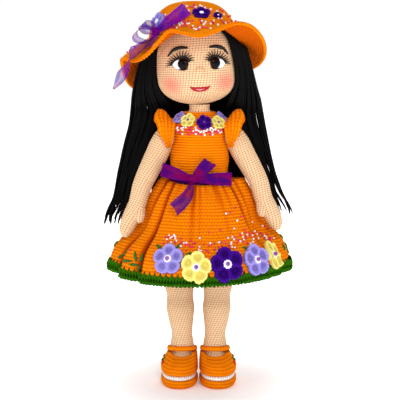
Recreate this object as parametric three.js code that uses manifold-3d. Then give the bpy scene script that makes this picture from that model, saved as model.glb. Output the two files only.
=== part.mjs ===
// Crocheted doll, 400 mm tall with its hat, standing on its soles and facing -Y.
// Millimetres, +Z up, origin on the floor under the middle of the doll.
// Left and right are as seen from the front: left is -X.
import * as THREE from 'three';
import { mergeVertices } from 'three/addons/utils/BufferGeometryUtils.js';
import Module from 'manifold-3d';

const wasm = await Module();
wasm.setup();

// Clearances and cloth
const gap = 0.3;
const overrun = 2;
const dressThickness = 3;
const threadRadius = 0.9;
const ribbonThickness = 1;

// Lengths up the body, from the floor to the head
const legLength = 150;
const hipRise = 63;
const chestRise = 49;
const shoulderRise = 24;
const neckRise = 8.6;

// Body
const hipHalfWidth = 33.5;
const hipHalfDepth = 24;
const waistHalfWidth = 26.2;
const waistHalfDepth = 18.9;
const chestHalfWidth = 27.4;
const chestHalfDepth = 19.7;
const neckRadius = 10.75;
const pantsRise = 47;

// Shoulder joint: a cord through the body, with a disc in each arm
const shoulderHalfWidth = 25.5;
const cordRadius = 1;
const cordBoreRadius = 1.6;
const discRadius = 4.8;
const discThickness = 2;
const discDepth = 4.5;
const knotRadius = 2.2;

// Arms, measured from the flat end at the shoulder
const armRootRadius = 10.4;
const armRadius = 12;
const armOut = 51.2;
const armDrop = 107;
const thumbRadius = 5;
const armLean = THREE.MathUtils.degToRad(13);

// Head, from the chin up
const headHalfWidth = 41;
const headHalfDepth = 39;
const headHeight = 97;
const headShift = -1.6;
const headTilt = THREE.MathUtils.degToRad(-2.2);
const headTurn = THREE.MathUtils.degToRad(4.5);
const noseRadius = 4.6;
const dowelRadius = 4;
const dowelInNeck = 24;
const dowelInHead = 34;

// Face
const eyeSpacing = 32.2;
const eyeHeight = 42.5;
const eyeRadius = 5.8;
const eyeBulge = 3.2;
const eyeShankRadius = 1.5;
const eyeShankLength = 9;
const whiteHalfWidth = 5.6;
const whiteHalfHeight = 4.7;
const whiteThickness = 1;
const lidOffset = 1.6;
const browSpacing = 41;
const browHeight = 54.6;
const browHalfSpan = 9.9;
const browArch = 4.2;
const mouthHeight = 18;
const mouthHalfSpan = 10.4;
const mouthSag = 2.6;
const lipRadius = 1.3;

// Hair
const hairFallTopGap = 0.6;
const hairCapHalfWidth = 68;
const hairCapBack = 50;
const hairCapFront = 13;
const hairShift = -2.5;
const hairCapTopGap = 3.4;
const hairLockLength = 129;
const hairLockOut = 103;
const hairBackHalfWidth = 56;
const hairBackThickness = 9;
const hairBackLength = 124;
const hairBackGap = 2.2;

// Hat
const hatTopAboveHead = 8.4;
const hatShift = -6.5;
const crownHeight = 37.5;
const crownRadius = 46;
const brimReach = 29;
const hatThickness = 3.4;

// Legs and feet
const legRadius = 17.2;
const legSpread = 20.2;
const ankleSpread = 17.4;
const stanceShift = -1;
const footHalfWidth = 14.2;
const footHalfLength = 20.5;
const footForward = 9;
const footHeight = 18;
const rodRadius = 2.5;
const rodAboveInsole = 17;
const rodBelowPantsTop = 13;

// Shoes
const soleThickness = 9;
const weltThickness = 4.4;
const weltInset = 1.3;
const insoleThickness = 1;
const shoeHalfWidth = 19.6;
const shoeToe = 36;
const shoeHeel = 20;
const shoeSpread = 20.3;
const upperHeight = 21.6;
const upperThickness = 2.6;
const throatDepth = 3.9;
const throatHalfWidth = 11.5;
const strapHeight = 5.3;
const collarHalfWidth = 15.9;

// Dress
const bodiceTuck = 1;
const armholeClearance = 0.8;
const sashHeight = 10.2;
const sashThickness = 1.5;
const hemHalfWidth = 95;
const hemHalfDepth = 80;
const skirtLength = 86.2;
const skirtPuff = 5.6;
const handPress = 8;
const handTurn = 70;
const handTurnSpread = 16;
const handDownShare = 0.63;
const handDownSpreadShare = 0.13;
const trimHeight = 8.4;
const trimThickness = 4;
const trimSetShare = 0.45;
const sleeveReach = 15.5;
const sleeveFlare = 9;
const sleeveThickness = 3.2;
const buttonRadius = 3.2;
const buttonThickness = 1.6;

// Flowers
const neckFlowerRadius = 6.5;
const skirtFlowerRadius = 14.6;
const hatFlowerRadius = 9.2;
const smallHatFlowerRadius = 4.6;
const flowerThickness = 2.4;
const flowerCentreShare = 0.3;

// Ribbon bows
const ribbonHalfWidth = 6.8;
const knotHalfWidth = 4.6;
const bowStandOff = 4.2;

// Heights worked out from the lengths above
const waistHeight = legLength + hipRise;
const shoulderHeight = waistHeight + chestRise;
const neckBase = shoulderHeight + shoulderRise;
const chinHeight = neckBase + neckRise;
const pantsTop = legLength + pantsRise;
const weltTop = soleThickness + gap + weltThickness;
const insoleTop = weltTop + gap + insoleThickness;
const upperTop = weltTop + gap + upperHeight;
const rodLow = insoleTop + rodAboveInsole;
const rodHigh = pantsTop - rodBelowPantsTop;
const hatBase = chinHeight + headHeight + hatTopAboveHead - crownHeight;
const skirtTop = waistHeight - gap;

// Colours and finishes
const skinYarn = finish('#f3cfa4', 0.9);
const dressYarn = finish('#ff8c0a', 0.9);
const hairYarn = finish('#0c0b0c', 0.7);
const greenYarn = finish('#2f6b0a', 0.9);
const lilacYarn = finish('#9184dc', 0.9);
const yellowYarn = finish('#fbe46a', 0.9);
const purpleYarn = finish('#35107e', 0.9);
const whiteYarn = finish('#f4f1ee', 0.9);
const redYarn = finish('#cf1030', 0.8);
const organza = finish('#5a0f8c', 0.5);
const blackThread = finish('#111111', 0.6);
const eyePlastic = finish('#2a1208', 0.15);
const felt = finish('#fafafa', 0.9);
const wood = finish('#c9a06a', 0.6);
const cordThread = finish('#e8e4da', 0.8);
const hardPlastic = finish('#dddddd', 0.5);

function finish(color, roughness) {
  return new THREE.MeshStandardMaterial({ color, roughness, metalness: 0 });
}

// Reads a table of [place, value, ...] rows as smooth curves.
function smoothTable(rows) {
  const places = rows.map((row) => row[0]);
  const columns = rows[0].length - 1;
  const values = rows.flatMap((row) => row.slice(1));
  const curve = new THREE.CubicInterpolant(places, values, columns, new Float64Array(columns));
  return (place) => Array.from(curve.evaluate(THREE.MathUtils.clamp(place, places[0], places.at(-1))));
}

const vec = (x, y, z) => new THREE.Vector3(x, y, z);

function signedVolume(points, faces) {
  let volume = 0;
  for (let i = 0; i < faces.length; i += 3) {
    const [a, b, c] = [points[faces[i]], points[faces[i + 1]], points[faces[i + 2]]];
    volume += a.dot(b.clone().cross(c));
  }
  return volume;
}

function solidFrom(points, faces) {
  const outward = signedVolume(points, faces) > 0 ? faces : faces.toReversed();
  const vertProperties = new Float32Array(points.flatMap((point) => point.toArray()));
  const mesh = new wasm.Mesh({ numProp: 3, vertProperties, triVerts: new Uint32Array(outward) });
  return new wasm.Manifold(mesh);
}

// Turns a closed three.js geometry into a solid.
function solidOf(geometry) {
  geometry.deleteAttribute('normal');
  geometry.deleteAttribute('uv');
  const merged = mergeVertices(geometry);
  const place = merged.attributes.position;
  const points = [];
  for (let i = 0; i < place.count; i++) points.push(vec(0, 0, 0).fromBufferAttribute(place, i));
  const faces = [];
  const index = merged.index.array;
  for (let i = 0; i < index.length; i += 3) {
    const [a, b, c] = index.slice(i, i + 3);
    if (a !== b && b !== c && c !== a) faces.push(a, b, c);
  }
  return solidFrom(points, faces);
}

function geometryOf(solid) {
  const mesh = solid.getMesh();
  const geometry = new THREE.BufferGeometry();
  geometry.setAttribute('position', new THREE.BufferAttribute(mesh.vertProperties, 3));
  geometry.setIndex(new THREE.BufferAttribute(mesh.triVerts, 1));
  geometry.computeVertexNormals();
  return geometry;
}

function moved(solid, matrix) {
  return solid.transform(matrix.elements);
}

function addPiece(parent, name, material, solid) {
  const mesh = new THREE.Mesh(geometryOf(solid), material);
  mesh.name = name;
  parent.add(mesh);
}

// Closed skin over rings of points. Its ends are fans, or the rings loop back to the first.
function skin(rings, looped = false) {
  const sides = rings[0].length;
  const points = rings.flat();
  const faces = [];
  const bands = looped ? rings.length : rings.length - 1;
  for (let band = 0; band < bands; band++) {
    const low = band * sides;
    const high = ((band + 1) % rings.length) * sides;
    for (let side = 0; side < sides; side++) {
      const next = (side + 1) % sides;
      faces.push(low + side, low + next, high + next, low + side, high + next, high + side);
    }
  }
  if (!looped) {
    addFan(points, faces, rings[0], 0, false);
    addFan(points, faces, rings.at(-1), bands * sides, true);
  }
  return solidFrom(points, faces);
}

function addFan(points, faces, ring, start, forward) {
  const centre = vec(0, 0, 0);
  for (const point of ring) centre.addScaledVector(point, 1 / ring.length);
  const hub = points.push(centre) - 1;
  for (let side = 0; side < ring.length; side++) {
    const next = (side + 1) % ring.length;
    if (forward) faces.push(hub, start + side, start + next);
    else faces.push(hub, start + next, start + side);
  }
}

function ovalRing(height, halfWidth, halfDepth, sides, shiftX = 0, shiftY = 0) {
  return Array.from({ length: sides }, (_, side) => {
    const angle = (2 * Math.PI * side) / sides;
    return vec(shiftX + halfWidth * Math.cos(angle), shiftY + halfDepth * Math.sin(angle), height);
  });
}

// A section carried along stations { at, across, out, halfWidth, halfThickness }.
function sweep(stations, sides) {
  const square = sides === 4;
  const reach = square ? Math.SQRT2 : 1;
  const start = square ? 0.5 : 0;
  return skin(stations.map((station) => Array.from({ length: sides }, (_, side) => {
    const angle = (2 * Math.PI * (side + start)) / sides;
    return station.at.clone()
      .addScaledVector(station.across, reach * Math.cos(angle) * station.halfWidth)
      .addScaledVector(station.out, reach * Math.sin(angle) * station.halfThickness);
  })));
}

function rodAlongX(radius, fromX, toX, height, sides = 16) {
  const length = toX - fromX;
  const rod = new THREE.CylinderGeometry(radius, radius, length, sides);
  rod.rotateZ(Math.PI / 2);
  rod.translate(fromX + length / 2, 0, height);
  return solidOf(rod);
}

function rodAlongZ(radius, low, high, x = 0, y = 0, sides = 16) {
  const rod = new THREE.CylinderGeometry(radius, radius, high - low, sides);
  rod.rotateX(Math.PI / 2);
  rod.translate(x, y, (low + high) / 2);
  return solidOf(rod);
}

function block(minX, maxX, minY, maxY, minZ, maxZ) {
  const box = new THREE.BoxGeometry(maxX - minX, maxY - minY, maxZ - minZ);
  box.translate((minX + maxX) / 2, (minY + maxY) / 2, (minZ + maxZ) / 2);
  return solidOf(box);
}

// Turned solid about Z from a profile of [radius, height] pairs.
function turned(profile, sides) {
  const corners = profile.map(([radius, height]) => new THREE.Vector2(radius, height));
  const lathe = new THREE.LatheGeometry(corners, sides);
  lathe.rotateX(Math.PI / 2);
  return solidOf(lathe);
}

// Trunk: half width and half depth up the body
const trunk = smoothTable([
  [legLength, 0.45 * hipHalfWidth, 0.5 * hipHalfDepth],
  [legLength + 0.1 * hipRise, 0.8 * hipHalfWidth, 0.8 * hipHalfDepth],
  [legLength + 0.27 * hipRise, 0.97 * hipHalfWidth, 0.95 * hipHalfDepth],
  [legLength + 0.48 * hipRise, hipHalfWidth, hipHalfDepth],
  [legLength + 0.75 * hipRise, 0.92 * hipHalfWidth, 0.92 * hipHalfDepth],
  [waistHeight, waistHalfWidth, waistHalfDepth],
  [waistHeight + 0.25 * chestRise, waistHalfWidth, waistHalfDepth],
  [waistHeight + 0.5 * chestRise, chestHalfWidth, chestHalfDepth],
  [waistHeight + 0.75 * chestRise, 0.97 * chestHalfWidth, 0.99 * chestHalfDepth],
  [shoulderHeight, 0.955 * chestHalfWidth, 0.96 * chestHalfDepth],
  [shoulderHeight + 0.35 * shoulderRise, 0.915 * chestHalfWidth, 0.9 * chestHalfDepth],
  [shoulderHeight + 0.65 * shoulderRise, 0.8 * chestHalfWidth, 0.78 * chestHalfDepth],
  [shoulderHeight + 0.87 * shoulderRise, 0.6 * chestHalfWidth, 0.68 * chestHalfDepth],
  [neckBase + 0.25 * neckRise, 1.03 * neckRadius, 1.03 * neckRadius],
  [chinHeight, neckRadius, neckRadius],
]);

const trunkSides = 20;

function trunkRing(height, grow) {
  const [halfWidth, halfDepth] = trunk(height);
  return ovalRing(height, halfWidth + grow, halfDepth + grow, trunkSides);
}

// Heights at which the trunk and all that lies on it have a ring, so that their facets match
const trunkHeights = [
  legLength - gap, legLength, legLength + 0.1 * hipRise, legLength + 0.27 * hipRise,
  legLength + 0.48 * hipRise, pantsTop, pantsTop + gap, waistHeight - bodiceTuck, waistHeight,
  waistHeight + 0.25 * chestRise, waistHeight + 0.5 * chestRise, waistHeight + 0.75 * chestRise, shoulderHeight,
  shoulderHeight + 0.35 * shoulderRise, shoulderHeight + 0.65 * shoulderRise,
  shoulderHeight + 0.87 * shoulderRise, neckBase - gap, neckBase + 0.25 * neckRise, chinHeight,
].sort((a, b) => a - b);

function heightsWithin(low, high) {
  return trunkHeights.filter((height) => height >= low && height <= high);
}

function trunkSolid(low, high, grow = 0) {
  return skin(heightsWithin(low, high).map((height) => trunkRing(height, grow)));
}

function makeTorso() {
  let torso = trunkSolid(pantsTop + gap, chinHeight);
  const socketRadius = armRootRadius + armholeClearance;
  for (const side of [-1, 1]) {
    const ends = [side * shoulderHalfWidth, side * (chestHalfWidth + overrun)];
    torso = torso.subtract(rodAlongX(socketRadius, Math.min(...ends), Math.max(...ends), shoulderHeight, 20));
  }
  torso = torso.subtract(rodAlongX(cordBoreRadius, -hipHalfWidth, hipHalfWidth, shoulderHeight, 12));
  const dowelBore = rodAlongZ(dowelRadius + gap, chinHeight - dowelInNeck - gap, chinHeight + overrun);
  return torso.subtract(dowelBore);
}

function makePants() {
  let pants = trunkSolid(legLength, pantsTop);
  for (const side of [-1, 1]) {
    pants = pants.subtract(rodAlongZ(rodRadius + gap, 0, rodHigh + gap, legRodX(side)));
  }
  return pants;
}

function legRodX(side) {
  return stanceShift + (side * (legSpread + ankleSpread)) / 2;
}

// Leg: radius and distance from the middle, as shares up the leg
const legShares = smoothTable([
  [0.133, 0.69, 0], [0.27, 0.72, 0], [0.345, 0.635, 0.05], [0.45, 0.765, 0.45], [0.54, 0.86, 0.65],
  [0.62, 0.805, 0.8], [0.69, 0.905, 1], [0.8, 0.955, 1.05], [0.92, 1, 1.1], [1.03, 0.95, 1],
  [1.1, 0.75, 0.95], [1.14, 0.42, 0.9],
]);
const legRingShares = [0.133, 0.27, 0.345, 0.44, 0.54, 0.62, 0.69, 0.92, 1.03, 1.1, 1.14];

function legColumn(side) {
  return skin(legRingShares.map((share) => {
    const [radiusShare, spreadShare] = legShares(share);
    const x = stanceShift + side * THREE.MathUtils.lerp(ankleSpread, legSpread, spreadShare);
    return ovalRing(share * legLength, radiusShare * legRadius, radiusShare * legRadius, 16, x);
  }));
}

function foot(side) {
  const ball = new THREE.SphereGeometry(1, 16, 8);
  ball.rotateX(Math.PI / 2);
  ball.scale(footHalfWidth, footHalfLength, footHeight / 2);
  const middle = stanceShift + (side * (ankleSpread + shoeSpread)) / 2;
  ball.translate(middle, -footForward, insoleTop + footHeight / 2);
  const below = block(-hemHalfWidth, hemHalfWidth, -hemHalfDepth, hemHalfDepth, 0, insoleTop + gap);
  return solidOf(ball).subtract(below);
}

function makeLeg(side) {
  const hips = trunkSolid(legLength - gap, pantsTop, gap);
  const rodBore = rodAlongZ(rodRadius + gap, rodLow - gap, rodHigh, legRodX(side));
  return legColumn(side).add(foot(side)).subtract(hips).subtract(rodBore);
}

// Shoes: an oval outline that can be drawn in at the sides, toe and heel
function shoeRing(height, sideInset, toeInset, heelInset, shiftX = 0) {
  const sides = 20;
  const fullness = 0.88;
  return Array.from({ length: sides }, (_, side) => {
    const angle = (2 * Math.PI * side) / sides;
    const [c, s] = [Math.cos(angle), Math.sin(angle)];
    const length = s < 0 ? shoeToe - toeInset : shoeHeel - heelInset;
    return vec(
      shiftX + (shoeHalfWidth - sideInset) * Math.sign(c) * Math.abs(c) ** fullness,
      length * Math.sign(s) * Math.abs(s) ** fullness,
      height,
    );
  });
}

function shoeSlab(low, high, inset) {
  return skin([shoeRing(low, inset, inset, inset), shoeRing(high, inset, inset, inset)]);
}

function makeSole() {
  const edgeShares = [[0, 0.34], [0.12, 0.14], [0.42, 0], [1, 0.07]];
  return skin(edgeShares.map(([rise, inset]) => {
    const drawn = inset * soleThickness;
    return shoeRing(rise * soleThickness, drawn, drawn, drawn);
  }));
}

// Upper: shares of its height, and how far side, toe and heel are drawn in there
const upperShares = [
  [0, 0.05, 0.03, 0.04], [0.28, 0, 0, 0], [0.52, 0.3, 0.15, 0.15], [0.76, 0.7, 0.5, 0.5], [1, 1, 1, 1],
];

function upperRings(side, inward) {
  const sideDraw = shoeHalfWidth - collarHalfWidth;
  const toeDraw = shoeToe - collarHalfWidth - throatDepth;
  const heelDraw = shoeHeel - collarHalfWidth;
  const lean = side * (ankleSpread - shoeSpread);
  return upperShares.map(([rise, sideShare, toeShare, heelShare]) => shoeRing(
    weltTop + gap + rise * upperHeight,
    sideDraw * sideShare + inward,
    toeDraw * toeShare + inward,
    heelDraw * heelShare + inward,
    lean * sideShare,
  ));
}

function makeUpper(side) {
  const walls = skin([...upperRings(side, 0), ...upperRings(side, upperThickness).reverse()], true);
  const lean = side * (ankleSpread - shoeSpread);
  const throat = block(
    lean - throatHalfWidth, lean + throatHalfWidth, -shoeToe, 0, upperTop - throatDepth, upperTop + overrun,
  );
  return walls.subtract(throat);
}

function makeStrap(side) {
  const middle = collarHalfWidth - upperThickness / 2;
  const lean = side * (ankleSpread - shoeSpread);
  const steps = 12;
  const endAngle = THREE.MathUtils.degToRad(12);
  const stations = Array.from({ length: steps + 1 }, (_, step) => {
    const angle = endAngle - ((Math.PI + 2 * endAngle) * step) / steps;
    const out = vec(Math.cos(angle), Math.sin(angle), 0);
    const at = vec(lean, 0, upperTop + gap + strapHeight / 2).addScaledVector(out, middle);
    return { at, across: vec(0, 0, 1), out, halfWidth: strapHeight / 2, halfThickness: upperThickness / 2 };
  });
  return sweep(stations, 4);
}

function addShoe(side, sideName) {
  const shoe = new THREE.Group();
  shoe.position.x = stanceShift + side * shoeSpread;
  addPiece(shoe, `shoe_sole_${sideName}`, dressYarn, makeSole());
  addPiece(shoe, `shoe_welt_${sideName}`, whiteYarn, shoeSlab(soleThickness + gap, weltTop, weltInset));
  const insoleInset = upperThickness + weltInset;
  addPiece(shoe, `insole_${sideName}`, hardPlastic, shoeSlab(weltTop + gap, insoleTop, insoleInset));
  addPiece(shoe, `shoe_upper_${sideName}`, dressYarn, makeUpper(side));
  addPiece(shoe, `shoe_strap_${sideName}`, dressYarn, makeStrap(side));
  doll.add(shoe);
}

// Arm: along its path, shares of its reach out, its drop, its radius, and of its depth to its width
const armShares = [
  [0, 0, 0.94, 1], [0.09, 0, 0.94, 1], [0.17, 0.018, 0.97, 1], [0.27, 0.09, 1, 1], [0.365, 0.19, 0.985, 1],
  [0.512, 0.336, 0.92, 1], [0.65, 0.486, 0.84, 1], [0.748, 0.664, 0.78, 1], [0.84, 0.766, 0.78, 0.9],
  [0.93, 0.86, 0.7, 0.85], [0.985, 0.944, 0.52, 0.85], [1, 0.99, 0.22, 0.85],
];

function armStations(side, outShare, dropShare) {
  const centres = armShares.map(([out, down]) => vec(
    side * (shoulderHalfWidth + gap + out * outShare * armOut),
    0,
    shoulderHeight - down * dropShare * armDrop,
  ));
  return centres.map((at, index) => {
    const before = centres[Math.max(index - 1, 0)];
    const after = centres[Math.min(index + 1, centres.length - 1)];
    const along = index < 2 ? vec(side, 0, 0) : after.clone().sub(before).normalize();
    const [, , radiusShare, depthShare] = armShares[index];
    const radius = radiusShare * armRadius;
    const across = vec(0, 1, 0).cross(along);
    return { at, across, out: vec(0, 1, 0), halfWidth: radius, halfThickness: radius * depthShare };
  });
}

function thumb(side, stations) {
  const [wrist, palm] = [stations[7].at, stations[9].at];
  const inward = vec(-side, 0, 0);
  const start = wrist.clone().addScaledVector(inward, 0.15 * armRadius);
  const end = palm.clone().addScaledVector(inward, armRadius);
  const radiusShares = [0.8, 1, 1, 0.85, 0.4];
  return sweep(radiusShares.map((share, index) => {
    const at = start.clone().lerp(end, index / (radiusShares.length - 1));
    const radius = share * thumbRadius;
    return { at, across: vec(1, 0, 0), out: vec(0, 1, 0), halfWidth: radius, halfThickness: radius };
  }), 8);
}

function makeArm(side, outShare, dropShare) {
  const stations = armStations(side, outShare, dropShare);
  const rootX = shoulderHalfWidth + gap;
  const pocketRadius = discRadius + gap;
  const pocketEnd = rootX + discDepth + discThickness + 2 * knotRadius + 3 * gap;
  const along = (radius, near, far) => {
    const [a, b] = [side * near, side * far];
    return rodAlongX(radius, Math.min(a, b), Math.max(a, b), shoulderHeight, 12);
  };
  const bodySide = chestHalfWidth + dressThickness + 3 * gap;
  const besideBody = block(
    -bodySide, bodySide, -armDrop, armDrop, shoulderHeight - 2 * armDrop, shoulderHeight + armDrop,
  );
  const drum = rodAlongX(armRootRadius, -2 * bodySide, 2 * bodySide, shoulderHeight, 16);
  const arm = sweep(stations, 14).add(thumb(side, stations)).subtract(besideBody.subtract(drum));
  return leanForward(largestBody(arm))
    .subtract(along(cordBoreRadius, 0, rootX + discDepth + overrun))
    .subtract(along(pocketRadius, rootX + discDepth, pocketEnd));
}

// Turns an arm forward about the shoulder joint, so that the hand rests on the skirt
function leanForward(arm) {
  const turn = new THREE.Matrix4().makeRotationX(-armLean);
  const toShoulder = new THREE.Matrix4().makeTranslation(0, 0, shoulderHeight);
  return moved(arm, toShoulder.clone().multiply(turn).multiply(toShoulder.clone().invert()));
}

function makeDisc(side) {
  const near = shoulderHalfWidth + gap + discDepth + gap;
  const far = near + discThickness;
  const [a, b] = [side * near, side * far];
  const disc = rodAlongX(discRadius, Math.min(a, b), Math.max(a, b), shoulderHeight);
  const clear = chestHalfWidth + armOut;
  return disc.subtract(rodAlongX(cordRadius + gap, -clear, clear, shoulderHeight, 12));
}

// Cord with a knot outside each disc
function makeJointCord() {
  const discFace = shoulderHalfWidth + gap + discDepth + gap + discThickness;
  const knotAt = discFace + gap + knotRadius;
  const cord = rodAlongX(cordRadius, -knotAt, knotAt, shoulderHeight, 12);
  const knots = [-1, 1].map((side) => {
    const ball = new THREE.SphereGeometry(knotRadius, 8, 6);
    ball.translate(side * knotAt, 0, shoulderHeight);
    return solidOf(ball);
  });
  return cord.add(knots[0]).add(knots[1]);
}

// Dress: shells around the trunk
function trunkShell(low, high, inside, thickness) {
  const heights = heightsWithin(low, high);
  const outer = heights.map((height) => trunkRing(height, inside + thickness));
  const inner = heights.map((height) => trunkRing(height, inside));
  return skin([...outer, ...inner.reverse()], true);
}

function makeBodice() {
  const bodice = trunkShell(waistHeight - bodiceTuck, neckBase - gap, gap, dressThickness);
  const armholeRadius = armRootRadius + armholeClearance;
  return bodice.subtract(rodAlongX(armholeRadius, -hipHalfWidth, hipHalfWidth, shoulderHeight, 20));
}

function makeSash() {
  const rings = [2 * gap + dressThickness, 2 * gap + dressThickness + sashThickness].map((grow) => (
    [waistHeight + gap, waistHeight + gap + sashHeight].map((height) => (
      ovalRing(height, waistHalfWidth + grow, waistHalfDepth + grow, trunkSides)
    ))
  ));
  return skin([...rings[1], ...rings[0].reverse()], true);
}

// Skirt: down its length, shares of its drop, its reach from waist to hem, and its puff at the sides
const skirtShares = smoothTable([
  [0, 0, 0, 0], [0.05, 0.005, 0.04, 0], [0.11, 0, 0.085, 0.75], [0.17, 0.01, 0.135, 1],
  [0.25, 0.06, 0.21, 0.6],
  [0.33, 0.13, 0.295, 0.2], [0.45, 0.25, 0.4, 0], [0.55, 0.395, 0.51, 0], [0.65, 0.55, 0.65, 0],
  [0.75, 0.7, 0.84, 0], [0.87, 0.84, 0.95, 0], [1, 1, 1, 0],
]);
// Hem: by degrees round the skirt, how far it dips, as a share of the trim's height
const hemShares = smoothTable([
  [-180, 0], [-120, -0.1], [-90, -0.3], [-68, -0.2], [-50, 0.2], [-30, 0.32], [0, 0.32], [25, 0.12],
  [45, -0.15],
  [70, -0.32], [90, -0.3], [130, -0.1], [180, 0],
]);
// Folds: where round the skirt in degrees, its width in degrees, its depth at the hem and at the waist
const foldDepth = 11;
const foldShares = [
  [-38, -19, 1, 0.5], [-58, -22, 1, 0.6], [-84, -24, 0.8, 0.6], [-2, 12, 0, 0.5], [24, 14, 0, 0.45],
  [47, 18, 0.3, 0.5], [66, 22, 0.4, 0.3], [92, 24, 0.4, 0.3], [120, 24, 0.6, 0.6], [150, 22, 0.5, 0.6],
  [178, 22, 0.5, 0.5], [-152, 22, 0.5, 0.6], [-124, 24, 0.6, 0.6],
];

function foldAt(degrees, down) {
  let inward = 0;
  for (const [start, width, hemShare, waistShare] of foldShares) {
    let past = degrees - start;
    past -= 360 * Math.round(past / 360);
    const along = past / width;
    if (along <= 0 || along >= 1) continue;
    const steep = Math.min(along / 0.22, 1);
    const ease = (1 - along) ** 1.4;
    inward += foldDepth * THREE.MathUtils.lerp(waistShare, hemShare, down) * steep * ease;
  }
  return inward * Math.min(down / 0.25, 1) ** 2;
}

// The skirt is pressed in where a hand rests on it
function pressAt(degrees, down) {
  const away = 180 - Math.abs(Math.abs(degrees - 360 * Math.round(degrees / 360)) - 180);
  const besideHand = (away - handTurn) / handTurnSpread;
  const belowHand = (down - handDownShare) / handDownSpreadShare;
  return handPress * Math.exp(-(besideHand ** 2) - belowHand ** 2);
}

function skirtPoint(turn, down) {
  const [dropShare, reachShare, puffShare] = skirtShares(down);
  const seam = 4 * gap + dressThickness;
  const degrees = THREE.MathUtils.radToDeg(turn);
  const inward = foldAt(degrees, down) + pressAt(degrees, down);
  const halfWidth = THREE.MathUtils.lerp(waistHalfWidth + seam, hemHalfWidth, reachShare) - inward;
  const halfDepth = THREE.MathUtils.lerp(waistHalfDepth + seam, hemHalfDepth, reachShare) - inward;
  const puff = skirtPuff * puffShare * Math.sin(turn) ** 2;
  const dip = trimHeight * hemShares(degrees - 360 * Math.round(degrees / 360))[0] * dropShare ** 2;
  const height = skirtTop - dropShare * skirtLength + puff - dip;
  return vec(halfWidth * Math.sin(turn), -halfDepth * Math.cos(turn), height);
}

// Unit direction straight out of a surface given as a function of turn and a share
function normalOf(surface, turn, share) {
  const step = 0.01;
  const around = surface(turn + step, share).sub(surface(turn - step, share));
  const low = Math.min(share + step, 1);
  const high = Math.max(share - step, 0);
  const downward = surface(turn, low).sub(surface(turn, high));
  return downward.cross(around).normalize();
}

function shellRings(surface, shares, sides, inward) {
  return shares.map((share) => Array.from({ length: sides }, (_, side) => {
    const turn = (2 * Math.PI * side) / sides;
    return surface(turn, share).addScaledVector(normalOf(surface, turn, share), -inward);
  }));
}

const skirtSides = 60;

function skirtShell(outward) {
  const rowShares = [0, 0.05, 0.12, 0.24, 0.45, 0.7, 1];
  const outer = shellRings(skirtPoint, rowShares, skirtSides, -outward);
  const inner = shellRings(skirtPoint, rowShares, skirtSides, dressThickness);
  return skin([...outer, ...inner.reverse()], true);
}

function makeHemTrim() {
  const topFall = trimSetShare * dressThickness;
  const rows = [[topFall, 0.3], [topFall + trimHeight, 0.45]];
  const ringAt = (fall, outward) => Array.from({ length: skirtSides }, (_, side) => {
    const turn = (2 * Math.PI * side) / skirtSides;
    const point = skirtPoint(turn, 1);
    const out = normalOf(skirtPoint, turn, 1);
    point.addScaledVector(out.setZ(0).normalize(), outward);
    return point.setZ(point.z - fall);
  });
  const outer = rows.map(([fall, share]) => ringAt(fall, share * trimThickness));
  const inner = rows.map(([fall, share]) => ringAt(fall, (share - 1) * trimThickness));
  return skin([...outer, ...inner.reverse()], true);
}

// Sleeve: a ruffle round the armhole, widest over the shoulder
function makeSleeve(side) {
  const steps = 16;
  const halfTurn = THREE.MathUtils.degToRad(126);
  const baseRadius = armRadius + armholeClearance + sleeveThickness;
  const baseX = chestHalfWidth + dressThickness;
  const stations = Array.from({ length: steps + 1 }, (_, step) => {
    const angle = -halfTurn + (2 * halfTurn * step) / steps;
    const fade = Math.max(Math.cos((angle / halfTurn) * (Math.PI / 2)), 0.16) ** 0.7;
    const ruffle = 1 + 0.12 * Math.cos((step * Math.PI) / 1.6);
    const away = vec(0, Math.sin(angle), Math.cos(angle));
    const inner = away.clone().multiplyScalar(baseRadius).add(vec(side * baseX, 0, shoulderHeight));
    const flare = sleeveFlare * fade * ruffle;
    const reach = vec(side * sleeveReach, 0, 0).addScaledVector(away, flare).multiplyScalar(fade);
    const at = inner.clone().addScaledVector(reach, 0.5);
    const across = reach.clone().normalize();
    const out = across.clone().cross(vec(0, Math.cos(angle), -Math.sin(angle)));
    return { at, across, out, halfWidth: reach.length() / 2, halfThickness: sleeveThickness / 2 };
  });
  return sweep(stations, 6);
}

// Petalled flower laid on a surface { surface, turn, share }, so that it bends with it
function makeFlower({ surface, turn, share, radius }, grow = 0) {
  const petals = 5;
  const sides = petals * 4;
  const step = 0.01;
  const aroundScale = surface(turn + step, share).distanceTo(surface(turn - step, share)) / (2 * step);
  const downScale = surface(turn, share + step).distanceTo(surface(turn, share - step)) / (2 * step);
  const ringAt = (reachShare, height) => Array.from({ length: sides }, (_, side) => {
    const angle = (2 * Math.PI * side) / sides;
    const lobe = 0.8 + 0.2 * Math.abs(Math.cos((angle * petals) / 2)) ** 0.8;
    const reach = reachShare * lobe * radius + grow;
    const pointTurn = turn + (reach * Math.sin(angle)) / aroundScale;
    const pointShare = share - (reach * Math.cos(angle)) / downScale;
    return surface(pointTurn, pointShare).addScaledVector(normalOf(surface, pointTurn, pointShare), height);
  });
  const top = flowerThickness + grow;
  return skin([ringAt(0.9, -grow), ringAt(1, 0.8 * top), ringAt(flowerCentreShare, top)]);
}

// Stands +Z along the outward direction, with +Y as near up as it can be
function seat(at, outward) {
  const across = vec(0, 0, 1).cross(outward).normalize();
  const up = outward.clone().cross(across);
  return new THREE.Matrix4().makeBasis(across, up, outward).setPosition(at);
}

// Flowers { name, material, surface, turn, share, radius } in a row, each cut clear of the cloth
// and of those before it
function addFlowerRow(parent, cloth, flowers) {
  const toParent = parent.matrix.clone().invert();
  const placed = [cloth];
  for (const flower of flowers) {
    let solid = makeFlower(flower);
    for (const other of placed) solid = solid.subtract(other);
    placed.push(makeFlower(flower, gap));
    addPiece(parent, flower.name, flower.material, moved(largestBody(solid), toParent));
  }
}

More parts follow.
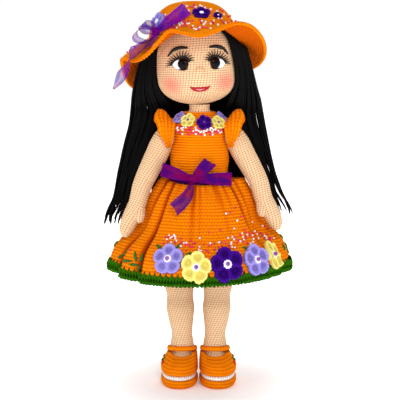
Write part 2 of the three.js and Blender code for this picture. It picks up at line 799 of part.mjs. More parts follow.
function largestBody(solid) {
  return solid.decompose().sort((a, b) => b.volume() - a.volume())[0];
}

// The bodice's face near the neck, as a function of turn and how far down
function neckSurface(turn, share) {
  const height = neckBase - 2 * neckFlowerRadius * share;
  const [halfWidth, halfDepth] = trunk(height);
  const grow = gap + dressThickness;
  return vec((halfWidth + grow) * Math.sin(turn), -(halfDepth + grow) * Math.cos(turn), height);
}

function addNeckFlowers() {
  const placeShares = [
    ['neck_flower_3', purpleYarn, 10], ['neck_flower_2', yellowYarn, -28], ['neck_flower_4', yellowYarn, 46],
    ['neck_flower_1', lilacYarn, -62], ['neck_flower_5', lilacYarn, 80],
  ];
  const cloth = trunkShell(waistHeight, neckBase + 0.25 * neckRise, 0, 2 * gap + dressThickness);
  addFlowerRow(doll, cloth, placeShares.map(([name, material, degrees]) => ({
    name,
    material,
    surface: neckSurface,
    turn: THREE.MathUtils.degToRad(degrees),
    share: 0.5,
    radius: neckFlowerRadius,
  })));
}

function addSkirtFlowers() {
  const placeShares = [
    [-20.2, 0.815, 1, lilacYarn], [-2.1, 0.88, 1.02, yellowYarn], [17.2, 0.868, 1.12, purpleYarn],
    [39.3, 0.862, 1.04, lilacYarn], [55.5, 0.86, 0.95, yellowYarn],
  ];
  addFlowerRow(doll, skirtShell(gap), placeShares.map(([degrees, share, size, material], index) => ({
    name: `skirt_flower_${index + 1}`,
    material,
    surface: skirtPoint,
    turn: THREE.MathUtils.degToRad(degrees),
    share,
    radius: size * skirtFlowerRadius,
  })));
}

function addButtons() {
  const riseShares = [0.4, 0.8];
  const bodice = trunkShell(waistHeight, neckBase - gap, gap, gap + dressThickness);
  riseShares.forEach((share, index) => {
    const height = waistHeight + share * chestRise;
    const [, halfDepth] = trunk(height);
    const profile = [[0, 0], [buttonRadius, 0], [buttonRadius, 0.6 * buttonThickness], [0, buttonThickness]];
    const at = vec(0, halfDepth + dressThickness, height);
    const button = moved(turned(profile, 14), seat(at, vec(0, 1, 0))).subtract(bodice);
    addPiece(doll, `back_button_${index + 1}`, hardPlastic, largestBody(button));
  });
}

// A ribbon along a list of points, with the half width at each as a share
function ribbon(points, widthShares, across) {
  const path = new THREE.CatmullRomCurve3(points);
  const steps = 2 * (points.length - 1);
  const widthAt = smoothTable(widthShares.map((share, index) => [index / (widthShares.length - 1), share]));
  const stations = Array.from({ length: steps + 1 }, (_, step) => {
    const at = path.getPoint(step / steps);
    const along = path.getTangent(step / steps);
    const out = along.clone().cross(across).normalize();
    const flat = out.clone().cross(along).normalize();
    const halfWidth = ribbonHalfWidth * widthAt(step / steps)[0];
    return { at, across: flat, out, halfWidth, halfThickness: ribbonThickness / 2 };
  });
  return sweep(stations, 4);
}

function bowKnot(at) {
  const ball = new THREE.SphereGeometry(1, 8, 6);
  ball.scale(knotHalfWidth, 0.6 * knotHalfWidth, knotHalfWidth);
  ball.translate(at.x, at.y, at.z);
  return solidOf(ball);
}

// A flattened loop from the knot to its tip and back
function bowLoop(knot, reach, across) {
  const tip = knot.clone().add(reach);
  const front = vec(0, -0.5 * knotHalfWidth, 0);
  const points = [
    knot.clone().add(front), knot.clone().lerp(tip, 0.5).add(front), tip.clone().addScaledVector(front, 0.4),
    tip.clone().addScaledVector(front, -0.4), knot.clone().lerp(tip, 0.5).sub(front), knot.clone().sub(front),
  ];
  return ribbon(points, [0.4, 0.9, 1, 1, 0.9, 0.4], across);
}

// Points and reaches of a bow, as shares of the ribbon's half width
function fromKnot(knot, shares) {
  return knot.clone().add(vec(...shares).multiplyScalar(ribbonHalfWidth));
}

// Loops [reach across, back and up, then the way across the ribbon in the same order] joined to a knot
function addLoops(bow, knot, loopShares) {
  return loopShares.reduce((sum, [x, y, z, acrossX, acrossY, acrossZ]) => {
    const reach = vec(x, y, z).multiplyScalar(ribbonHalfWidth);
    return sum.add(bowLoop(knot, reach, vec(acrossX, acrossY, acrossZ).normalize()));
  }, bow);
}

const waistKnotShare = -1.05;
const waistLoopShares = [[-4.4, -0.3, 1.4, 0.2, 0, 1], [2.5, -0.2, 2.45, 1, 0, -0.45], [5.6, 0, 0, 0, 0, 1]];
const waistTailShares = [[0, 0, -0.3], [-0.1, -2.2, -2.1], [-1.5, -3.2, -3.4], [-2.8, -3.7, -4.5]];
const waistTailAcross = vec(0.72, 0, -0.69).normalize();

function makeWaistBow() {
  const front = waistHalfDepth + 3 * gap + dressThickness + sashThickness + bowStandOff;
  const knot = vec(waistKnotShare * ribbonHalfWidth, -front, waistHeight + 0.65 * sashHeight);
  const tailPoints = waistTailShares.map((shares) => fromKnot(knot, shares));
  const tail = ribbon(tailPoints, [0.5, 0.9, 1, 0.9], waistTailAcross);
  return largestBody(addLoops(bowKnot(knot), knot, waistLoopShares).add(tail));
}

// Head: egg shaped, fuller at the cheeks; its group tilts and turns it about the chin
const headShares = smoothTable([
  [0, 1.42], [0.08, 1.33], [0.2, 1.2], [0.3, 1.09], [0.45, 1], [0.6, 0.99], [0.8, 1.04], [1, 1.06],
]);

function headRing(height, grow, sides) {
  const share = height / headHeight;
  const round = 2 * Math.sqrt(share * (1 - share)) * headShares(share)[0];
  return ovalRing(height, round * headHalfWidth + grow, round * headHalfDepth + grow, sides, headShift);
}

function headSolid(grow, sides = 24, steps = 13) {
  const rings = [];
  for (let step = 1; step < steps; step++) {
    const angle = (Math.PI * step) / steps;
    const height = (headHeight * (1 - Math.cos(angle))) / 2;
    const lift = -grow * Math.cos(angle);
    const ring = headRing(height, grow * Math.sin(angle), sides);
    rings.push(ring.map((point) => point.setZ(point.z + lift)));
  }
  return skin(rings);
}

// The face's surface at a place across and up from the chin
function facePoint(x, height, lift = 0) {
  const share = height / headHeight;
  const round = 2 * Math.sqrt(share * (1 - share)) * headShares(share)[0];
  const across = x / (round * headHalfWidth);
  const depth = round * headHalfDepth * Math.sqrt(Math.max(1 - across * across, 0));
  return vec(headShift + x, -depth, height).addScaledVector(faceNormal(x, depth, height), lift);
}

function faceNormal(x, depth, height) {
  const slope = (height / headHeight - 0.42) / headHeight;
  return vec(x / headHalfWidth ** 2, -depth / headHalfDepth ** 2, 1.6 * slope).normalize();
}

function makeHead(headGroup) {
  const nose = new THREE.SphereGeometry(noseRadius, 12, 8);
  const nosePlace = facePoint(0, eyeHeight - 1.9 * noseRadius, -0.72 * noseRadius);
  nose.translate(nosePlace.x, nosePlace.y, nosePlace.z);
  let head = headSolid(0).add(solidOf(nose));
  for (const side of [-1, 1]) {
    const [radius, low] = [eyeShankRadius + gap, -eyeShankLength - gap];
    const hole = turned([[0, low], [radius, low], [radius, overrun], [0, overrun]], 10);
    head = head.subtract(moved(hole, eyeSeat(side)));
  }
  const clear = hipHalfWidth;
  const neckSpace = block(-clear, clear, -clear, clear, neckBase, chinHeight + gap);
  const bore = rodAlongZ(dowelRadius + gap, neckBase, chinHeight + dowelInHead + gap);
  return cutInWorld(head, headGroup, neckSpace.add(bore));
}

// Cuts a piece of a group by a solid that stands in the doll's own frame
function cutInWorld(solid, group, cutter) {
  return solid.subtract(moved(cutter, group.matrix.clone().invert()));
}

function eyeSeat(side) {
  const x = (side * eyeSpacing) / 2;
  const at = facePoint(x, eyeHeight);
  return seat(at, faceNormal(x, -at.y, eyeHeight));
}

function makeEye(side) {
  const profile = [
    [0, -eyeShankLength], [eyeShankRadius, -eyeShankLength], [eyeShankRadius, gap], [eyeRadius, gap],
    [0.98 * eyeRadius, 0.35 * eyeBulge], [0.8 * eyeRadius, 0.72 * eyeBulge],
    [0.45 * eyeRadius, 0.94 * eyeBulge], [0, eyeBulge],
  ];
  return moved(turned(profile, 16), eyeSeat(side)).subtract(headSolid(gap / 2).subtract(shankZone(side)));
}

function shankZone(side) {
  const [radius, low, high] = [eyeShankRadius + gap / 2, -eyeShankLength - gap, gap / 2];
  const zone = turned([[0, low], [radius, low], [radius, high], [0, high]], 10);
  return moved(zone, eyeSeat(side));
}

// White of the eye: an oval of felt under the outer side of the eye
function makeEyeWhite(side) {
  const oval = skin([0, whiteThickness].map((height) => (
    ovalRing(height, whiteHalfWidth, whiteHalfHeight, 16, side * eyeRadius * 0.85, -0.12 * eyeRadius)
  )));
  const [radius, low, high] = [eyeRadius + gap, -whiteThickness, eyeBulge + overrun];
  const eyeSpace = turned([[0, low], [radius, low], [radius, high], [0, high]], 18);
  const plate = moved(oval.subtract(eyeSpace), eyeSeat(side));
  return largestBody(plate.subtract(headSolid(gap)));
}

// A thread laid on the face through points given as [across, up], with its radius at each as a share
function faceThread(places, radiusShares, radius) {
  const lift = 0.6 * radius;
  const path = new THREE.CatmullRomCurve3(places.map(([x, height]) => facePoint(x, height, lift)));
  const steps = 2 * (places.length - 1);
  const shareAt = smoothTable(radiusShares.map((share, index) => [index / (radiusShares.length - 1), share]));
  const stations = Array.from({ length: steps + 1 }, (_, step) => {
    const at = path.getPoint(step / steps);
    const along = path.getTangent(step / steps);
    const out = vec(0, -1, 0);
    const across = along.clone().cross(out).normalize();
    const thick = radius * shareAt(step / steps)[0];
    return { at, across, out: across.clone().cross(along), halfWidth: thick, halfThickness: thick };
  });
  return sweep(stations, 6).subtract(headSolid(gap));
}

function makeLashes(side) {
  const lidRadius = eyeRadius + lidOffset;
  const centreX = (side * eyeSpacing) / 2;
  const angles = [155, 128, 100, 75, 50, 25, 5];
  const places = angles.map((degrees, index) => {
    const angle = THREE.MathUtils.degToRad(degrees);
    const stretch = 1 + (0.85 * index * index) / (angles.length * angles.length);
    return [centreX + side * lidRadius * stretch * Math.cos(angle), eyeHeight + lidRadius * Math.sin(angle)];
  });
  return faceThread(places, [0.5, 1, 1, 1, 1, 0.8, 0.5], threadRadius);
}

function makeBrow(side) {
  const centreX = (side * browSpacing) / 2;
  const places = [[-1, 0.88], [-0.4, 1], [0.1, 0.8], [0.5, 0.35], [1, -1]].map(([across, up]) => (
    [centreX + side * across * browHalfSpan, browHeight + up * browArch]
  ));
  return faceThread(places, [0.6, 1, 1, 0.9, 0.4], threadRadius);
}

function makeMouth() {
  const places = [[-1, 0.6], [-0.5, -0.45], [0, -0.8], [0.5, -0.45], [1, 0.6]].map(([across, up]) => (
    [across * mouthHalfSpan, mouthHeight + up * mouthSag]
  ));
  return faceThread(places, [0.35, 0.9, 1, 0.9, 0.35], lipRadius);
}

// Hair on the head: up from the chin, shares of its half width, its back and its front
const hairCapShares = smoothTable([
  [0, 1, 1, 1], [0.18, 0.95, 0.98, 1], [0.36, 0.85, 0.93, 1], [0.5, 0.745, 0.87, 1.2],
  [0.62, 0.635, 0.81, 1.9], [0.7, 0.59, 0.76, 2.7], [0.8, 0.54, 0.69, 2.75], [0.9, 0.45, 0.58, 2.3],
  [0.96, 0.32, 0.42, 1.6], [1, 0.14, 0.18, 0.6],
]);

function makeHairCap(headGroup) {
  const top = headHeight + hairCapTopGap;
  const rowShares = [0, 0.18, 0.36, 0.5, 0.62, 0.7, 0.8, 0.9, 0.96, 1];
  const mass = skin(rowShares.map((share) => {
    const [widthShare, backShare, frontShare] = hairCapShares(share);
    const back = backShare * hairCapBack;
    const front = frontShare * hairCapFront;
    const height = chinHeight + gap + share * (top - gap);
    const lean = hairShift + share * headHeight * Math.sin(headTilt);
    return ovalRing(height, widthShare * hairCapHalfWidth, (back + front) / 2, 24, lean, (back - front) / 2);
  }));
  const head = moved(headSolid(gap), headGroup.matrix);
  const neck = rodAlongZ(neckRadius + 2 * dressThickness, chinHeight - overrun, chinHeight + neckRadius);
  const hatSpace = hatShell(24, [0.06, 0.19, 0.32, 0.45, 0.58, 0.79, 1], 0, 4 * gap);
  const underHat = mass.subtract(hatSpace).subtract(head).subtract(neck);
  return moved(largestBody(underHat), headGroup.matrix.clone().invert());
}

// Hair that falls behind the arms: out from the middle, width, front and depth down its length
const lockShares = smoothTable([
  [0, 0.56, 0.115, 0.115, 0.13], [0.25, 0.63, 0.125, 0.14, 0.11], [0.45, 0.685, 0.12, 0.155, 0.09],
  [0.7, 0.755, 0.105, 0.2, 0.07], [0.88, 0.835, 0.1, 0.22, 0.06], [1, 0.905, 0.08, 0.24, 0.05],
]);

function makeHairLock(side, outShare) {
  const top = chinHeight - hairFallTopGap;
  const rowShares = [0, 0.14, 0.28, 0.45, 0.6, 0.75, 0.88, 1];
  return skin(rowShares.map((share) => {
    const [outward, width, front, depth] = lockShares(share).map((value) => value * hairLockOut * outShare);
    return ovalRing(top - share * hairLockLength, width, depth, 14, side * outward, front + depth);
  }));
}

function makeHairBack() {
  const top = chinHeight - hairFallTopGap;
  const rowShares = [0, 0.12, 0.28, 0.45, 0.58, 0.68, 0.78, 0.9, 1];
  const columns = 12;
  const rings = rowShares.map((share) => {
    const height = top - share * hairBackLength;
    const widthShare = share < 0.45 ? 0.78 : THREE.MathUtils.mapLinear(share, 0.45, 1, 0.78, 1);
    const halfWidth = hairBackHalfWidth * widthShare;
    const fold = Array.from({ length: columns + 1 }, (_, column) => {
      const x = halfWidth * ((2 * column) / columns - 1);
      return vec(x, hairBackFront(x, height), height);
    });
    const thickness = hairBackThickness * (1 - 0.4 * share);
    const behind = fold.map((point) => point.clone().setY(point.y + thickness)).reverse();
    return [...fold, ...behind];
  });
  return skin(rings);
}

// How far back the falling hair's front lies: behind the sleeves, then over the skirt
function hairBackFront(x, height) {
  const overSleeves = armRootRadius + armholeClearance + sleeveThickness + sleeveFlare + sleeveThickness;
  const down = THREE.MathUtils.clamp((skirtTop + skirtPuff - height) / skirtLength, 0, 1);
  const [, reachShare] = skirtShares(Math.min(0.9 * down + 0.27, 1));
  const halfWidth = THREE.MathUtils.lerp(waistHalfWidth, hemHalfWidth, reachShare);
  const halfDepth = THREE.MathUtils.lerp(waistHalfDepth, hemHalfDepth, reachShare);
  const across = Math.min(Math.abs(x) / (1.15 * halfWidth), 1);
  const overSkirt = down > 0 ? halfDepth * Math.sqrt(1 - across * across) : 0;
  return Math.max(overSleeves, overSkirt) + hairBackGap;
}

// Hat: a domed crown, then a brim whose edge waves; heights of the edge are from the crown's base
const crownShares = smoothTable([
  [0, 0, 1], [0.14, 0.26, 0.98], [0.3, 0.52, 0.9], [0.45, 0.72, 0.74], [0.6, 0.86, 0.52], [0.8, 0.95, 0.26],
  [1, 1, 0],
]);
const edgeShares = smoothTable([
  [-180, -0.95], [-150, -1.2], [-125, -1.42], [-108, -1.18], [-90, -0.66], [-70, -0.53], [-50, -0.57],
  [-39, -0.4],
  [-30, -0.1], [-20, 0.21], [-8, 0.16], [5, 0.08], [18, 0.2], [35, 0.42], [50, 0.36], [70, 0.02], [90, -0.38],
  [110, -0.7], [125, -0.85], [150, -0.92], [180, -0.95],
]);
const crownEndShare = 0.58;

// In front the crown ends higher, so that the brim slopes down from it; shares of the crown's height
const frontRiseShares = smoothTable([
  [-180, 0], [-60, 0], [-40, 0], [-22, 0.2], [-6, 0.36], [20, 0.36], [38, 0.32], [60, 0.12], [80, 0], [180, 0],
]);

function hatPoint(turn, out) {
  const degrees = THREE.MathUtils.radToDeg(turn);
  const wrapped = degrees - 360 * Math.round(degrees / 360);
  const rise = frontRiseShares(wrapped)[0];
  if (out <= crownEndShare) {
    const [radiusShare, heightShare] = crownShares(out / crownEndShare);
    const height = THREE.MathUtils.lerp(rise, 1, heightShare) * crownHeight;
    return hatPlace(turn, radiusShare * crownRadius, height);
  }
  const along = (out - crownEndShare) / (1 - crownEndShare);
  const edge = edgeShares(wrapped)[0];
  const reach = brimReach * (1 - 0.22 * Math.cos(turn) ** 4);
  const height = (rise * (1 - along) + edge * along ** 1.15) * crownHeight;
  return hatPlace(turn, crownRadius + along * reach, height);
}

function hatPlace(turn, radius, height) {
  return vec(hatShift + radius * Math.sin(turn), -radius * Math.cos(turn), hatBase + height);
}

function hatShell(sides, rowShares, outward, inward) {
  const outer = shellRings(hatPoint, rowShares, sides, -outward);
  const inner = shellRings(hatPoint, rowShares, sides, hatThickness + inward);
  return skin([...outer, ...inner.reverse()]);
}

const hatSides = 44;
const hatRowShares = [0.06, 0.19, 0.32, 0.45, 0.58, 0.7, 0.85, 1];

function makeHat(headGroup) {
  return moved(hatShell(hatSides, hatRowShares, 0, 0), headGroup.matrix.clone().invert());
}

function addHatFlowers(headGroup) {
  const placeShares = [
    ['hat_flower_1', lilacYarn, hatFlowerRadius, -56, 0.39],
    ['hat_flower_2', purpleYarn, hatFlowerRadius, 11, 0.39],
    ['hat_flower_3', purpleYarn, smallHatFlowerRadius, 34, 0.42],
  ];
  const cloth = hatShell(hatSides, hatRowShares, gap, 0);
  addFlowerRow(headGroup, cloth, placeShares.map(([name, material, radius, degrees, share]) => ({
    name, material, surface: hatPoint, turn: THREE.MathUtils.degToRad(degrees), share, radius,
  })));
}

// A place on the hat, lifted far enough to lay a ribbon there
function aboveHat(degrees, out) {
  const turn = THREE.MathUtils.degToRad(degrees);
  return hatPoint(turn, out).addScaledVector(normalOf(hatPoint, turn, Math.min(out, 1)), 0.8 * bowStandOff);
}

const hatKnotTurn = THREE.MathUtils.degToRad(-42);
const hatKnotShares = [-0.9, -0.95, 0.95];
const hatLoopShares = [
  [4.3, -1.25, 3.1, -0.9, 0, 1], [-2.9, -0.4, -0.7, 0.1, 0, 1], [-1.9, -0.2, 1, 0.5, 0, 1],
];
// The tail lies over the brim at [degrees round, share out] and then hangs free
const overBrimShares = [[-48, 0.76], [-51, 0.92], [-53, 1.02]];
const hangingShares = [[-4.9, -1.5, -6.2], [-6.2, -1.2, -8.3]];
const flapShares = [[-41, 0.76], [-41, 0.96]];

function makeHatBow(headGroup) {
  const knot = fromKnot(hatPoint(hatKnotTurn, crownEndShare), hatKnotShares);
  const turnStep = 0.1;
  const brimShare = 0.9;
  const ahead = hatPoint(hatKnotTurn + turnStep, brimShare);
  const alongBrim = ahead.sub(hatPoint(hatKnotTurn - turnStep, brimShare)).normalize();
  const overBrim = overBrimShares.map(([degrees, out]) => aboveHat(degrees, out));
  const hanging = hangingShares.map((shares) => fromKnot(knot, shares));
  const tail = ribbon([knot, ...overBrim, ...hanging], [0.5, 0.9, 1, 1, 1, 0.15], alongBrim);
  const onBrim = flapShares.map(([degrees, out]) => aboveHat(degrees, out));
  const flap = ribbon([knot, ...onBrim], [0.5, 0.9, 1], alongBrim);
  const bow = largestBody(addLoops(bowKnot(knot), knot, hatLoopShares).add(tail).add(flap));
  return moved(bow, headGroup.matrix.clone().invert());
}

function addHead() {
  const head = new THREE.Group();
  head.position.set(0, 0, chinHeight);
  head.rotation.set(0, headTilt, headTurn);
  head.updateMatrix();
  doll.add(head);
  addPiece(head, 'head', skinYarn, makeHead(head));
  for (const [side, sideName] of [[-1, 'left'], [1, 'right']]) {
    addPiece(head, `eye_${sideName}`, eyePlastic, makeEye(side));
    addPiece(head, `eye_white_${sideName}`, felt, makeEyeWhite(side));
    addPiece(head, `lashes_${sideName}`, blackThread, makeLashes(side));
    addPiece(head, `brow_${sideName}`, blackThread, makeBrow(side));
  }
  addPiece(head, 'mouth', redYarn, makeMouth());
  addPiece(head, 'hair_cap', hairYarn, makeHairCap(head));
  addPiece(head, 'hat', dressYarn, makeHat(head));
  addPiece(head, 'hat_bow', organza, makeHatBow(head));
  addHatFlowers(head);
}

const doll = new THREE.Group();

addPiece(doll, 'torso', skinYarn, makeTorso());
addPiece(doll, 'pants', dressYarn, makePants());
addPiece(doll, 'joint_cord', cordThread, makeJointCord());
const neckDowel = rodAlongZ(dowelRadius, chinHeight - dowelInNeck, chinHeight + dowelInHead);
addPiece(doll, 'neck_dowel', wood, neckDowel);
for (const [side, sideName, outShare, dropShare] of [[-1, 'left', 1, 1], [1, 'right', 1.06, 0.93]]) {
  addPiece(doll, `leg_${sideName}`, skinYarn, makeLeg(side));
  addPiece(doll, `leg_rod_${sideName}`, wood, rodAlongZ(rodRadius, rodLow, rodHigh, legRodX(side)));
  addPiece(doll, `arm_${sideName}`, skinYarn, makeArm(side, outShare, dropShare));
  addPiece(doll, `joint_disc_${sideName}`, hardPlastic, makeDisc(side));
  addPiece(doll, `sleeve_${sideName}`, dressYarn, makeSleeve(side));
  addPiece(doll, `hair_${sideName}`, hairYarn, makeHairLock(side, side < 0 ? 0.985 : 0.965));
  addShoe(side, sideName);
}
addPiece(doll, 'dress_bodice', dressYarn, makeBodice());
addPiece(doll, 'waist_sash', organza, makeSash());
addPiece(doll, 'waist_bow', organza, makeWaistBow());
addPiece(doll, 'skirt', dressYarn, skirtShell(0));
addPiece(doll, 'hem_trim', greenYarn, makeHemTrim());
addPiece(doll, 'hair_back', hairYarn, makeHairBack());
addNeckFlowers();
addSkirtFlowers();
addButtons();
addHead();

export default doll;
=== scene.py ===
"""Looks of the crocheted doll: stitched skins, yarn hair, ribbons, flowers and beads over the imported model.

Metres, +Z up. The doll faces -Y, and left is -X, as seen from the front.
"""
import math

import bpy
import numpy as np
from mathutils import Matrix, Vector


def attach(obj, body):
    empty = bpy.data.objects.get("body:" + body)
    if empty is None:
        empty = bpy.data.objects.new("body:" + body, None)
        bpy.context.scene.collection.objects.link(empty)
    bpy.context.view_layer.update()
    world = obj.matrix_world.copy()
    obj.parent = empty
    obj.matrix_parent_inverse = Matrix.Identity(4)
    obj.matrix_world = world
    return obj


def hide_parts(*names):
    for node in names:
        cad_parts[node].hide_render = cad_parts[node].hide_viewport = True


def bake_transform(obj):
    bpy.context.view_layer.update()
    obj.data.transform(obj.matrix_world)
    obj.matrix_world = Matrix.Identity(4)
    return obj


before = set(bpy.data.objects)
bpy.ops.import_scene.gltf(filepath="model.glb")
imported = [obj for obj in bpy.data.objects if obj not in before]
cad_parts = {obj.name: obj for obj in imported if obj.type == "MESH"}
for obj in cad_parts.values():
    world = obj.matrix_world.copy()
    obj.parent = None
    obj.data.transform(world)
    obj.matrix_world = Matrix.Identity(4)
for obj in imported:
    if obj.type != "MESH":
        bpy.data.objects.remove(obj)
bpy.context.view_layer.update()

# Yarn and thread
SKIN_STITCH = (0.0029, 0.0023)
BODICE_STITCH = (0.0024, 0.0027)
SKIRT_STITCH = (0.0033, 0.0034)
HAT_STITCH = (0.0028, 0.0029)
SHOE_STITCH = (0.0029, 0.0036)
LEG_SLANT = 0.3
SKIN_RELIEF = 0.00055
DRESS_RELIEF = 0.0012
BODICE_RELIEF = 0.0009
TRIM_RELIEF = 0.0018
THREAD_RADIUS = 0.0009
LIP_RADIUS = 0.0016
OUTER_LIP_SHARE = 0.72
GAP = 0.0003
DRESS_THICKNESS = 0.003
# How much of a stitch's relief lies inside the piece's own surface
INWARD_SHARE = 0.85
# How much the next row's stitches move along: a lean, or half a stitch at each row
ROW_LEAN = 0.12
ROW_STAGGER = 0.5
# How much of a stitch's height is pinched in between the rows
ROW_PINCH_SHARE = 0.6
DRESS_PINCH_SHARE = 0.38
# One stitch as a V of two strands: where each starts, leans to, its half width, and the row's wave
STRAND_SHARES = {"start": 0.12, "lean": 0.24, "half_width": 0.24, "wave": 0.2}
SKIN_SAMPLES = 3
STITCH_SAMPLES = 4
# Steps in which surfaces are measured along and round, and the share over which a slope is taken
PATH_STEPS = 240
PATH_TURNS = 16
SURFACE_STEP = 0.01

# Points round each stitched tube
BODY_COLUMNS = 130
PANTS_COLUMNS = 140
LEG_COLUMNS = 150
LIMB_END_COLUMNS = 110
THUMB_COLUMNS = 50
HEAD_COLUMNS = 360
BODICE_COLUMNS = 260
SKIRT_COLUMNS = 588
HAT_COLUMNS = 560
SHOE_COLUMNS = 210

# How full the stuffed pieces are
SOFT_FILL = 0.9
FIRM_FILL = 0.95

# Noise in the looks: turns to the metre for rows, stitches, fuzz, patches and ribs, and how far they wobble
ROW_WOBBLE_SCALE = 55
ROW_WOBBLE = 0.5
STITCH_WOBBLE_SCALE = 75
STITCH_WOBBLE = 0.4
FUZZ_SCALE = 2400
PATCH_SCALE = 38
RIB_SCALE = 30
# Plies of a yarn, in turns along a stitch and up a row
PLY_TURNS = (44, 30)
# Depth of the bump drawn by each kind of look
YARN_BUMP = 0.0006
FINE_BUMP = 0.0003
FELT_BUMP = 0.0002
POLISH_BUMP = 0.00005
# Fineness of the small patterns: grain, fibres, patches and scratches a metre
WOOD_ACROSS_GRAIN = 900
WOOD_ALONG_GRAIN = 40
INSOLE_FIBRES = 900
THREAD_FUZZ = 1500
HAIR_PATCHES = 60
BEAD_CLOUDS = 420
BEAD_SCRATCHES = 2600
# Weave and twist in radians a metre, and how much the cord's turns slant
INSOLE_WEAVE = 3000
CORD_TWISTS = 2600
CORD_SLANT = 0.7
# Thread and yarn in turns a stitch, and the iris's rays in radians a stitch
THREAD_TWIST = (1.2, 2.5)
HAIR_TWIST = 2.2
IRIS_RAYS = 90

# Heights up the body
LEG_LENGTH = 0.150
HIP_RISE = 0.063
CHEST_RISE = 0.049
SHOULDER_RISE = 0.024
NECK_RISE = 0.0086
PANTS_RISE = 0.047
WAIST = LEG_LENGTH + HIP_RISE
SHOULDER = WAIST + CHEST_RISE
NECK_BASE = SHOULDER + SHOULDER_RISE
CHIN = NECK_BASE + NECK_RISE
PANTS_TOP = LEG_LENGTH + PANTS_RISE

# Body
HIP_HALF_WIDTH = 0.0335
HIP_HALF_DEPTH = 0.024
WAIST_HALF_WIDTH = 0.0262
WAIST_HALF_DEPTH = 0.0189
CHEST_HALF_WIDTH = 0.0274
CHEST_HALF_DEPTH = 0.0197
NECK_RADIUS = 0.01075
SHOULDER_HALF_WIDTH = 0.0255

# Arms
ARM_ROOT_RADIUS = 0.0104
ARM_RADIUS = 0.012
ARM_OUT = 0.0512
ARM_DROP = 0.107
ARM_LEAN = math.radians(13)
THUMB_RADIUS = 0.0061
THUMB_FORWARD = 0.0055
# Rings of the arm between which the thumb lies, and how far out of the arm it starts
THUMB_ROOT_RING = 7
THUMB_TIP_RING = 9
THUMB_ROOT_SHARE = 0.15

# Legs and feet
LEG_RADIUS = 0.0172
LEG_SPREAD = 0.0202
ANKLE_SPREAD = 0.0174
STANCE_SHIFT = -0.001
FOOT_HALF_WIDTH = 0.0142
FOOT_HALF_LENGTH = 0.0165
FOOT_HEIGHT = 0.0205
FOOT_FORWARD = 0.0075
# Where the stitching of legs, feet and head ends, short of their poles
LEG_END_SHARE = 0.133
FOOT_POLE_ANGLE = 0.12
HEAD_TOP_ANGLE = 0.5
HEAD_END_ANGLE = 0.1

# Head
HEAD_HALF_WIDTH = 0.041
HEAD_HALF_DEPTH = 0.039
HEAD_HEIGHT = 0.097
HEAD_SHIFT = -0.0016
HEAD_TILT = math.radians(-2.2)
HEAD_TURN = math.radians(4.5)

# Dress
HEM_HALF_WIDTH = 0.095
HEM_HALF_DEPTH = 0.080
SKIRT_LENGTH = 0.0862
SKIRT_PUFF = 0.0056
SIDE_PUFF = 0.005
SKIRT_TOP = WAIST - GAP
# From this share of its surface on, the skirt only falls
SKIRT_FALL_SHARE = 0.11
SKIRT_STEPS = 60
FOLD_DEPTH = 0.011
FOLD_CORNER_SHARE = 0.22
FOLD_START_SHARE = 0.25
FOLD_EASE_POWER = 1.4
GATHER_DEPTH = 0.006
GATHER_START_SHARE = 0.2
GATHER_WIDENING_SHARE = 0.8
GATHER_FADE_POWER = 0.7
# How dark the folds' corners and the gathers are, and how wide and how far down a fold's shadow starts
FOLD_SHADOW = 1.3
FOLD_SHADOW_SHARE = 0.34
FOLD_SHADOW_START_SHARE = 0.12
GATHER_SHADOW = 1.6
# How dark the inside of the skirt and the underside of the hat are
INSIDE_SHADOW = 0.7
UNDERSIDE_SHADOW = 0.52
HAND_PRESS = 0.008
HAND_TURN_DEGREES = 70
HAND_SPREAD_DEGREES = 16
HAND_DOWN_SHARE = 0.63
HAND_DOWN_SPREAD_SHARE = 0.13
LEFT_PUFF_SHARE = 0.4
SIDE_PUFF_DEGREES = 95
SIDE_PUFF_SPREAD_DEGREES = 26
TRIM_HEIGHT = 0.0084
TRIM_THICKNESS = 0.004
SLEEVE_REACH = 0.0155
SLEEVE_FLARE = 0.009
SLEEVE_THICKNESS = 0.0032
SLEEVE_WAVE = 0.0016
SLEEVE_ARCH_SHARE = 0.72
SLEEVE_START_SHARE = -0.36
SLEEVE_HALF_TURN = math.radians(128)
SLEEVE_COLUMNS = 150
SLEEVE_ROWS = 22
SLEEVE_LEAST_SHARE = 0.16
SLEEVE_WAVES = 6.5
SLEEVE_RIDGES = 6
SLEEVE_STITCHES = 22
SLEEVE_STITCH_ROWS = 5
SLEEVE_WAVE_START = 0.4
SLEEVE_FADE_POWER = 0.7
SLEEVE_RUFFLE_POWER = 1.3
SLEEVE_RIM_SHARES = {"raise": 0.4, "place": 0.93, "spread": 0.08, "edge": 0.4}
TRIM_POINTS = 96
TRIM_POINT_COLUMNS = 10
TRIM_RINGS = 19
TRIM_TOP_SHARE = 0.35
TRIM_LOW_SHARE = 0.4
TRIM_FALL_SHARE = 0.8
TRIM_INSIDE_SHARE = 0.75
TRIM_POINT_STITCHES = 2
TRIM_STITCH_ROWS = 2.4
TRIM_POINT = 0.0048
TRIM_SCALLOP = 0.0026
SASH_HEIGHT = 0.0102
ARMHOLE_CLEARANCE = 0.0008
NECK_RIM_RADIUS = 0.0016
NECK_RIM_STITCHES = 27
NECK_RIM_COLUMNS = 150
NECK_STITCH_COLUMNS = 5.5
NECK_RIM_SIDES = 12
NECK_RIM_KNOT_SHARE = 0.12

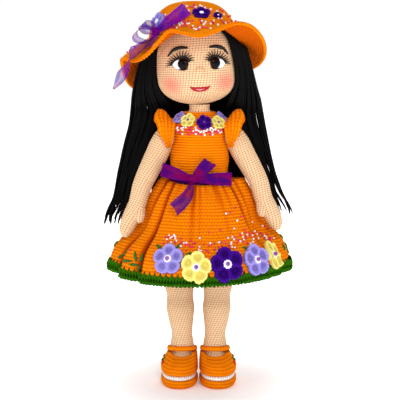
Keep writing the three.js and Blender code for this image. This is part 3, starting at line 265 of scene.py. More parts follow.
# Shoes
SOLE_THICKNESS = 0.009
WELT_THICKNESS = 0.0044
WELT_INSET = 0.0013
SHOE_HALF_WIDTH = 0.0196
SHOE_TOE = 0.036
SHOE_HEEL = 0.020
SHOE_SPREAD = 0.0203
UPPER_HEIGHT = 0.0216
UPPER_THICKNESS = 0.0026
THROAT_DEPTH = 0.0039
THROAT_HALF_WIDTH = 0.0115
THROAT_POWER = 0.7
SHOE_FULLNESS_SHARE = 0.88
STRAP_COLUMNS = 130
STRAP_ROUNDING_SHARE = 0.3
STRAP_HEIGHT = 0.0053
COLLAR_HALF_WIDTH = 0.0159
COLLAR_DROP = 0.005

# Hat
HAT_TOP_ABOVE_HEAD = 0.0084
HAT_SHIFT = -0.0065
CROWN_HEIGHT = 0.0375
CROWN_RADIUS = 0.046
BRIM_REACH = 0.029
BRIM_TURN_IN_SHARE = 0.22
BRIM_EDGE_RADIUS = 0.0017
BRIM_EDGE_COLUMNS = 600
BRIM_EDGE_SIDES = 14
BRIM_EDGE_INNER_SHARE = 0.93
BRIM_EDGE_SINK_SHARE = 0.4
BRIM_KNOT_COLUMNS = 4
BRIM_KNOT_SHARE = 0.22
CROWN_END_SHARE = 0.58
HAT_START_SHARE = 0.006
CROWN_STEPS = 40
HAT_THICKNESS = 0.0034
HAT_BASE = CHIN + HEAD_HEIGHT + HAT_TOP_ABOVE_HEAD - CROWN_HEIGHT

# Light: the world's, the backdrop's as the camera sees it, and lamps by place, size in metres and watts
WORLD_LIGHT = 0.6
BACKDROP_LIGHT = 1.02
LAMPS = [
    ("key", (0.35, -1.8, 1.2), 0.6, 14),
    ("fill", (-1.4, -1.0, 0.8), 1.1, 4),
    ("rim", (0.2, 1.2, 1.3), 0.9, 6),
]
FLOOR_HALF_WIDTH = 6.0
# The floor glows to stay white far off; its glow is weaker near the feet, a painted shade round them, between
# these distances in metres
FLOOR_GLOW = 0.85
FLOOR_NEAR_GLOW = "#6A6A6A"
FLOOR_NEAR_REACH = (0.05, 0.2)

# Flowers, leaves and beads
FLOWER_THICKNESS = 0.0034
FLOWER_RAISE = 0.0012
SKIRT_FLOWER_RADIUS = 0.0152
NECK_FLOWER_RADIUS = 0.0068
HAT_FLOWER_RADIUS = 0.0092
BUTTON_SHARE = 0.26
BUTTON_THICKNESS = 0.0012
PEARL_RADIUS = 0.0022
LEAF_HALF_LENGTH = 0.005
LEAF_HALF_WIDTH = 0.0015
BEAD_RADIUS = 0.00115
BEAD_SEED = 11
WHITE_BEAD_SHARE = 0.4
BEAD_LEAST_SHARE = 0.9
BEAD_UNEVEN_SHARE = 0.25
BEAD_LIFT_SHARE = 0.7
BEAD_LAST_SHARE = 0.985
BEAD_SQUASH_SHARE = 0.85
PEARL_LIFT_SHARE = 0.75
PEARL_SQUASH_SHARE = 0.9
BALL_POLE_ANGLE = 0.3
BALL_RINGS = 5
BALL_SIDES = 9
# Where leaves and beads are looked for: half a turn either way from the front, and shares down
LEAF_RANGE = (math.radians(118), (0.6, 1))
SKIRT_BEAD_RANGE = (math.radians(110), (0.3, 1))
BODICE_BEAD_RANGE = (math.radians(88), (0, 1))
HAT_BEAD_RANGE = (math.radians(95), (0.15, 0.97))
PLACE_TURNS = 361
PLACE_SHARES = 201
LEAF_LAST_SHARE = 0.97
LEAF_SIDES = 12
LEAF_RINGS = 11
BEAD_APART_PIXELS = 2.1
BEAD_STEP_PIXELS = 0.25
BEAD_STRAY_PIXELS = 0.2
# Petals: how far out their middles lie, their half length and half width, and the ridges round each
PETALS = 5
PETAL_CENTRE_SHARE = 0.575
PETAL_LENGTH_SHARE = 0.44
PETAL_WIDTH_SHARE = 0.55
PETAL_RIDGES = 13
PETAL_RIDGE_SHARE = 0.11
PETAL_SIDES = 34
RING_STITCHES = 12
RING_KNOT_SHARE = 0.06
BUTTON_SIDES = 24
# How high a button or pearl lies in its flower
BUTTON_SEAT_SHARE = 0.85
PEARL_SEAT_SHARE = 0.8
PEARL_SINK_SHARE = 0.6
NECK_PEARL_SHARE = 0.6

# Ribbons
RIBBON_HALF_WIDTH = 0.0068
RIBBON_RIPPLE = 0.0005
KNOT_HALF_WIDTH = 0.005
# A knot's half width, half depth and half height
KNOT_SHARES = (0.8, 0.55, 0.85)
KNOT_ROWS = 26
KNOT_COLUMNS = 13
BOW_STAND_OFF = 0.0042
RIBBON_STEPS = 44
LONG_RIBBON_STEPS = 60
SHORT_RIBBON_STEPS = 30
RIBBON_COLUMNS = 15
LOOP_END_SHARE = 0.4
LOOP_BELLY_SHARE = 0.55
WAIST_BOW_SEED = 3
HAT_BOW_SEED = 5
WAIST_KNOT_SHARE = -1.05
WAIST_TAIL_SLANT = 0.7
WAIST_TAIL_ACROSS = (0.72, 0, -0.69)
WAIST_TAIL_NOTCH = 0.3
HAT_FLAP_NOTCH = 0.2
SASH_KNOT_RISE_SHARE = 0.65
HAT_KNOT_TURN = math.radians(-42)
SASH_THICKNESS = 0.0015
SASH_CREASE = 0.0005
SASH_SEAT_SHARE = 0.6
SASH_COLUMNS = 221
SASH_ROWS = 13
# Waves in the sash: short and long folds round it and pleats up it, then those of its edges
SASH_FOLDS = (23, 5, 14)
SASH_EDGE_WAVES = (37, 59)

# Face
NOSE_HEIGHT = 0.0338
NOSE_RADIUS = 0.0056
NOSE_RISE = 0.0027
EYE_SPACING = 0.0322
EYE_HEIGHT = 0.0425
EYE_RADIUS = 0.0058
EYE_BULGE = 0.0032
EYE_WHITE_OUT = 0.0049
EYE_WHITE_UP = -0.0007
EYE_WHITE_HALF_WIDTH = 0.0056
EYE_WHITE_HALF_HEIGHT = 0.0047
EYE_WHITE_COLUMNS = 36
# How much longer and narrower an eye's white is towards its outer corner
EYE_WHITE_POINT_SHARES = (0.22, 0.45)
# Rings of an eye's white from its middle to its edge: reach outward and height
eye_white_shares = [[0.04, 1], [0.5, 1], [0.88, 0.95], [1, 0.6], [1, -0.8]]
WHITE_THICKNESS = 0.001
LID_RADIUS = 0.0066
LID_STRETCH_SHARE = 0.62
LID_THREAD_RADIUS = 0.00115
LASH_LENGTH = 0.0052
LASH_RADIUS = 0.00085
LASH_FAN = math.radians(14)
LASH_BEND_SHARE = 0.12
# How far the root, middle and tip of a lash stand off the face, in radii of the lid's thread
LASH_LIFTS = (0.3, 1.1, 2.2)
# Round the eye from its inner corner: the upper lid, the lower lid and each lash
LID_DEGREES = range(165, -16, -15)
LOWER_LID_DEGREES = range(-20, -141, -20)
LOWER_LID_SHARE = 0.9
LOWER_LID_RISE_SHARE = 0.93
LASH_DEGREES = [158, 146, 133, 120, 107, 94, 81, 68, 55, 43, 31, 20, 9, -2]
LASH_SIDES = 5
LASH_STEPS = 7
THREAD_SIDES = 8
THREAD_STEPS = 22
LONG_THREAD_STEPS = 34
BROW_SPACING = 0.041
BROW_HEIGHT = 0.0546
BROW_HALF_SPAN = 0.0099
BROW_ARCH = 0.0042
MOUTH_HEIGHT = 0.018
MOUTH_HALF_SPAN = 0.0104
MOUTH_SAG = 0.0026
BLUSH_PLACES = [(-0.0285, 0.0215), (0.0275, 0.0225)]
BLUSH_RADIUS = 0.0185
BLUSH_STRENGTH = 0.62
# Where the black base under the hair starts and ends, back and up the head
HAIR_COVER = (0.304, 0.31)
HAIR_COVER_SLOPE = 0.9

# Hair
HAIR_SEED = 7
HAIR_STRANDS = 350
HAIR_BACK_STRANDS = 216
HAIR_OUT = 0.102
HAIR_TOP = 0.385
HAIR_DROP = {-1: 0.221, 1: 0.2105}
HAIR_RADIUS = 0.00095
HAIR_UNEVEN_SHARE = 0.14
HAIR_SWAY = 0.0012
HAIR_FRAY = 0.006
HAIR_BUNCHES = 12
HAIR_PARTING_SHARE = 0.6
HAIR_UNDER_HAT = 0.0035
UNDER_HAT_SHARE = 1.05
HAIR_STAND_OFF_SHARE = 0.5
# Hair that stands off the skirt follows places further down it: at the waist, and at the hem
HAIR_OFF_SKIRT_SHARES = (0.27, 1.17)
HAIR_OVER_SKIRT_SHARE = 1.15
HAIR_BACK_END = 0.172
HAIR_BACK_UNEVEN = 0.016
HAIR_BACK_TURN = math.radians(78)
HAIR_BACK_HALF_WIDTH = 0.056
HAIR_BACK_THICKNESS = 0.009
HAIR_BACK_LENGTH = 0.124
HAIR_BACK_GAP = 0.0022
HAIR_BACK_STRAY_SHARE = 0.02
HAIR_BACK_SWAY_SHARE = 0.7
HAIR_FIRST_LAYER_RADII = 1.5
HAIR_LAYER_RADII = 2.2
HAIR_NECK_SHARE = 0.76
HAIR_OPEN_SHARE = 0.4
HAIR_END_THICKNESS_SHARE = 0.6
# How high on the head the back hair leaves it, and over how much of the head's height
HAIR_LEAVE_SHARE = 0.24
HAIR_LEAVING_SHARE = 0.34
HEAD_POLE_SHARE = 0.02
HEAD_TIP_SHARE = 0.004
# How far from the head strands lie, in radii of theirs: the nearest, and how much further the others
HAIR_NEAR_RADII = 1.2
HAIR_FAR_RADII = 3.5
HAIR_FRAY_START_SHARE = 0.72
HAIR_FRAY_POWER = 1.6
HAIR_GATHER_SHARE = 0.7
HAIR_INWARD_POWER = 1.1
HAIR_TIP_SHARE = 0.02
HAIR_TAPER_SHARE = 1 / 30
# Every so many strands lies in front of the others, or along an edge
HAIR_FRONT_EVERY = 5
HAIR_FRONT_DEPTH_SHARE = 0.02
HAIR_EDGE_EVERY = 7
HAIR_STEPS = 44
HAIR_BACK_STEPS = 40
HAIR_SIDES = 6
HAIR_BACK_LAYERS = 3

# Camera: its place, the height on the doll that it looks at, and its lens
CAMERA_DISTANCE = 1.25
CAMERA_HEIGHT = 0.36
AIM_HEIGHT = 0.20
SENSOR_MILLIMETRES = 36
LENS_MILLIMETRES = 108.46
SHIFT_X_SHARE = 0.00125
SHIFT_Y_SHARE = -0.0135
IMAGE_PIXELS = 400


class SmoothTable:
    """Rows of [place, value, ...] read as smooth curves through every row."""

    def __init__(self, rows):
        table = np.array(rows, float)
        self.places = table[:, 0]
        self.values = table[:, 1:]

    def __call__(self, place):
        at = np.clip(np.asarray(place, float), self.places[0], self.places[-1])
        last = len(self.places) - 1
        high = np.clip(np.searchsorted(self.places, at, side="right"), 1, last)
        low = high - 1
        start, end = self.places[low], self.places[high]
        before = np.where(low == 0, high, low - 1)
        after = np.where(high == last, low, np.minimum(high + 1, last))
        place_before = np.where(low == 0, 2 * start - end, self.places[before])
        place_after = np.where(high == last, 2 * end - start, self.places[after])
        half = (end - start) / 2
        pull_before = half / (start - place_before)
        pull_after = half / (place_after - end)
        p = (at - start) / (end - start)
        weights = (
            -pull_before * p**3 + 2 * pull_before * p**2 - pull_before * p,
            (1 + pull_before) * p**3 - (1.5 + 2 * pull_before) * p**2 - (0.5 - pull_before) * p + 1,
            -(1 + pull_after) * p**3 + (1.5 + pull_after) * p**2 + 0.5 * p,
            pull_after * p**3 - pull_after * p**2,
        )
        total = 0
        for weight, index in zip(weights, (before, low, high, after)):
            total = total + weight[..., None] * self.values[index]
        return [total[..., column] for column in range(total.shape[-1])]


def lerp(a, b, share):
    return a + (b - a) * share


def ring_turns(count):
    return np.linspace(0, 2 * math.pi, count, endpoint=False)


def signed(degrees):
    """Degrees brought between -180 and 180."""
    return degrees - 360 * np.round(degrees / 360)


def stack(x, y, z):
    """Points from arrays of their coordinates."""
    return np.stack(np.broadcast_arrays(x, y, z), axis=-1)


def unit(vectors):
    return vectors / np.maximum(np.linalg.norm(vectors, axis=-1, keepdims=True), 1e-12)


def transformed(points, matrix):
    turn = np.array(matrix)
    return points @ turn[:3, :3].T + turn[:3, 3]


# Shader maths

def colour(code):
    """Linear colour from a hexadecimal code."""
    parts = [int(code[i:i + 2], 16) / 255 for i in (1, 3, 5)]
    linear = [p / 12.92 if p <= 0.04045 else ((p + 0.055) / 1.055) ** 2.4 for p in parts]
    return (*linear, 1)


class Field:
    """A value that varies over a surface: a node's socket that takes part in sums."""

    def __init__(self, paint, socket):
        self.paint = paint
        self.socket = socket

    def maths(self, operation, *others):
        inputs = dict(enumerate((self, *others)))
        node = self.paint.node("ShaderNodeMath", {"operation": operation}, inputs)
        return Field(self.paint, node.outputs[0])

    def __add__(self, other):
        return self.maths("ADD", other)

    def __sub__(self, other):
        return self.maths("SUBTRACT", other)

    def __rsub__(self, other):
        return (self * -1) + other

    def __mul__(self, other):
        return self.maths("MULTIPLY", other)

    def __truediv__(self, other):
        return self.maths("DIVIDE", other)

    __radd__ = __add__
    __rmul__ = __mul__

    def fract(self):
        return self.maths("FRACT")

    def floor(self):
        return self.maths("FLOOR")

    def size(self):
        return self.maths("ABSOLUTE")

    def sine(self):
        return self.maths("SINE")

    def cosine(self):
        return self.maths("COSINE")

    def root(self):
        return self.at_least(0).maths("SQRT")

    def at_least(self, other):
        return self.maths("MAXIMUM", other)

    def at_most(self, other):
        return self.maths("MINIMUM", other)

    def clamped(self):
        return self.at_least(0).at_most(1)

    def between(self, low, high):
        """0 below low, 1 above high, and smooth between them."""
        share = ((self - low) / (high - low)).clamped()
        return share * share * (3 - 2 * share)


class Paint:
    """A material whose colour, roughness and bump are drawn by nodes."""

    def __init__(self, name, roughness, **constants):
        self.material = bpy.data.materials.new(name)
        self.material.use_nodes = True
        self.tree = self.material.node_tree
        self.shader = self.tree.nodes["Principled BSDF"]
        self.shader.inputs["Roughness"].default_value = roughness
        for key, value in constants.items():
            self.shader.inputs[key.replace("_", " ")].default_value = value

    def node(self, kind, settings=None, inputs=None):
        made = self.tree.nodes.new(kind)
        for key, value in (settings or {}).items():
            setattr(made, key, value)
        for key, value in (inputs or {}).items():
            self.feed(made.inputs[key], value)
        return made

    def feed(self, socket, value):
        if isinstance(value, Field):
            self.tree.links.new(value.socket, socket)
        else:
            socket.default_value = value

    def coordinates(self, output):
        node = self.node("ShaderNodeTexCoord")
        return Field(self, node.outputs[output])

    def split(self, vector):
        node = self.node("ShaderNodeSeparateXYZ", inputs={0: vector})
        return [Field(self, node.outputs[axis]) for axis in range(3)]

    def joined(self, x, y, z=0.0):
        node = self.node("ShaderNodeCombineXYZ", inputs={0: x, 1: y, 2: z})
        return Field(self, node.outputs[0])

    def stitch_place(self):
        """Place in the stitch grid: stitches along the row, and rows."""
        node = self.node("ShaderNodeUVMap", {"uv_map": "Stitch"})
        along, up, _ = self.split(Field(self, node.outputs[0]))
        return along, up

    def shade_place(self):
        node = self.node("ShaderNodeUVMap", {"uv_map": "Shade"})
        return self.split(Field(self, node.outputs[0]))[0]

    def noise(self, scale, detail=2.0, vector=None):
        where = vector or self.coordinates("Object")
        node = self.node("ShaderNodeTexNoise", inputs={"Vector": where, "Scale": scale, "Detail": detail})
        return Field(self, node.outputs["Fac"])

    def mix(self, share, a, b):
        node = self.node("ShaderNodeMix", {"data_type": "RGBA"}, {0: share, 6: a, 7: b})
        return Field(self, node.outputs[2])

    def bump(self, height, depth, strength):
        inputs = {"Height": height, "Distance": depth, "Strength": strength}
        return Field(self, self.node("ShaderNodeBump", inputs=inputs).outputs[0])

    def finish(self, base=None, normal=None, roughness=None, alpha=None, glow=None):
        fields = {
            "Base Color": base, "Normal": normal, "Roughness": roughness, "Alpha": alpha,
            "Emission Color": glow,
        }
        for key, value in fields.items():
            if value is not None:
                self.feed(self.shader.inputs[key], value)
        return self.material


def strand_height(along, up):
    """Height of one stitch over a unit cell: two strands that spread upward like a V."""
    across = np.abs(along % 1 - 0.5)
    rise = (up + STRAND_SHARES["wave"] * np.cos(2 * math.pi * along)) % 1
    middle = STRAND_SHARES["start"] + STRAND_SHARES["lean"] * rise
    past = (across - middle) / STRAND_SHARES["half_width"]
    strand = np.sqrt(np.clip(1 - past**2, 0, 1))
    crown = np.sqrt(np.clip(np.sin(math.pi * rise), 0, 1))
    return strand, crown


def crochet(name, colours, row_share, hole_shade_share, row_shade_share,
            lean=ROW_LEAN, stagger=0.0, tint=None, ribs=0.0):
    """Crocheted yarn: V shaped stitches, with painted shade in a dark dash between them and a line under each
    row.
    """
    light, deep, hole_shade = [colour(code) for code in colours]
    paint = Paint(name, 0.95, Specular_IOR_Level=0.02)
    along, up = paint.stitch_place()
    up = up + (paint.noise(ROW_WOBBLE_SCALE, 1.0) - 0.5) * ROW_WOBBLE
    along = along + (paint.noise(STITCH_WOBBLE_SCALE, 1.0) - 0.5) * STITCH_WOBBLE
    leaned = along + up * lean + (up + 0.5 * STRAND_SHARES["wave"]).floor() * stagger
    across = (leaned.fract() - 0.5).size()
    rise = (up + (leaned * 2 * math.pi).cosine() * STRAND_SHARES["wave"]).fract()
    past = (across - (STRAND_SHARES["start"] + STRAND_SHARES["lean"] * rise)) / STRAND_SHARES["half_width"]
    strand = (1 - past * past).clamped()
    crown = (rise * math.pi).sine().clamped()
    height = strand * (1 - row_share) + crown * row_share
    ply = (along * PLY_TURNS[0] + up * PLY_TURNS[1]).sine() * 0.5 + 0.5
    fuzz = paint.noise(FUZZ_SCALE, 3.0)
    patch = paint.noise(PATCH_SCALE, 2.0)
    dash = (0.5 - across).between(0.26, 0.06) * (rise - 0.36).size().between(0.36, 0.1)
    line = crown.between(0.62, 0.05)
    # Painted shade: deep where the stitch lies low, light on its raised strands, and the dark of the holes
    # under each row
    shade = paint.mix(height.between(0.1, 0.8), deep, light)
    shade = paint.mix(line * row_shade_share, shade, hole_shade)
    if ribs:
        # Painted shade in the grooves between the ribs, in patches
        rib = (up * math.pi + 0.4).cosine().size().between(0.8, 1.0)
        rib = rib * paint.noise(RIB_SCALE, 1.0).between(0.3, 0.6)
        shade = paint.mix(rib * ribs, shade, hole_shade)
    # Painted shade: the dark of the holes in the dash between stitches
    shade = paint.mix(dash * hole_shade_share, shade, hole_shade)
    shade = paint.mix(patch.between(0.35, 0.75) * 0.2, shade, deep)
    shade = paint.mix(fuzz.between(0.45, 0.8) * 0.2, shade, light)
    if tint:
        shade = tint(paint, shade)
    relief = paint.bump(height + ply * 0.14 - dash * 0.6 + fuzz * 0.25, YARN_BUMP, 0.8)
    return paint.finish(base=shade, normal=relief)


# Meshes

def mesh_object(name, points, faces, material, corners=None):
    """A smooth mesh from arrays, with the stitch grid's coordinates at its corners if it has them."""
    data = bpy.data.meshes.new(name)
    data.from_pydata(points.tolist(), [], faces.tolist() if isinstance(faces, np.ndarray) else faces)
    if corners is not None:
        layer = data.uv_layers.new(name="Stitch")
        layer.data.foreach_set("uv", np.asarray(corners, np.float32).ravel())
    data.materials.append(material)
    data.polygons.foreach_set("use_smooth", np.ones(len(data.polygons), bool))
    data.update()
    thing = bpy.data.objects.new(name, data)
    bpy.context.scene.collection.objects.link(thing)
    return thing


def add_shade(thing, shares):
    """A second map on a piece: how much painted shade each of its points gets, in its folds and on its
    undersides.
    """
    data = thing.data
    order = np.empty(len(data.loops), np.int32)
    data.loops.foreach_get("vertex_index", order)
    layer = data.uv_layers.new(name="Shade")
    layer.data.foreach_set("uv", np.repeat(shares[order], 2).astype(np.float32))


def grid_faces(rows, columns, closed):
    """Corner indices of the quads of a grid, its columns running round where it is closed."""
    across = columns if closed else columns - 1
    row, column = np.meshgrid(np.arange(rows - 1) * columns, np.arange(across), indexing="ij")
    after = (column + 1) % columns
    corners = [row + column, row + after, row + columns + after, row + columns + column]
    return np.stack(corners, axis=-1).reshape(-1, 4)


def shell_faces(rows, columns, closed=True):
    """Quads of a grid whose last row also joins its first."""
    column = np.arange(columns if closed else columns - 1)
    after = (column + 1) % columns
    last = (rows - 1) * columns
    closing = np.stack([last + column, last + after, after, column], axis=-1)
    return np.concatenate([grid_faces(rows, columns, closed), closing])


def grid_corners(left, right, top, bottom):
    """Coordinates at the corners of a grid's quads, from the sides of its columns and of its rows."""
    top, bottom = top[:, None], bottom[:, None]
    pairs = ((left, top), (right, top), (right, bottom), (left, bottom))
    corners = [np.stack(np.broadcast_arrays(*pair), axis=-1) for pair in pairs]
    return np.stack(corners, axis=2).reshape(-1, 2)


def grid_normals(points, closed):
    """Unit normals of a grid whose rows go down and whose columns go round to the right."""
    if closed:
        around = np.roll(points, -1, axis=1) - np.roll(points, 1, axis=1)
    else:
        around = np.gradient(points, axis=1)
    down = np.gradient(points, axis=0)
    return unit(np.cross(down, around))


def row_shares(surface, span, row_height, samples):
    """Places down a surface at even lengths, with the number of rows between them."""
    places = np.linspace(span[0], span[1], PATH_STEPS + 1)
    path = surface(ring_turns(PATH_TURNS)[None, :], places[:, None])
    lengths = np.linalg.norm(np.diff(path, axis=0), axis=-1).mean(axis=1)
    run = np.concatenate([[0], np.cumsum(lengths)])
    rows = max(int(round(run[-1] / row_height)), 1)
    even = np.linspace(0, run[-1], rows * samples + 1)
    return np.interp(even, run, places), rows


class Tube:
    """A stitched tube over surface(turn, place), its rows going down."""

    def __init__(self, surface, span, columns, relief, stitch,
                 samples=STITCH_SAMPLES, lean=ROW_LEAN, stagger=0.0, row_pinch=ROW_PINCH_SHARE):
        stitch_width, row_height = stitch
        self.places, self.rows = row_shares(surface, span, row_height, samples)
        self.base = surface(ring_turns(columns)[None, :], self.places[:, None])
        self.normals = grid_normals(self.base, True)
        self.base = self.base - self.normals * relief * INWARD_SHARE
        self.samples = samples
        self.columns = columns
        round_lengths = np.linalg.norm(np.roll(self.base, -1, axis=1) - self.base, axis=-1).sum(axis=1)
        middle = round_lengths[samples // 2::samples][:self.rows]
        self.counts = np.maximum(np.round(middle / stitch_width), 3)
        row = np.arange(len(self.places)) / samples
        count = self.counts[np.minimum(row.astype(int), self.rows - 1)]
        shift = (lean * row + stagger * np.floor(row))[:, None]
        along = np.arange(columns)[None, :] / columns * count[:, None] + shift
        strand, crown = strand_height(along, np.broadcast_to(row[:, None], along.shape))
        self.height = strand * (1 - row_pinch) + crown * row_pinch
        self.points = self.base + self.normals * (relief * self.height)[..., None]

    def corners(self):
        """Stitch coordinates at the corners of each quad, each row of quads with its own count."""
        row = np.arange(len(self.places) - 1)
        column = np.arange(self.columns)[None, :]
        count = self.counts[np.minimum(row // self.samples, self.rows - 1)][:, None]
        left = column / self.columns * count
        right = (column + 1) / self.columns * count
        return grid_corners(left, right, row / self.samples, (row + 1) / self.samples)


def capped(points, faces, corners, columns, start, end):
    """Closes the two ends of a tube with fans of triangles, in a list of faces and corners."""
    all_points = list(points)
    all_faces = faces.tolist()
    all_corners = corners.tolist()
    for ring, forward in ((start, True), (end, False)):
        hub = len(all_points)
        all_points.append(points[ring:ring + columns].mean(axis=0))
        for column in range(columns):
            after = (column + 1) % columns
            a, b = ring + column, ring + after
            all_faces.append([hub, b, a] if forward else [hub, a, b])
            all_corners += [[0, 0], [1, 0], [0, 1]]
    return np.array(all_points), all_faces, np.array(all_corners)


def stuffed(name, tube, material):
    """A stuffed piece: a closed stitched tube."""
    rows = len(tube.places)
    faces = grid_faces(rows, tube.columns, True)
    last = (rows - 1) * tube.columns
    points, faces, corners = capped(tube.points.reshape(-1, 3), faces, tube.corners(), tube.columns, 0, last)
    return mesh_object(name, points, faces, material, corners)


def cloth(name, tube, thickness, material):
    """A stitched shell: the tube outside, a plainer copy inside, and its edges closed between them."""
    keep = np.arange(0, len(tube.places), tube.samples)[::-1]
    inner = tube.base[keep] - tube.normals[keep] * thickness
    points = np.concatenate([tube.points, inner]).reshape(-1, 3)
    faces = shell_faces(len(tube.places) + len(keep), tube.columns)
    column = np.arange(tube.columns) / tube.columns * tube.counts.mean()
    step = tube.counts.mean() / tube.columns
    top = tube.rows - np.arange(len(keep) + 1)
    inner_corners = grid_corners(column, column + step, top, top - 1)
    return mesh_object(name, points, faces, material, np.concatenate([tube.corners(), inner_corners]))


def settle(piece, body, slot, *nodes):
    """Joins a piece to its body and hides the solids of the model that it stands for; its slot is not used.
    """
    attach(piece, body)
    if nodes:
        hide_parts(*nodes)
    return piece


# Body

trunk_shares = SmoothTable([
    [LEG_LENGTH, 0.45 * HIP_HALF_WIDTH, 0.5 * HIP_HALF_DEPTH],
    [LEG_LENGTH + 0.1 * HIP_RISE, 0.8 * HIP_HALF_WIDTH, 0.8 * HIP_HALF_DEPTH],
    [LEG_LENGTH + 0.27 * HIP_RISE, 0.97 * HIP_HALF_WIDTH, 0.95 * HIP_HALF_DEPTH],
    [LEG_LENGTH + 0.48 * HIP_RISE, HIP_HALF_WIDTH, HIP_HALF_DEPTH],
    [LEG_LENGTH + 0.75 * HIP_RISE, 0.92 * HIP_HALF_WIDTH, 0.92 * HIP_HALF_DEPTH],
    [WAIST, WAIST_HALF_WIDTH, WAIST_HALF_DEPTH],
    [WAIST + 0.25 * CHEST_RISE, WAIST_HALF_WIDTH, WAIST_HALF_DEPTH],
    [WAIST + 0.5 * CHEST_RISE, CHEST_HALF_WIDTH, CHEST_HALF_DEPTH],
    [WAIST + 0.75 * CHEST_RISE, 0.97 * CHEST_HALF_WIDTH, 0.99 * CHEST_HALF_DEPTH],
    [SHOULDER, 0.955 * CHEST_HALF_WIDTH, 0.96 * CHEST_HALF_DEPTH],
    [SHOULDER + 0.35 * SHOULDER_RISE, 0.915 * CHEST_HALF_WIDTH, 0.9 * CHEST_HALF_DEPTH],
    [SHOULDER + 0.65 * SHOULDER_RISE, 0.8 * CHEST_HALF_WIDTH, 0.78 * CHEST_HALF_DEPTH],
    [SHOULDER + 0.87 * SHOULDER_RISE, 0.6 * CHEST_HALF_WIDTH, 0.68 * CHEST_HALF_DEPTH],
    [NECK_BASE + 0.25 * NECK_RISE, 1.03 * NECK_RADIUS, 1.03 * NECK_RADIUS],
    [CHIN, NECK_RADIUS, NECK_RADIUS],
])


def trunk_surface(grow=0.0):
    def surface(turn, height):
        half_width, half_depth = trunk_shares(height)
        x = (half_width + grow) * np.sin(turn)
        y = -(half_depth + grow) * np.cos(turn)
        return stack(x, y, height)
    return surface


leg_shares = SmoothTable([
    [LEG_END_SHARE, 0.69, 0], [0.27, 0.72, 0], [0.345, 0.635, 0.05], [0.45, 0.765, 0.45],
    [0.54, 0.86, 0.65],
    [0.62, 0.805, 0.8], [0.69, 0.905, 1], [0.8, 0.955, 1.05], [0.92, 1, 1.1], [1.03, 0.95, 1],
    [1.1, 0.75, 0.95], [1.14, 0.42, 0.9],
])


def leg_surface(side):
    def surface(turn, share):
        radius_share, spread_share = leg_shares(share)
        radius = radius_share * LEG_RADIUS
        middle = STANCE_SHIFT + side * lerp(ANKLE_SPREAD, LEG_SPREAD, spread_share)
        return stack(middle + radius * np.sin(turn), -radius * np.cos(turn), share * LEG_LENGTH)
    return surface


def foot_surface(side):
    middle = STANCE_SHIFT + side * (ANKLE_SPREAD + SHOE_SPREAD) / 2
    base = SOLE_THICKNESS + WELT_THICKNESS

    def surface(turn, angle):
        round_share = np.sin(angle)
        height = base + FOOT_HEIGHT / 2 * (1 + np.cos(angle))
        x = middle + FOOT_HALF_WIDTH * round_share * np.sin(turn)
        y = -FOOT_FORWARD - FOOT_HALF_LENGTH * round_share * np.cos(turn)
        return stack(x, y, height)
    return surface


arm_shares = np.array([
    [0, 0, 0.94, 1], [0.09, 0, 0.94, 1], [0.17, 0.018, 0.97, 1], [0.27, 0.09, 1, 1],
    [0.365, 0.19, 0.985, 1],
    [0.512, 0.336, 0.92, 1], [0.65, 0.486, 0.84, 1], [0.748, 0.664, 0.78, 1], [0.84, 0.766, 0.78, 0.9],
    [0.93, 0.86, 0.7, 0.85], [0.985, 0.944, 0.52, 0.85], [1, 0.99, 0.22, 0.85],
])
ARM_REACH_SHARES = {-1: (1, 1), 1: (1.06, 0.93)}


def lean_forward(points):
    """Turns an arm forward about the shoulder joint, so that the hand rests on the skirt."""
    centre = Matrix.Translation((0, 0, SHOULDER))
    return transformed(points, centre @ Matrix.Rotation(-ARM_LEAN, 4, "X") @ centre.inverted())


def arm_centres(side):
    out_share, drop_share = ARM_REACH_SHARES[side]
    x = side * (SHOULDER_HALF_WIDTH + GAP + arm_shares[:, 0] * out_share * ARM_OUT)
    z = SHOULDER - arm_shares[:, 1] * drop_share * ARM_DROP
    return stack(x, 0 * x, z)


def arm_surface(side):
    centres = arm_centres(side)
    lengths = np.linalg.norm(np.diff(centres, axis=0), axis=1)
    run = np.concatenate([[0], np.cumsum(lengths)]) / lengths.sum()
    table = SmoothTable(np.column_stack([run, centres[:, 0], centres[:, 2], arm_shares[:, 2:]]))

    def surface(turn, share):
        x, z, radius_share, depth_share = table(share)
        x_after, z_after, *_ = table(share + SURFACE_STEP)
        x_before, z_before, *_ = table(share - SURFACE_STEP)
        run_x, run_z = x_after - x_before, z_after - z_before
        length = np.hypot(run_x, run_z)
        across_x, across_z = -run_z / length, run_x / length
        radius = radius_share * ARM_RADIUS
        wide = radius * np.sin(turn)
        deep = -radius * depth_share * np.cos(turn)
        return lean_forward(stack(x + across_x * wide, deep, z + across_z * wide))
    return surface


thumb_shares = SmoothTable([[0, 0.8], [0.25, 1], [0.5, 1], [0.75, 0.85], [0.94, 0.5], [1, 0.2]])


def thumb_surface(side):
    centres = arm_centres(side)
    start = centres[THUMB_ROOT_RING] - np.array([side * THUMB_ROOT_SHARE * ARM_RADIUS, 0, 0])
    end = centres[THUMB_TIP_RING] - np.array([side * ARM_RADIUS, 0, 0])

    def surface(turn, share):
        radius = thumb_shares(share)[0] * THUMB_RADIUS
        middle = start + (end - start) * np.asarray(share)[..., None]
        x = middle[..., 0] + radius * np.sin(turn)
        y = -THUMB_FORWARD * np.asarray(share) - radius * np.cos(turn)
        return lean_forward(stack(x, y, middle[..., 2]))
    return surface


# Head

head_shares = SmoothTable([
    [0, 1.42], [0.08, 1.33], [0.2, 1.2], [0.3, 1.09], [0.45, 1], [0.6, 0.99], [0.8, 1.04], [1, 1.06],
])
HEAD_ROTATION = Matrix.Rotation(HEAD_TILT, 4, "Y") @ Matrix.Rotation(HEAD_TURN, 4, "Z")
HEAD_PLACE = Matrix.Translation((0, 0, CHIN)) @ HEAD_ROTATION


def head_round(share):
    return 2 * np.sqrt(np.clip(share * (1 - share), 0, 1)) * head_shares(share)[0]


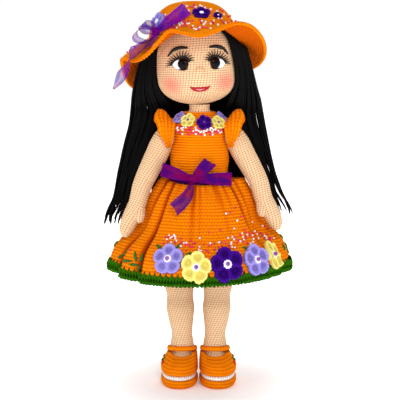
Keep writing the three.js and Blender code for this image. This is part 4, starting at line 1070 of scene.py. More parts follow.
def head_surface(turn, angle):
    """Head by its turn from the face and its angle down from the crown."""
    share = (1 + np.cos(angle)) / 2
    x = HEAD_SHIFT + head_round(share) * HEAD_HALF_WIDTH * np.sin(turn)
    y = -head_round(share) * HEAD_HALF_DEPTH * np.cos(turn)
    z = share * HEAD_HEIGHT + 0 * x
    past = ((x - HEAD_SHIFT) ** 2 + (z - NOSE_HEIGHT) ** 2) / NOSE_RADIUS**2
    nose = np.where(y < 0, NOSE_RISE * np.sqrt(np.clip(1 - past, 0, 1)), 0)
    return transformed(stack(x, y - nose, z), HEAD_PLACE)


# Skirt

skirt_shares = SmoothTable([
    [0, 0, 0, 0], [0.05, 0.005, 0.04, 0], [0.11, 0, 0.085, 0.75], [0.17, 0.01, 0.135, 1],
    [0.25, 0.06, 0.21, 0.6],
    [0.33, 0.13, 0.295, 0.2], [0.45, 0.25, 0.4, 0], [0.55, 0.395, 0.51, 0], [0.65, 0.55, 0.65, 0],
    [0.75, 0.7, 0.84, 0], [0.87, 0.84, 0.95, 0], [1, 1, 1, 0],
])
# Hem: by degrees round the skirt, how far it dips, as a share of the trim's height
hem_shares = SmoothTable([
    [-180, 0], [-120, -0.1], [-90, -0.3], [-68, -0.2], [-50, 0.2], [-30, 0.32], [0, 0.32], [25, 0.12],
    [45, -0.15],
    [70, -0.32], [90, -0.3], [130, -0.1], [180, 0],
])
# The side behind the right arm bulges: by the place down the skirt
side_puff_shares = SmoothTable([
    [0, 0], [0.04, 0.5], [0.1, 1.25], [0.17, 1.5], [0.25, 1.45], [0.33, 1.25], [0.45, 0.9], [0.55, 0.85],
    [0.66, 1], [0.76, 0.5], [0.87, 0], [1, 0],
])
# Folds: where round the skirt in degrees, its width in degrees, its depth at the hem and at the waist
fold_shares = [
    [-38, -19, 1, 0.5], [-58, -22, 1, 0.6], [-84, -24, 0.8, 0.6], [-2, 12, 0, 0.5], [24, 14, 0, 0.45],
    [47, 18, 0.3, 0.5], [60, 16, 0.8, 0.8], [96, 22, 0.4, 0.3], [120, 24, 0.6, 0.6], [150, 22, 0.5, 0.6],
    [178, 22, 0.5, 0.5], [-152, 22, 0.5, 0.6], [-124, 24, 0.6, 0.6],
]


def fold_at(degrees, down):
    inward = np.zeros(np.broadcast(degrees, down).shape)
    for start, width, hem_share, waist_share in fold_shares:
        along = np.clip(signed(degrees - start) / width, 0, 1)
        steep = np.minimum(along / FOLD_CORNER_SHARE, 1)
        ease = (1 - along) ** FOLD_EASE_POWER
        inward = inward + FOLD_DEPTH * lerp(waist_share, hem_share, down) * steep * ease
    return inward * np.minimum(down / FOLD_START_SHARE, 1) ** 2


# Gathers: where round the skirt in degrees, the half width, the depth as a share, and where down it ends
gather_shares = [
    [-58, 2.6, 0.5, 0.55], [-46, 2.2, 0.45, 0.45], [-30, 2.2, 0.4, 0.4], [-17, 2.0, 0.4, 0.32],
    [-7, 2.4, 0.62, 0.8],
    [9, 2.2, 0.42, 0.36], [22, 2.4, 0.5, 0.5], [37, 2.2, 0.5, 0.55], [52, 2.4, 0.5, 0.6],
    [68, 2.4, 0.4, 0.4],
]


def shadow_at(degrees, down):
    """How dark the skirt is in the corner of each fold and gather, from 0 to 1."""
    shadow = GATHER_SHADOW * gather_at(degrees, down) / GATHER_DEPTH
    for start, width, hem_share, waist_share in fold_shares:
        along = signed(degrees - start) / width
        near = np.clip(1 - np.abs(along - FOLD_CORNER_SHARE) / FOLD_SHADOW_SHARE, 0, 1)
        near = near * np.minimum(down / FOLD_SHADOW_START_SHARE, 1)
        shadow = shadow + FOLD_SHADOW * lerp(waist_share, hem_share, down) * near
    return np.clip(shadow, 0, 1)


def gather_at(degrees, down):
    """Narrow creases that start at the waist, widen and fade down the skirt."""
    inward = np.zeros(np.broadcast(degrees, down).shape)
    for middle, half_width, depth_share, end in gather_shares:
        past = signed(degrees - middle) / (half_width * (1 + GATHER_WIDENING_SHARE * down))
        along = np.clip(down / end, 0, 1)
        fade = np.minimum(along / GATHER_START_SHARE, 1) * (1 - along) ** GATHER_FADE_POWER
        inward = inward + GATHER_DEPTH * depth_share * fade * np.exp(-past**2)
    return inward


def press_at(degrees, down):
    """The skirt is pressed in where a hand rests on it."""
    beside_hand = (np.abs(signed(degrees)) - HAND_TURN_DEGREES) / HAND_SPREAD_DEGREES
    below_hand = (down - HAND_DOWN_SHARE) / HAND_DOWN_SPREAD_SHARE
    return HAND_PRESS * np.exp(-(beside_hand**2) - below_hand**2)


def beside(degrees, side):
    """How near a place round the skirt is to the middle of the bulge at one side, from 0 to 1."""
    return np.exp(-(((signed(degrees) - side * SIDE_PUFF_DEGREES) / SIDE_PUFF_SPREAD_DEGREES) ** 2))


def skirt_surface(turn, down):
    drop_share, reach_share, puff_share = skirt_shares(down)
    seam = 4 * GAP + DRESS_THICKNESS
    degrees = np.degrees(turn)
    inward = fold_at(degrees, down) + gather_at(degrees, down) + press_at(degrees, down)
    both_sides = beside(degrees, 1) + LEFT_PUFF_SHARE * beside(degrees, -1)
    side_puff = SIDE_PUFF * side_puff_shares(down)[0] * both_sides
    half_width = lerp(WAIST_HALF_WIDTH + seam, HEM_HALF_WIDTH, reach_share) - inward + side_puff
    half_depth = lerp(WAIST_HALF_DEPTH + seam, HEM_HALF_DEPTH, reach_share) - inward
    puff = SKIRT_PUFF * puff_share * np.sin(turn) ** 2
    dip = TRIM_HEIGHT * hem_shares(signed(degrees))[0] * drop_share**2
    height = SKIRT_TOP - drop_share * SKIRT_LENGTH + puff - dip
    return stack(half_width * np.sin(turn), -half_depth * np.cos(turn), height)


# Hat

crown_shares = SmoothTable([
    [0, 0, 1], [0.14, 0.26, 0.98], [0.3, 0.52, 0.9], [0.45, 0.72, 0.74], [0.6, 0.86, 0.52],
    [0.8, 0.95, 0.26], [1, 1, 0],
])
edge_shares = SmoothTable([
    [-180, -0.95], [-150, -1.2], [-125, -1.42], [-108, -1.18], [-90, -0.66], [-70, -0.53], [-50, -0.57],
    [-39, -0.4],
    [-30, -0.1], [-20, 0.21], [-8, 0.16], [5, 0.08], [18, 0.2], [35, 0.42], [50, 0.36], [70, 0.02],
    [90, -0.38],
    [110, -0.7], [125, -0.85], [150, -0.92], [180, -0.95],
])
front_rise_shares = SmoothTable([
    [-180, 0], [-60, 0], [-40, 0], [-22, 0.2], [-6, 0.36], [20, 0.36], [38, 0.32], [60, 0.12], [80, 0],
    [180, 0],
])


def brim_reach(turn):
    """How far the brim reaches out: less in front and behind."""
    return BRIM_REACH * (1 - BRIM_TURN_IN_SHARE * np.cos(turn) ** 4)


def hat_surface(turn, out):
    out = np.asarray(out, float)
    crown_radius, crown_height = crown_shares(np.minimum(out / CROWN_END_SHARE, 1))
    along = np.clip((out - CROWN_END_SHARE) / (1 - CROWN_END_SHARE), 0, None)
    degrees = np.degrees(turn)
    edge = edge_shares(signed(degrees))[0]
    radius = crown_radius * CROWN_RADIUS + along * brim_reach(turn)
    rise = front_rise_shares(signed(degrees))[0]
    height = CROWN_HEIGHT * (lerp(rise, 1, crown_height) - rise * along + edge * along**1.15)
    return stack(HAT_SHIFT + radius * np.sin(turn), -radius * np.cos(turn), HAT_BASE + height)


# Shoes

upper_shares = SmoothTable([
    [0, 0.05, 0.03, 0.04], [0.28, 0, 0, 0], [0.52, 0.3, 0.15, 0.15], [0.76, 0.7, 0.5, 0.5], [1, 1, 1, 1],
])
WELT_TOP = SOLE_THICKNESS + GAP + WELT_THICKNESS
UPPER_BASE = WELT_TOP + GAP
UPPER_TOP = UPPER_BASE + UPPER_HEIGHT


def shoe_ring(turn, height, side_inset, toe_inset, heel_inset, middle):
    c, s = np.sin(turn), -np.cos(turn)
    length = np.where(s < 0, SHOE_TOE - toe_inset, SHOE_HEEL - heel_inset)
    x = middle + (SHOE_HALF_WIDTH - side_inset) * np.sign(c) * np.abs(c) ** SHOE_FULLNESS_SHARE
    y = length * np.sign(s) * np.abs(s) ** SHOE_FULLNESS_SHARE
    return stack(x, y, height)


sole_inset_shares = SmoothTable([[0, 0.3], [0.12, 0.14], [0.42, 0], [0.8, 0.02], [1, 0.12]])


def sole_surface(side):
    middle = STANCE_SHIFT + side * SHOE_SPREAD

    def surface(turn, rise):
        inset = sole_inset_shares(rise)[0] * SOLE_THICKNESS
        return shoe_ring(turn, rise * SOLE_THICKNESS, inset, inset, inset, middle)
    return surface


def welt_surface(side):
    middle = STANCE_SHIFT + side * SHOE_SPREAD

    def surface(turn, rise):
        height = SOLE_THICKNESS + GAP + rise * WELT_THICKNESS
        return shoe_ring(turn, height, WELT_INSET, WELT_INSET, WELT_INSET, middle)
    return surface


def upper_surface(side):
    middle = STANCE_SHIFT + side * SHOE_SPREAD
    lean = side * (ANKLE_SPREAD - SHOE_SPREAD)
    side_draw = SHOE_HALF_WIDTH - COLLAR_HALF_WIDTH
    toe_draw = SHOE_TOE - COLLAR_HALF_WIDTH - THROAT_DEPTH
    heel_draw = SHOE_HEEL - COLLAR_HALF_WIDTH

    def surface(turn, rise):
        side_share, toe_share, heel_share = upper_shares(rise)
        across = np.abs(np.sin(turn)) * COLLAR_HALF_WIDTH / THROAT_HALF_WIDTH
        throat = np.where(np.cos(turn) > 0, np.clip(1 - across**2, 0, 1) ** THROAT_POWER, 0)
        drop = THROAT_DEPTH * throat + COLLAR_DROP * (1 - np.cos(turn)) / 2
        height = UPPER_BASE + rise * UPPER_HEIGHT - drop * np.asarray(rise) ** 2
        return shoe_ring(turn, height, side_draw * side_share, toe_draw * toe_share, heel_draw * heel_share,
                         middle + lean * side_share)
    return surface


# Stage

def make_camera():
    data = bpy.data.cameras.new("camera")
    data.sensor_width = SENSOR_MILLIMETRES
    data.lens = LENS_MILLIMETRES
    data.shift_x = SHIFT_X_SHARE
    data.shift_y = SHIFT_Y_SHARE
    camera = bpy.data.objects.new("camera", data)
    camera.location = (0, -CAMERA_DISTANCE, CAMERA_HEIGHT)
    down = math.atan2(CAMERA_HEIGHT - AIM_HEIGHT, CAMERA_DISTANCE)
    camera.rotation_euler = (math.pi / 2 - down, 0, 0)
    bpy.context.scene.collection.objects.link(camera)
    bpy.context.scene.camera = camera


def make_lamp(name, place, target, size, watts):
    data = bpy.data.lights.new(name, "AREA")
    data.shape = "DISK"
    data.size = size
    data.energy = watts
    lamp = bpy.data.objects.new(name, data)
    lamp.location = place
    lamp.rotation_euler = (Vector(target) - Vector(place)).to_track_quat("-Z", "Y").to_euler()
    bpy.context.scene.collection.objects.link(lamp)


def make_light():
    """Even studio light: a white world that the camera sees as plain white, and three soft lamps."""
    world = bpy.data.worlds.new("studio")
    world.use_nodes = True
    bpy.context.scene.world = world
    nodes, links = world.node_tree.nodes, world.node_tree.links
    background = nodes["Background"]
    ray = nodes.new("ShaderNodeLightPath")
    strength = nodes.new("ShaderNodeMix")
    strength.inputs[2].default_value = WORLD_LIGHT
    strength.inputs[3].default_value = BACKDROP_LIGHT
    links.new(ray.outputs["Is Camera Ray"], strength.inputs[0])
    links.new(strength.outputs[0], background.inputs["Strength"])
    background.inputs["Color"].default_value = colour("#FFFFFF")
    middle = (0, 0, AIM_HEIGHT)
    for name, place, size, watts in LAMPS:
        make_lamp(name, place, middle, size, watts)
    bpy.context.scene.view_settings.view_transform = "Standard"


def make_floor():
    paint = Paint("floor", 0.9, Emission_Strength=FLOOR_GLOW, Specular_IOR_Level=0.0)
    x, y, _ = paint.split(paint.coordinates("Object"))
    # Painted shade round the feet: the floor's glow is darker near the doll and white further off
    away = (x * x + y * y).root().between(*FLOOR_NEAR_REACH)
    grain = paint.noise(3, 1.0)
    glow = paint.mix(away, colour(FLOOR_NEAR_GLOW), colour("#FFFFFF"))
    paint.finish(base=paint.mix(grain, colour("#FFFFFF"), colour("#FDFBFC")), glow=glow)
    reach = FLOOR_HALF_WIDTH
    points = np.array([[-reach, -reach, 0], [reach, -reach, 0], [reach, reach, 0], [-reach, reach, 0]])
    mesh_object("floor", points, [[0, 1, 2, 3]], paint.material)


# Stitched pieces

def stuff(name, tube, material, body, slot, fill, *nodes):
    """A stuffed piece on its body; how full it is, fill, is not used."""
    piece = settle(stuffed(name, tube, material), body, slot, *nodes)


def skin_tube(surface, span, columns, lean=ROW_LEAN):
    return Tube(surface, span, columns, SKIN_RELIEF, SKIN_STITCH, SKIN_SAMPLES, lean)


def make_torso(skin_yarn):
    tube = skin_tube(trunk_surface(), (CHIN, PANTS_TOP + GAP), BODY_COLUMNS)
    stuff("torso_skin", tube, skin_yarn, "torso", "yarn_skin", SOFT_FILL, "torso")


def make_pants(dress_yarn):
    tube = Tube(trunk_surface(), (PANTS_TOP, LEG_LENGTH), PANTS_COLUMNS, DRESS_RELIEF, SKIRT_STITCH)
    stuff("pants_cloth", tube, dress_yarn, "torso", "yarn_orange", SOFT_FILL, "pants")


def make_leg(side, side_name, skin_yarn):
    tube = skin_tube(leg_surface(side), (1.0, LEG_END_SHARE), LEG_COLUMNS, LEG_SLANT)
    stuff(f"leg_{side_name}_skin", tube, skin_yarn, "torso", "yarn_skin", FIRM_FILL, f"leg_{side_name}")
    foot = skin_tube(foot_surface(side), (FOOT_POLE_ANGLE, math.pi - FOOT_POLE_ANGLE), LIMB_END_COLUMNS)
    stuff(f"foot_{side_name}_skin", foot, skin_yarn, "torso", "yarn_skin", FIRM_FILL)


def make_arm(side, side_name, skin_yarn):
    arm = f"arm_{side_name}"
    tube = skin_tube(arm_surface(side), (0, 1), LIMB_END_COLUMNS)
    stuff(f"{arm}_skin", tube, skin_yarn, arm, "yarn_skin", SOFT_FILL, arm)
    thumb = skin_tube(thumb_surface(side), (0, 1), THUMB_COLUMNS)
    stuff(f"thumb_{side_name}_skin", thumb, skin_yarn, arm, "yarn_skin", SOFT_FILL)


def make_head(face_yarn):
    tube = skin_tube(head_surface, (HEAD_TOP_ANGLE, math.pi - HEAD_END_ANGLE), HEAD_COLUMNS)
    stuff("head_skin", tube, face_yarn, "head", "yarn_skin", FIRM_FILL, "head")


def make_bodice(dress_yarn):
    span = (NECK_BASE - GAP, WAIST - GAP)
    tube = Tube(trunk_surface(GAP + DRESS_THICKNESS), span, BODICE_COLUMNS, BODICE_RELIEF, BODICE_STITCH,
                lean=0, stagger=ROW_STAGGER)
    bodice = cloth("bodice_cloth", tube, DRESS_THICKNESS - BODICE_RELIEF, dress_yarn)
    settle(bodice, "torso", "yarn_orange", "dress_bodice")


def make_skirt(dress_yarn):
    tube = Tube(skirt_surface, (0, 1), SKIRT_COLUMNS, DRESS_RELIEF, SKIRT_STITCH,
                lean=0, stagger=ROW_STAGGER, row_pinch=DRESS_PINCH_SHARE)
    skirt = cloth("skirt_cloth", tube, DRESS_THICKNESS - DRESS_RELIEF, dress_yarn)
    turns = np.linspace(0, 360, tube.columns, endpoint=False)[None, :]
    shadow = shadow_at(turns, tube.places[:, None])
    inner = len(skirt.data.vertices) - shadow.size
    add_shade(skirt, np.concatenate([shadow.ravel(), np.full(inner, INSIDE_SHADOW)]))
    settle(skirt, "torso", "yarn_orange", "skirt")


def make_hat(dress_yarn):
    tube = Tube(hat_surface, (HAT_START_SHARE, 1), HAT_COLUMNS, DRESS_RELIEF, HAT_STITCH,
                lean=0, stagger=ROW_STAGGER, row_pinch=DRESS_PINCH_SHARE)
    hat = cloth("hat_cloth", tube, HAT_THICKNESS - DRESS_RELIEF, dress_yarn)
    outside = len(tube.places) * tube.columns
    shadow = np.full(len(hat.data.vertices), UNDERSIDE_SHADOW)
    shadow[:outside] = 0
    add_shade(hat, shadow)
    settle(hat, "hat", "yarn_orange", "hat")


def make_shoe(side, side_name, dress_yarn, white_yarn):
    def tube(surface, stagger=ROW_STAGGER):
        return Tube(surface(side), (1, 0), SHOE_COLUMNS, DRESS_RELIEF, SHOE_STITCH, stagger=stagger)

    sole = stuffed(f"sole_{side_name}_cloth", tube(sole_surface), dress_yarn)
    settle(sole, "torso", "yarn_orange", f"shoe_sole_{side_name}")
    welt = stuffed(f"welt_{side_name}_cloth", tube(welt_surface, 0.0), white_yarn)
    settle(welt, "torso", "yarn_white", f"shoe_welt_{side_name}")
    upper = cloth(f"upper_{side_name}_cloth", tube(upper_surface), UPPER_THICKNESS - DRESS_RELIEF, dress_yarn)
    settle(upper, "torso", "yarn_orange", f"shoe_upper_{side_name}")


# The trim's section: by the place along it, how far it falls and how far out it stands
trim_shares = SmoothTable([
    [0, -0.6, -0.42], [0.12, -0.55, 0.1], [0.3, -0.2, 0.38], [0.5, 0.35, 0.3], [0.7, 0.75, 0.42],
    [0.85, 0.98, 0.2], [1, 1, -0.25],
])


def make_trim(green_yarn):
    """Green edging: its top edge in points over the skirt's last row, its lower edge in scallops."""
    columns = TRIM_POINTS * TRIM_POINT_COLUMNS
    hem = skirt_surface(ring_turns(columns), np.array(1.0))
    ahead = np.roll(hem, -1, axis=0) - np.roll(hem, 1, axis=0)
    out = unit(stack(-ahead[:, 1], ahead[:, 0], 0 * ahead[:, 0])) * -1
    beat = np.arange(columns) / TRIM_POINT_COLUMNS
    point = (1 - 2 * np.abs(beat % 1 - 0.5)) ** 1.4
    scallop = np.sqrt(np.sin(math.pi * ((beat * 1.5) % 1)))
    rows = []
    for share in np.linspace(0, 1, TRIM_RINGS):
        drop, outward = trim_shares(share)
        top_pull = np.clip((TRIM_TOP_SHARE - share) / TRIM_TOP_SHARE, 0, 1)
        low_pull = np.clip((share - TRIM_LOW_SHARE) / (1 - TRIM_LOW_SHARE), 0, 1)
        fall = drop * TRIM_HEIGHT * TRIM_FALL_SHARE + TRIM_POINT * top_pull * (TRIM_TOP_SHARE - point)
        fall = fall - TRIM_SCALLOP * low_pull * (1 - scallop)
        knot = TRIM_RELIEF * np.sin(2 * math.pi * (beat * 2 + share * 1.7)) * math.sin(math.pi * share)
        ring = hem + out * (outward * TRIM_THICKNESS + knot)[:, None]
        ring[:, 2] = hem[:, 2] - fall
        rows.append(ring)
    behind = (rows[-1], rows[len(rows) // 2], rows[0])
    inner = [row - out * TRIM_THICKNESS * TRIM_INSIDE_SHARE for row in behind]
    grid = np.stack(rows + inner)
    column, row = np.arange(columns), np.arange(len(grid))
    left, right = [edge / TRIM_POINT_COLUMNS * TRIM_POINT_STITCHES for edge in (column, column + 1)]
    top, bottom = [edge / TRIM_RINGS * TRIM_STITCH_ROWS for edge in (row, row + 1)]
    corners = grid_corners(left, right, top, bottom)
    faces = shell_faces(len(grid), columns)
    trim = mesh_object("hem_edging", grid.reshape(-1, 3), faces, green_yarn, corners)
    settle(trim, "torso", "yarn_green", "hem_trim")


def make_sleeve(side, side_name, dress_yarn):
    """Ruffle round the armhole, widest over the shoulder, with a rolled rim."""
    base_radius = ARM_RADIUS + ARMHOLE_CLEARANCE + SLEEVE_THICKNESS
    base_x = CHEST_HALF_WIDTH + DRESS_THICKNESS
    angle = np.linspace(-SLEEVE_HALF_TURN, SLEEVE_HALF_TURN, SLEEVE_COLUMNS)
    fade = np.maximum(np.cos(angle / SLEEVE_HALF_TURN * math.pi / 2), SLEEVE_LEAST_SHARE) ** SLEEVE_FADE_POWER
    away = stack(0 * angle, np.sin(angle), np.cos(angle))
    inner = away * base_radius + np.array([side * base_x, 0, SHOULDER])
    outward = np.array([side * SLEEVE_REACH, 0, 0])
    reach = (outward + away * (SLEEVE_FLARE * fade)[:, None]) * fade[:, None]
    lift = unit(np.cross(reach, np.gradient(inner, axis=0))) * side
    wave = np.cos(angle * SLEEVE_WAVES + SLEEVE_WAVE_START)
    upward = away * (SLEEVE_FLARE * fade**2)[:, None]
    outer, under = [], []
    for share in np.linspace(SLEEVE_START_SHARE, 1, SLEEVE_ROWS):
        arch = math.sin(math.pi * SLEEVE_ARCH_SHARE * max(share, 0))
        middle = inner + outward * (share * fade)[:, None] + upward * arch
        ruffle = SLEEVE_WAVE * wave * max(share, 0) ** SLEEVE_RUFFLE_POWER * fade
        ridge = BODICE_RELIEF * (0.5 + 0.5 * math.cos(2 * math.pi * share * SLEEVE_RIDGES))
        past_rim = (share - SLEEVE_RIM_SHARES["place"]) / SLEEVE_RIM_SHARES["spread"]
        rim = SLEEVE_THICKNESS * SLEEVE_RIM_SHARES["raise"] * math.exp(-past_rim ** 2)
        half = SLEEVE_THICKNESS / 2 * (1 if share < 1 else SLEEVE_RIM_SHARES["edge"])
        outer.append(middle + lift * (ruffle + half + ridge + rim)[:, None])
        under.append(middle + lift * (ruffle - half - ridge - rim)[:, None])
    grid = np.stack(outer + under[::-1])
    column, row = np.arange(SLEEVE_COLUMNS - 1), np.arange(len(grid))
    left, right = [edge / SLEEVE_COLUMNS * SLEEVE_STITCHES for edge in (column, column + 1)]
    top, bottom = [edge / SLEEVE_ROWS * SLEEVE_STITCH_ROWS for edge in (row, row + 1)]
    faces = shell_faces(len(grid), SLEEVE_COLUMNS, False)
    corners = grid_corners(left, right, top, bottom)
    sleeve = mesh_object(f"sleeve_{side_name}_cloth", grid.reshape(-1, 3), faces, dress_yarn, corners)
    settle(sleeve, f"arm_{side_name}", "yarn_orange", f"sleeve_{side_name}")


# Small things laid on surfaces

def lifted(surface, turns, shares, lift):
    """Points that stand off a surface along its normal; past the surface's end they carry on straight."""
    turns, shares = np.broadcast_arrays(np.asarray(turns, float), np.asarray(shares, float))
    inside = np.minimum(shares, 1 - SURFACE_STEP)
    around = surface(turns + SURFACE_STEP, inside) - surface(turns - SURFACE_STEP, inside)
    down = surface(turns, inside + SURFACE_STEP) - surface(turns, inside - SURFACE_STEP)
    normal = unit(np.cross(down, around))
    past = (shares - inside)[..., None] / (2 * SURFACE_STEP)
    return surface(turns, inside) + down * past + normal * np.asarray(lift)[..., None]


class Spot:
    """A place on surface(turn, share) with a flat frame of its own, in which small things are drawn."""

    def __init__(self, surface, turn, share, roll=0.0, flat=(1.0, 1.0)):
        self.surface, self.turn, self.roll = surface, turn, roll
        self.wide, self.tall = flat
        here, beside_it = [surface(np.array(at), np.array(share)) for at in (turn, turn + SURFACE_STEP)]
        self.around_scale = np.linalg.norm(beside_it - here) / SURFACE_STEP
        self.shares = np.arange(0, 1 + SURFACE_STEP / 2, SURFACE_STEP)
        path = surface(np.full(len(self.shares), float(turn)), self.shares)
        steps = np.linalg.norm(np.diff(path, axis=0), axis=1)
        self.run = np.concatenate([[0], np.cumsum(steps)])
        self.here = np.interp(share, self.shares, self.run)

    def lay(self, across, up, lift):
        turned_across = across * math.cos(self.roll) - up * math.sin(self.roll)
        turned_up = across * math.sin(self.roll) + up * math.cos(self.roll)
        down = self.here - turned_up * self.tall
        past = np.maximum(down - self.run[-1], 0) / (self.run[-1] - self.run[-2]) * SURFACE_STEP
        shares = np.interp(down, self.run, self.shares) + past
        return lifted(self.surface, self.turn + turned_across * self.wide / self.around_scale, shares, lift)


class PhotoPlaces:
    """Finds where on a surface a pixel of the photograph falls."""

    def __init__(self, surface, half_turn, shares):
        self.surface = surface
        turns = np.linspace(-half_turn, half_turn, PLACE_TURNS)
        grids = np.meshgrid(turns, np.linspace(*shares, PLACE_SHARES))
        self.turns, self.shares = [grid.ravel() for grid in grids]
        points = surface(self.turns, self.shares)
        self.pixels = np.stack(self.seen(points), axis=-1)

    @staticmethod
    def seen(points):
        down = math.atan2(CAMERA_HEIGHT - AIM_HEIGHT, CAMERA_DISTANCE)
        back, rise = points[..., 1] + CAMERA_DISTANCE, points[..., 2] - CAMERA_HEIGHT
        depth = back * math.cos(down) - rise * math.sin(down)
        up = back * math.sin(down) + rise * math.cos(down)
        focal = LENS_MILLIMETRES / SENSOR_MILLIMETRES * IMAGE_PIXELS
        x = IMAGE_PIXELS * (0.5 - SHIFT_X_SHARE) + focal * points[..., 0] / depth
        y = IMAGE_PIXELS * (0.5 + SHIFT_Y_SHARE) - focal * up / depth
        return x, y

    def at(self, x, y):
        nearest = np.argmin((self.pixels[:, 0] - x) ** 2 + (self.pixels[:, 1] - y) ** 2)
        return self.turns[nearest], self.shares[nearest]


class Pile:
    """Gathers many small closed shapes into one mesh."""

    def __init__(self):
        self.points, self.faces, self.corners, self.count = [], [], [], 0

    def rings(self, rings, around=8.0, rows=3.0):
        """A closed shape over rings of points, with stitch coordinates around and along it."""
        rings = np.asarray(rings)
        length, columns, _ = rings.shape
        faces = grid_faces(length, columns, True)
        self.points.append(rings.reshape(-1, 3))
        self.faces += (faces + self.count).tolist()
        column = np.arange(columns) / columns * around
        row = np.arange(length - 1) / (length - 1) * rows
        self.corners.append(grid_corners(column, column + around / columns, row, row + rows / (length - 1)))
        first, last = self.count, self.count + (length - 1) * columns
        self.count += length * columns
        for ring, start, forward in ((rings[0], first, True), (rings[-1], last, False)):
            self.points.append(ring.mean(axis=0)[None])
            for side in range(columns):
                a, b = start + side, start + (side + 1) % columns
                self.faces.append([self.count, b, a] if forward else [self.count, a, b])
            self.corners.append(np.tile([[0.2, 0.5], [0.4, 0.5], [0.3, 0.7]], (columns, 1)))
            self.count += 1

    def ball(self, centre, radius, squash, outward):
        """A small ball, drawn in along its outward direction."""
        angle = np.linspace(BALL_POLE_ANGLE, math.pi - BALL_POLE_ANGLE, BALL_RINGS)[:, None]
        turn = ring_turns(BALL_SIDES)[None, :]
        shape = stack(np.sin(angle) * np.cos(turn), np.sin(angle) * np.sin(turn), np.cos(angle) * squash)
        rotation = np.array(Vector(outward).to_track_quat("Z", "Y").to_matrix())
        self.rings(centre + shape @ rotation.T * radius, 1.0, 1.0)

    def mesh(self, name, material):
        points, corners = np.concatenate(self.points), np.concatenate(self.corners)
        return mesh_object(name, points, self.faces, material, corners)


# Flowers

petal_shares = SmoothTable([
    [0.08, 0.5, 0], [0.3, 0.48, 0.05], [0.45, 0.6, 0.3], [0.56, 0.5, 0.35], [0.72, 0.7, 0.75],
    [0.84, 0.7, 0.85],
    [0.94, 0.4, 0.6], [1, 0, 0],
])


# Rings of a petal outward, and sections of the flower's ring and of a button: reach, then lift
petal_ring_shares = [0.08, 0.3, 0.45, 0.56, 0.66, 0.75, 0.84, 0.92, 0.97, 1.0]
ring_shares = [[0.02, 0.55], [0.14, 0.62], [0.25, 0.82], [0.31, 0.7], [0.33, 0.35], [0.31, 0.05]]
button_shares = [[0.1, 0.62], [0.5, 0.64], [0.66, 0.86], [0.82, 1], [0.95, 0.82], [1, 0.45], [0.96, 0]]


def lay_disc(pile, spot, reach, lift, around, stitches=1.0, rows=1.0):
    """A round thing on a spot, from the reach and lift of its rings."""
    pile.rings(spot.lay(reach * np.cos(around), reach * np.sin(around), lift), stitches, rows)


def lay_flower(pile, spot, radius, thickness):
    """Five cupped petals with raised rims round a small ring."""
    shares = np.array(petal_ring_shares)[:, None]
    around = ring_turns(PETAL_SIDES)[None, :]
    for petal in range(PETALS):
        heading = math.pi / 2 + petal * 2 * math.pi / PETALS
        base, rim = petal_shares(shares)
        outer = 0.5 + 0.5 * np.cos(around)
        ridge = PETAL_RIDGE_SHARE * np.cos(around * PETAL_RIDGES) * shares**2
        reach = PETAL_LENGTH_SHARE * shares * np.cos(around) * (1 + ridge * 0.5)
        out = radius * (PETAL_CENTRE_SHARE + reach)
        side = radius * PETAL_WIDTH_SHARE * shares * np.sin(around) * (0.8 + 0.2 * outer)
        lift = FLOWER_RAISE + thickness * (base + rim * (0.1 + 0.6 * outer) + ridge)
        across = out * math.cos(heading) - side * math.sin(heading)
        up = out * math.sin(heading) + side * math.cos(heading)
        top = spot.lay(across, up, lift)
        under = spot.lay(across[-2:-1], up[-2:-1], 0 * lift[-2:-1])
        pile.rings(np.concatenate([top, under]), PETAL_RIDGES, 1.0)
    reach, lift = np.array(ring_shares).T[:, :, None]
    lift = thickness * lift * (1 + RING_KNOT_SHARE * np.cos(around * RING_STITCHES))
    lay_disc(pile, spot, radius * reach, lift, around, RING_STITCHES, 2.0)


def lay_button(pile, spot, radius, low, thickness):
    """A flat round button with a rolled rim."""
    reach, lift = np.array(button_shares).T[:, :, None]
    lay_disc(pile, spot, radius * reach, low + thickness * lift, ring_turns(BUTTON_SIDES)[None, :])


# Flowers on the skirt, round the neck and on the hat: colour, degrees round, share down, size, roll, how flat
skirt_flower_shares = [
    ["lilac", -20.2, 0.815, 1, 4], ["yellow", -2.1, 0.88, 1.02, -10], ["purple", 17.2, 0.868, 1.12, 8],
    ["lilac", 38.2, 0.862, 1.04, 2, (0.88, 1)], ["yellow", 56, 0.855, 0.98, 10, (0.62, 1)],
]
neck_flower_shares = [
    ["lilac", -60, 0.42, 1, 6], ["yellow", -27, 0.55, 1.06, 0], ["purple", 10, 0.7, 1.12, 12],
    ["yellow", 44, 0.74, 1.04, -8], ["lilac", 76, 0.42, 1, 5],
]
hat_flower_shares = [
    ["lilac", -56, 0.39, 1, 20], ["purple", 11, 0.4, 0.95, 0, (1, 0.6)],
    ["purple", 34, 0.42, 0.5, 0, (1, 0.6)],
]


def dress_front(drop):
    """The bodice's outside by its turn and by a share of a drop from the neck."""
    outside = trunk_surface(GAP + DRESS_THICKNESS)

    def surface(turn, share):
        return outside(turn, NECK_BASE - drop * np.asarray(share))
    return surface


def make_flower(name, surface, place, radius, paints, body):
    """One flower; place is its colour, degrees round, share down, size, roll and how flat it is seen."""
    colour_name, degrees, share, size, roll, *flat = place
    spot = Spot(surface, math.radians(degrees), share, math.radians(roll), *flat)
    reach = size * radius
    thick = FLOWER_THICKNESS * min(reach / SKIRT_FLOWER_RADIUS, 1) ** 0.5
    petals = Pile()
    lay_flower(petals, spot, reach, thick)
    settle(petals.mesh(f"{name}_petals", paints[colour_name]), body, f"yarn_{colour_name}", name)
    return spot, reach, thick


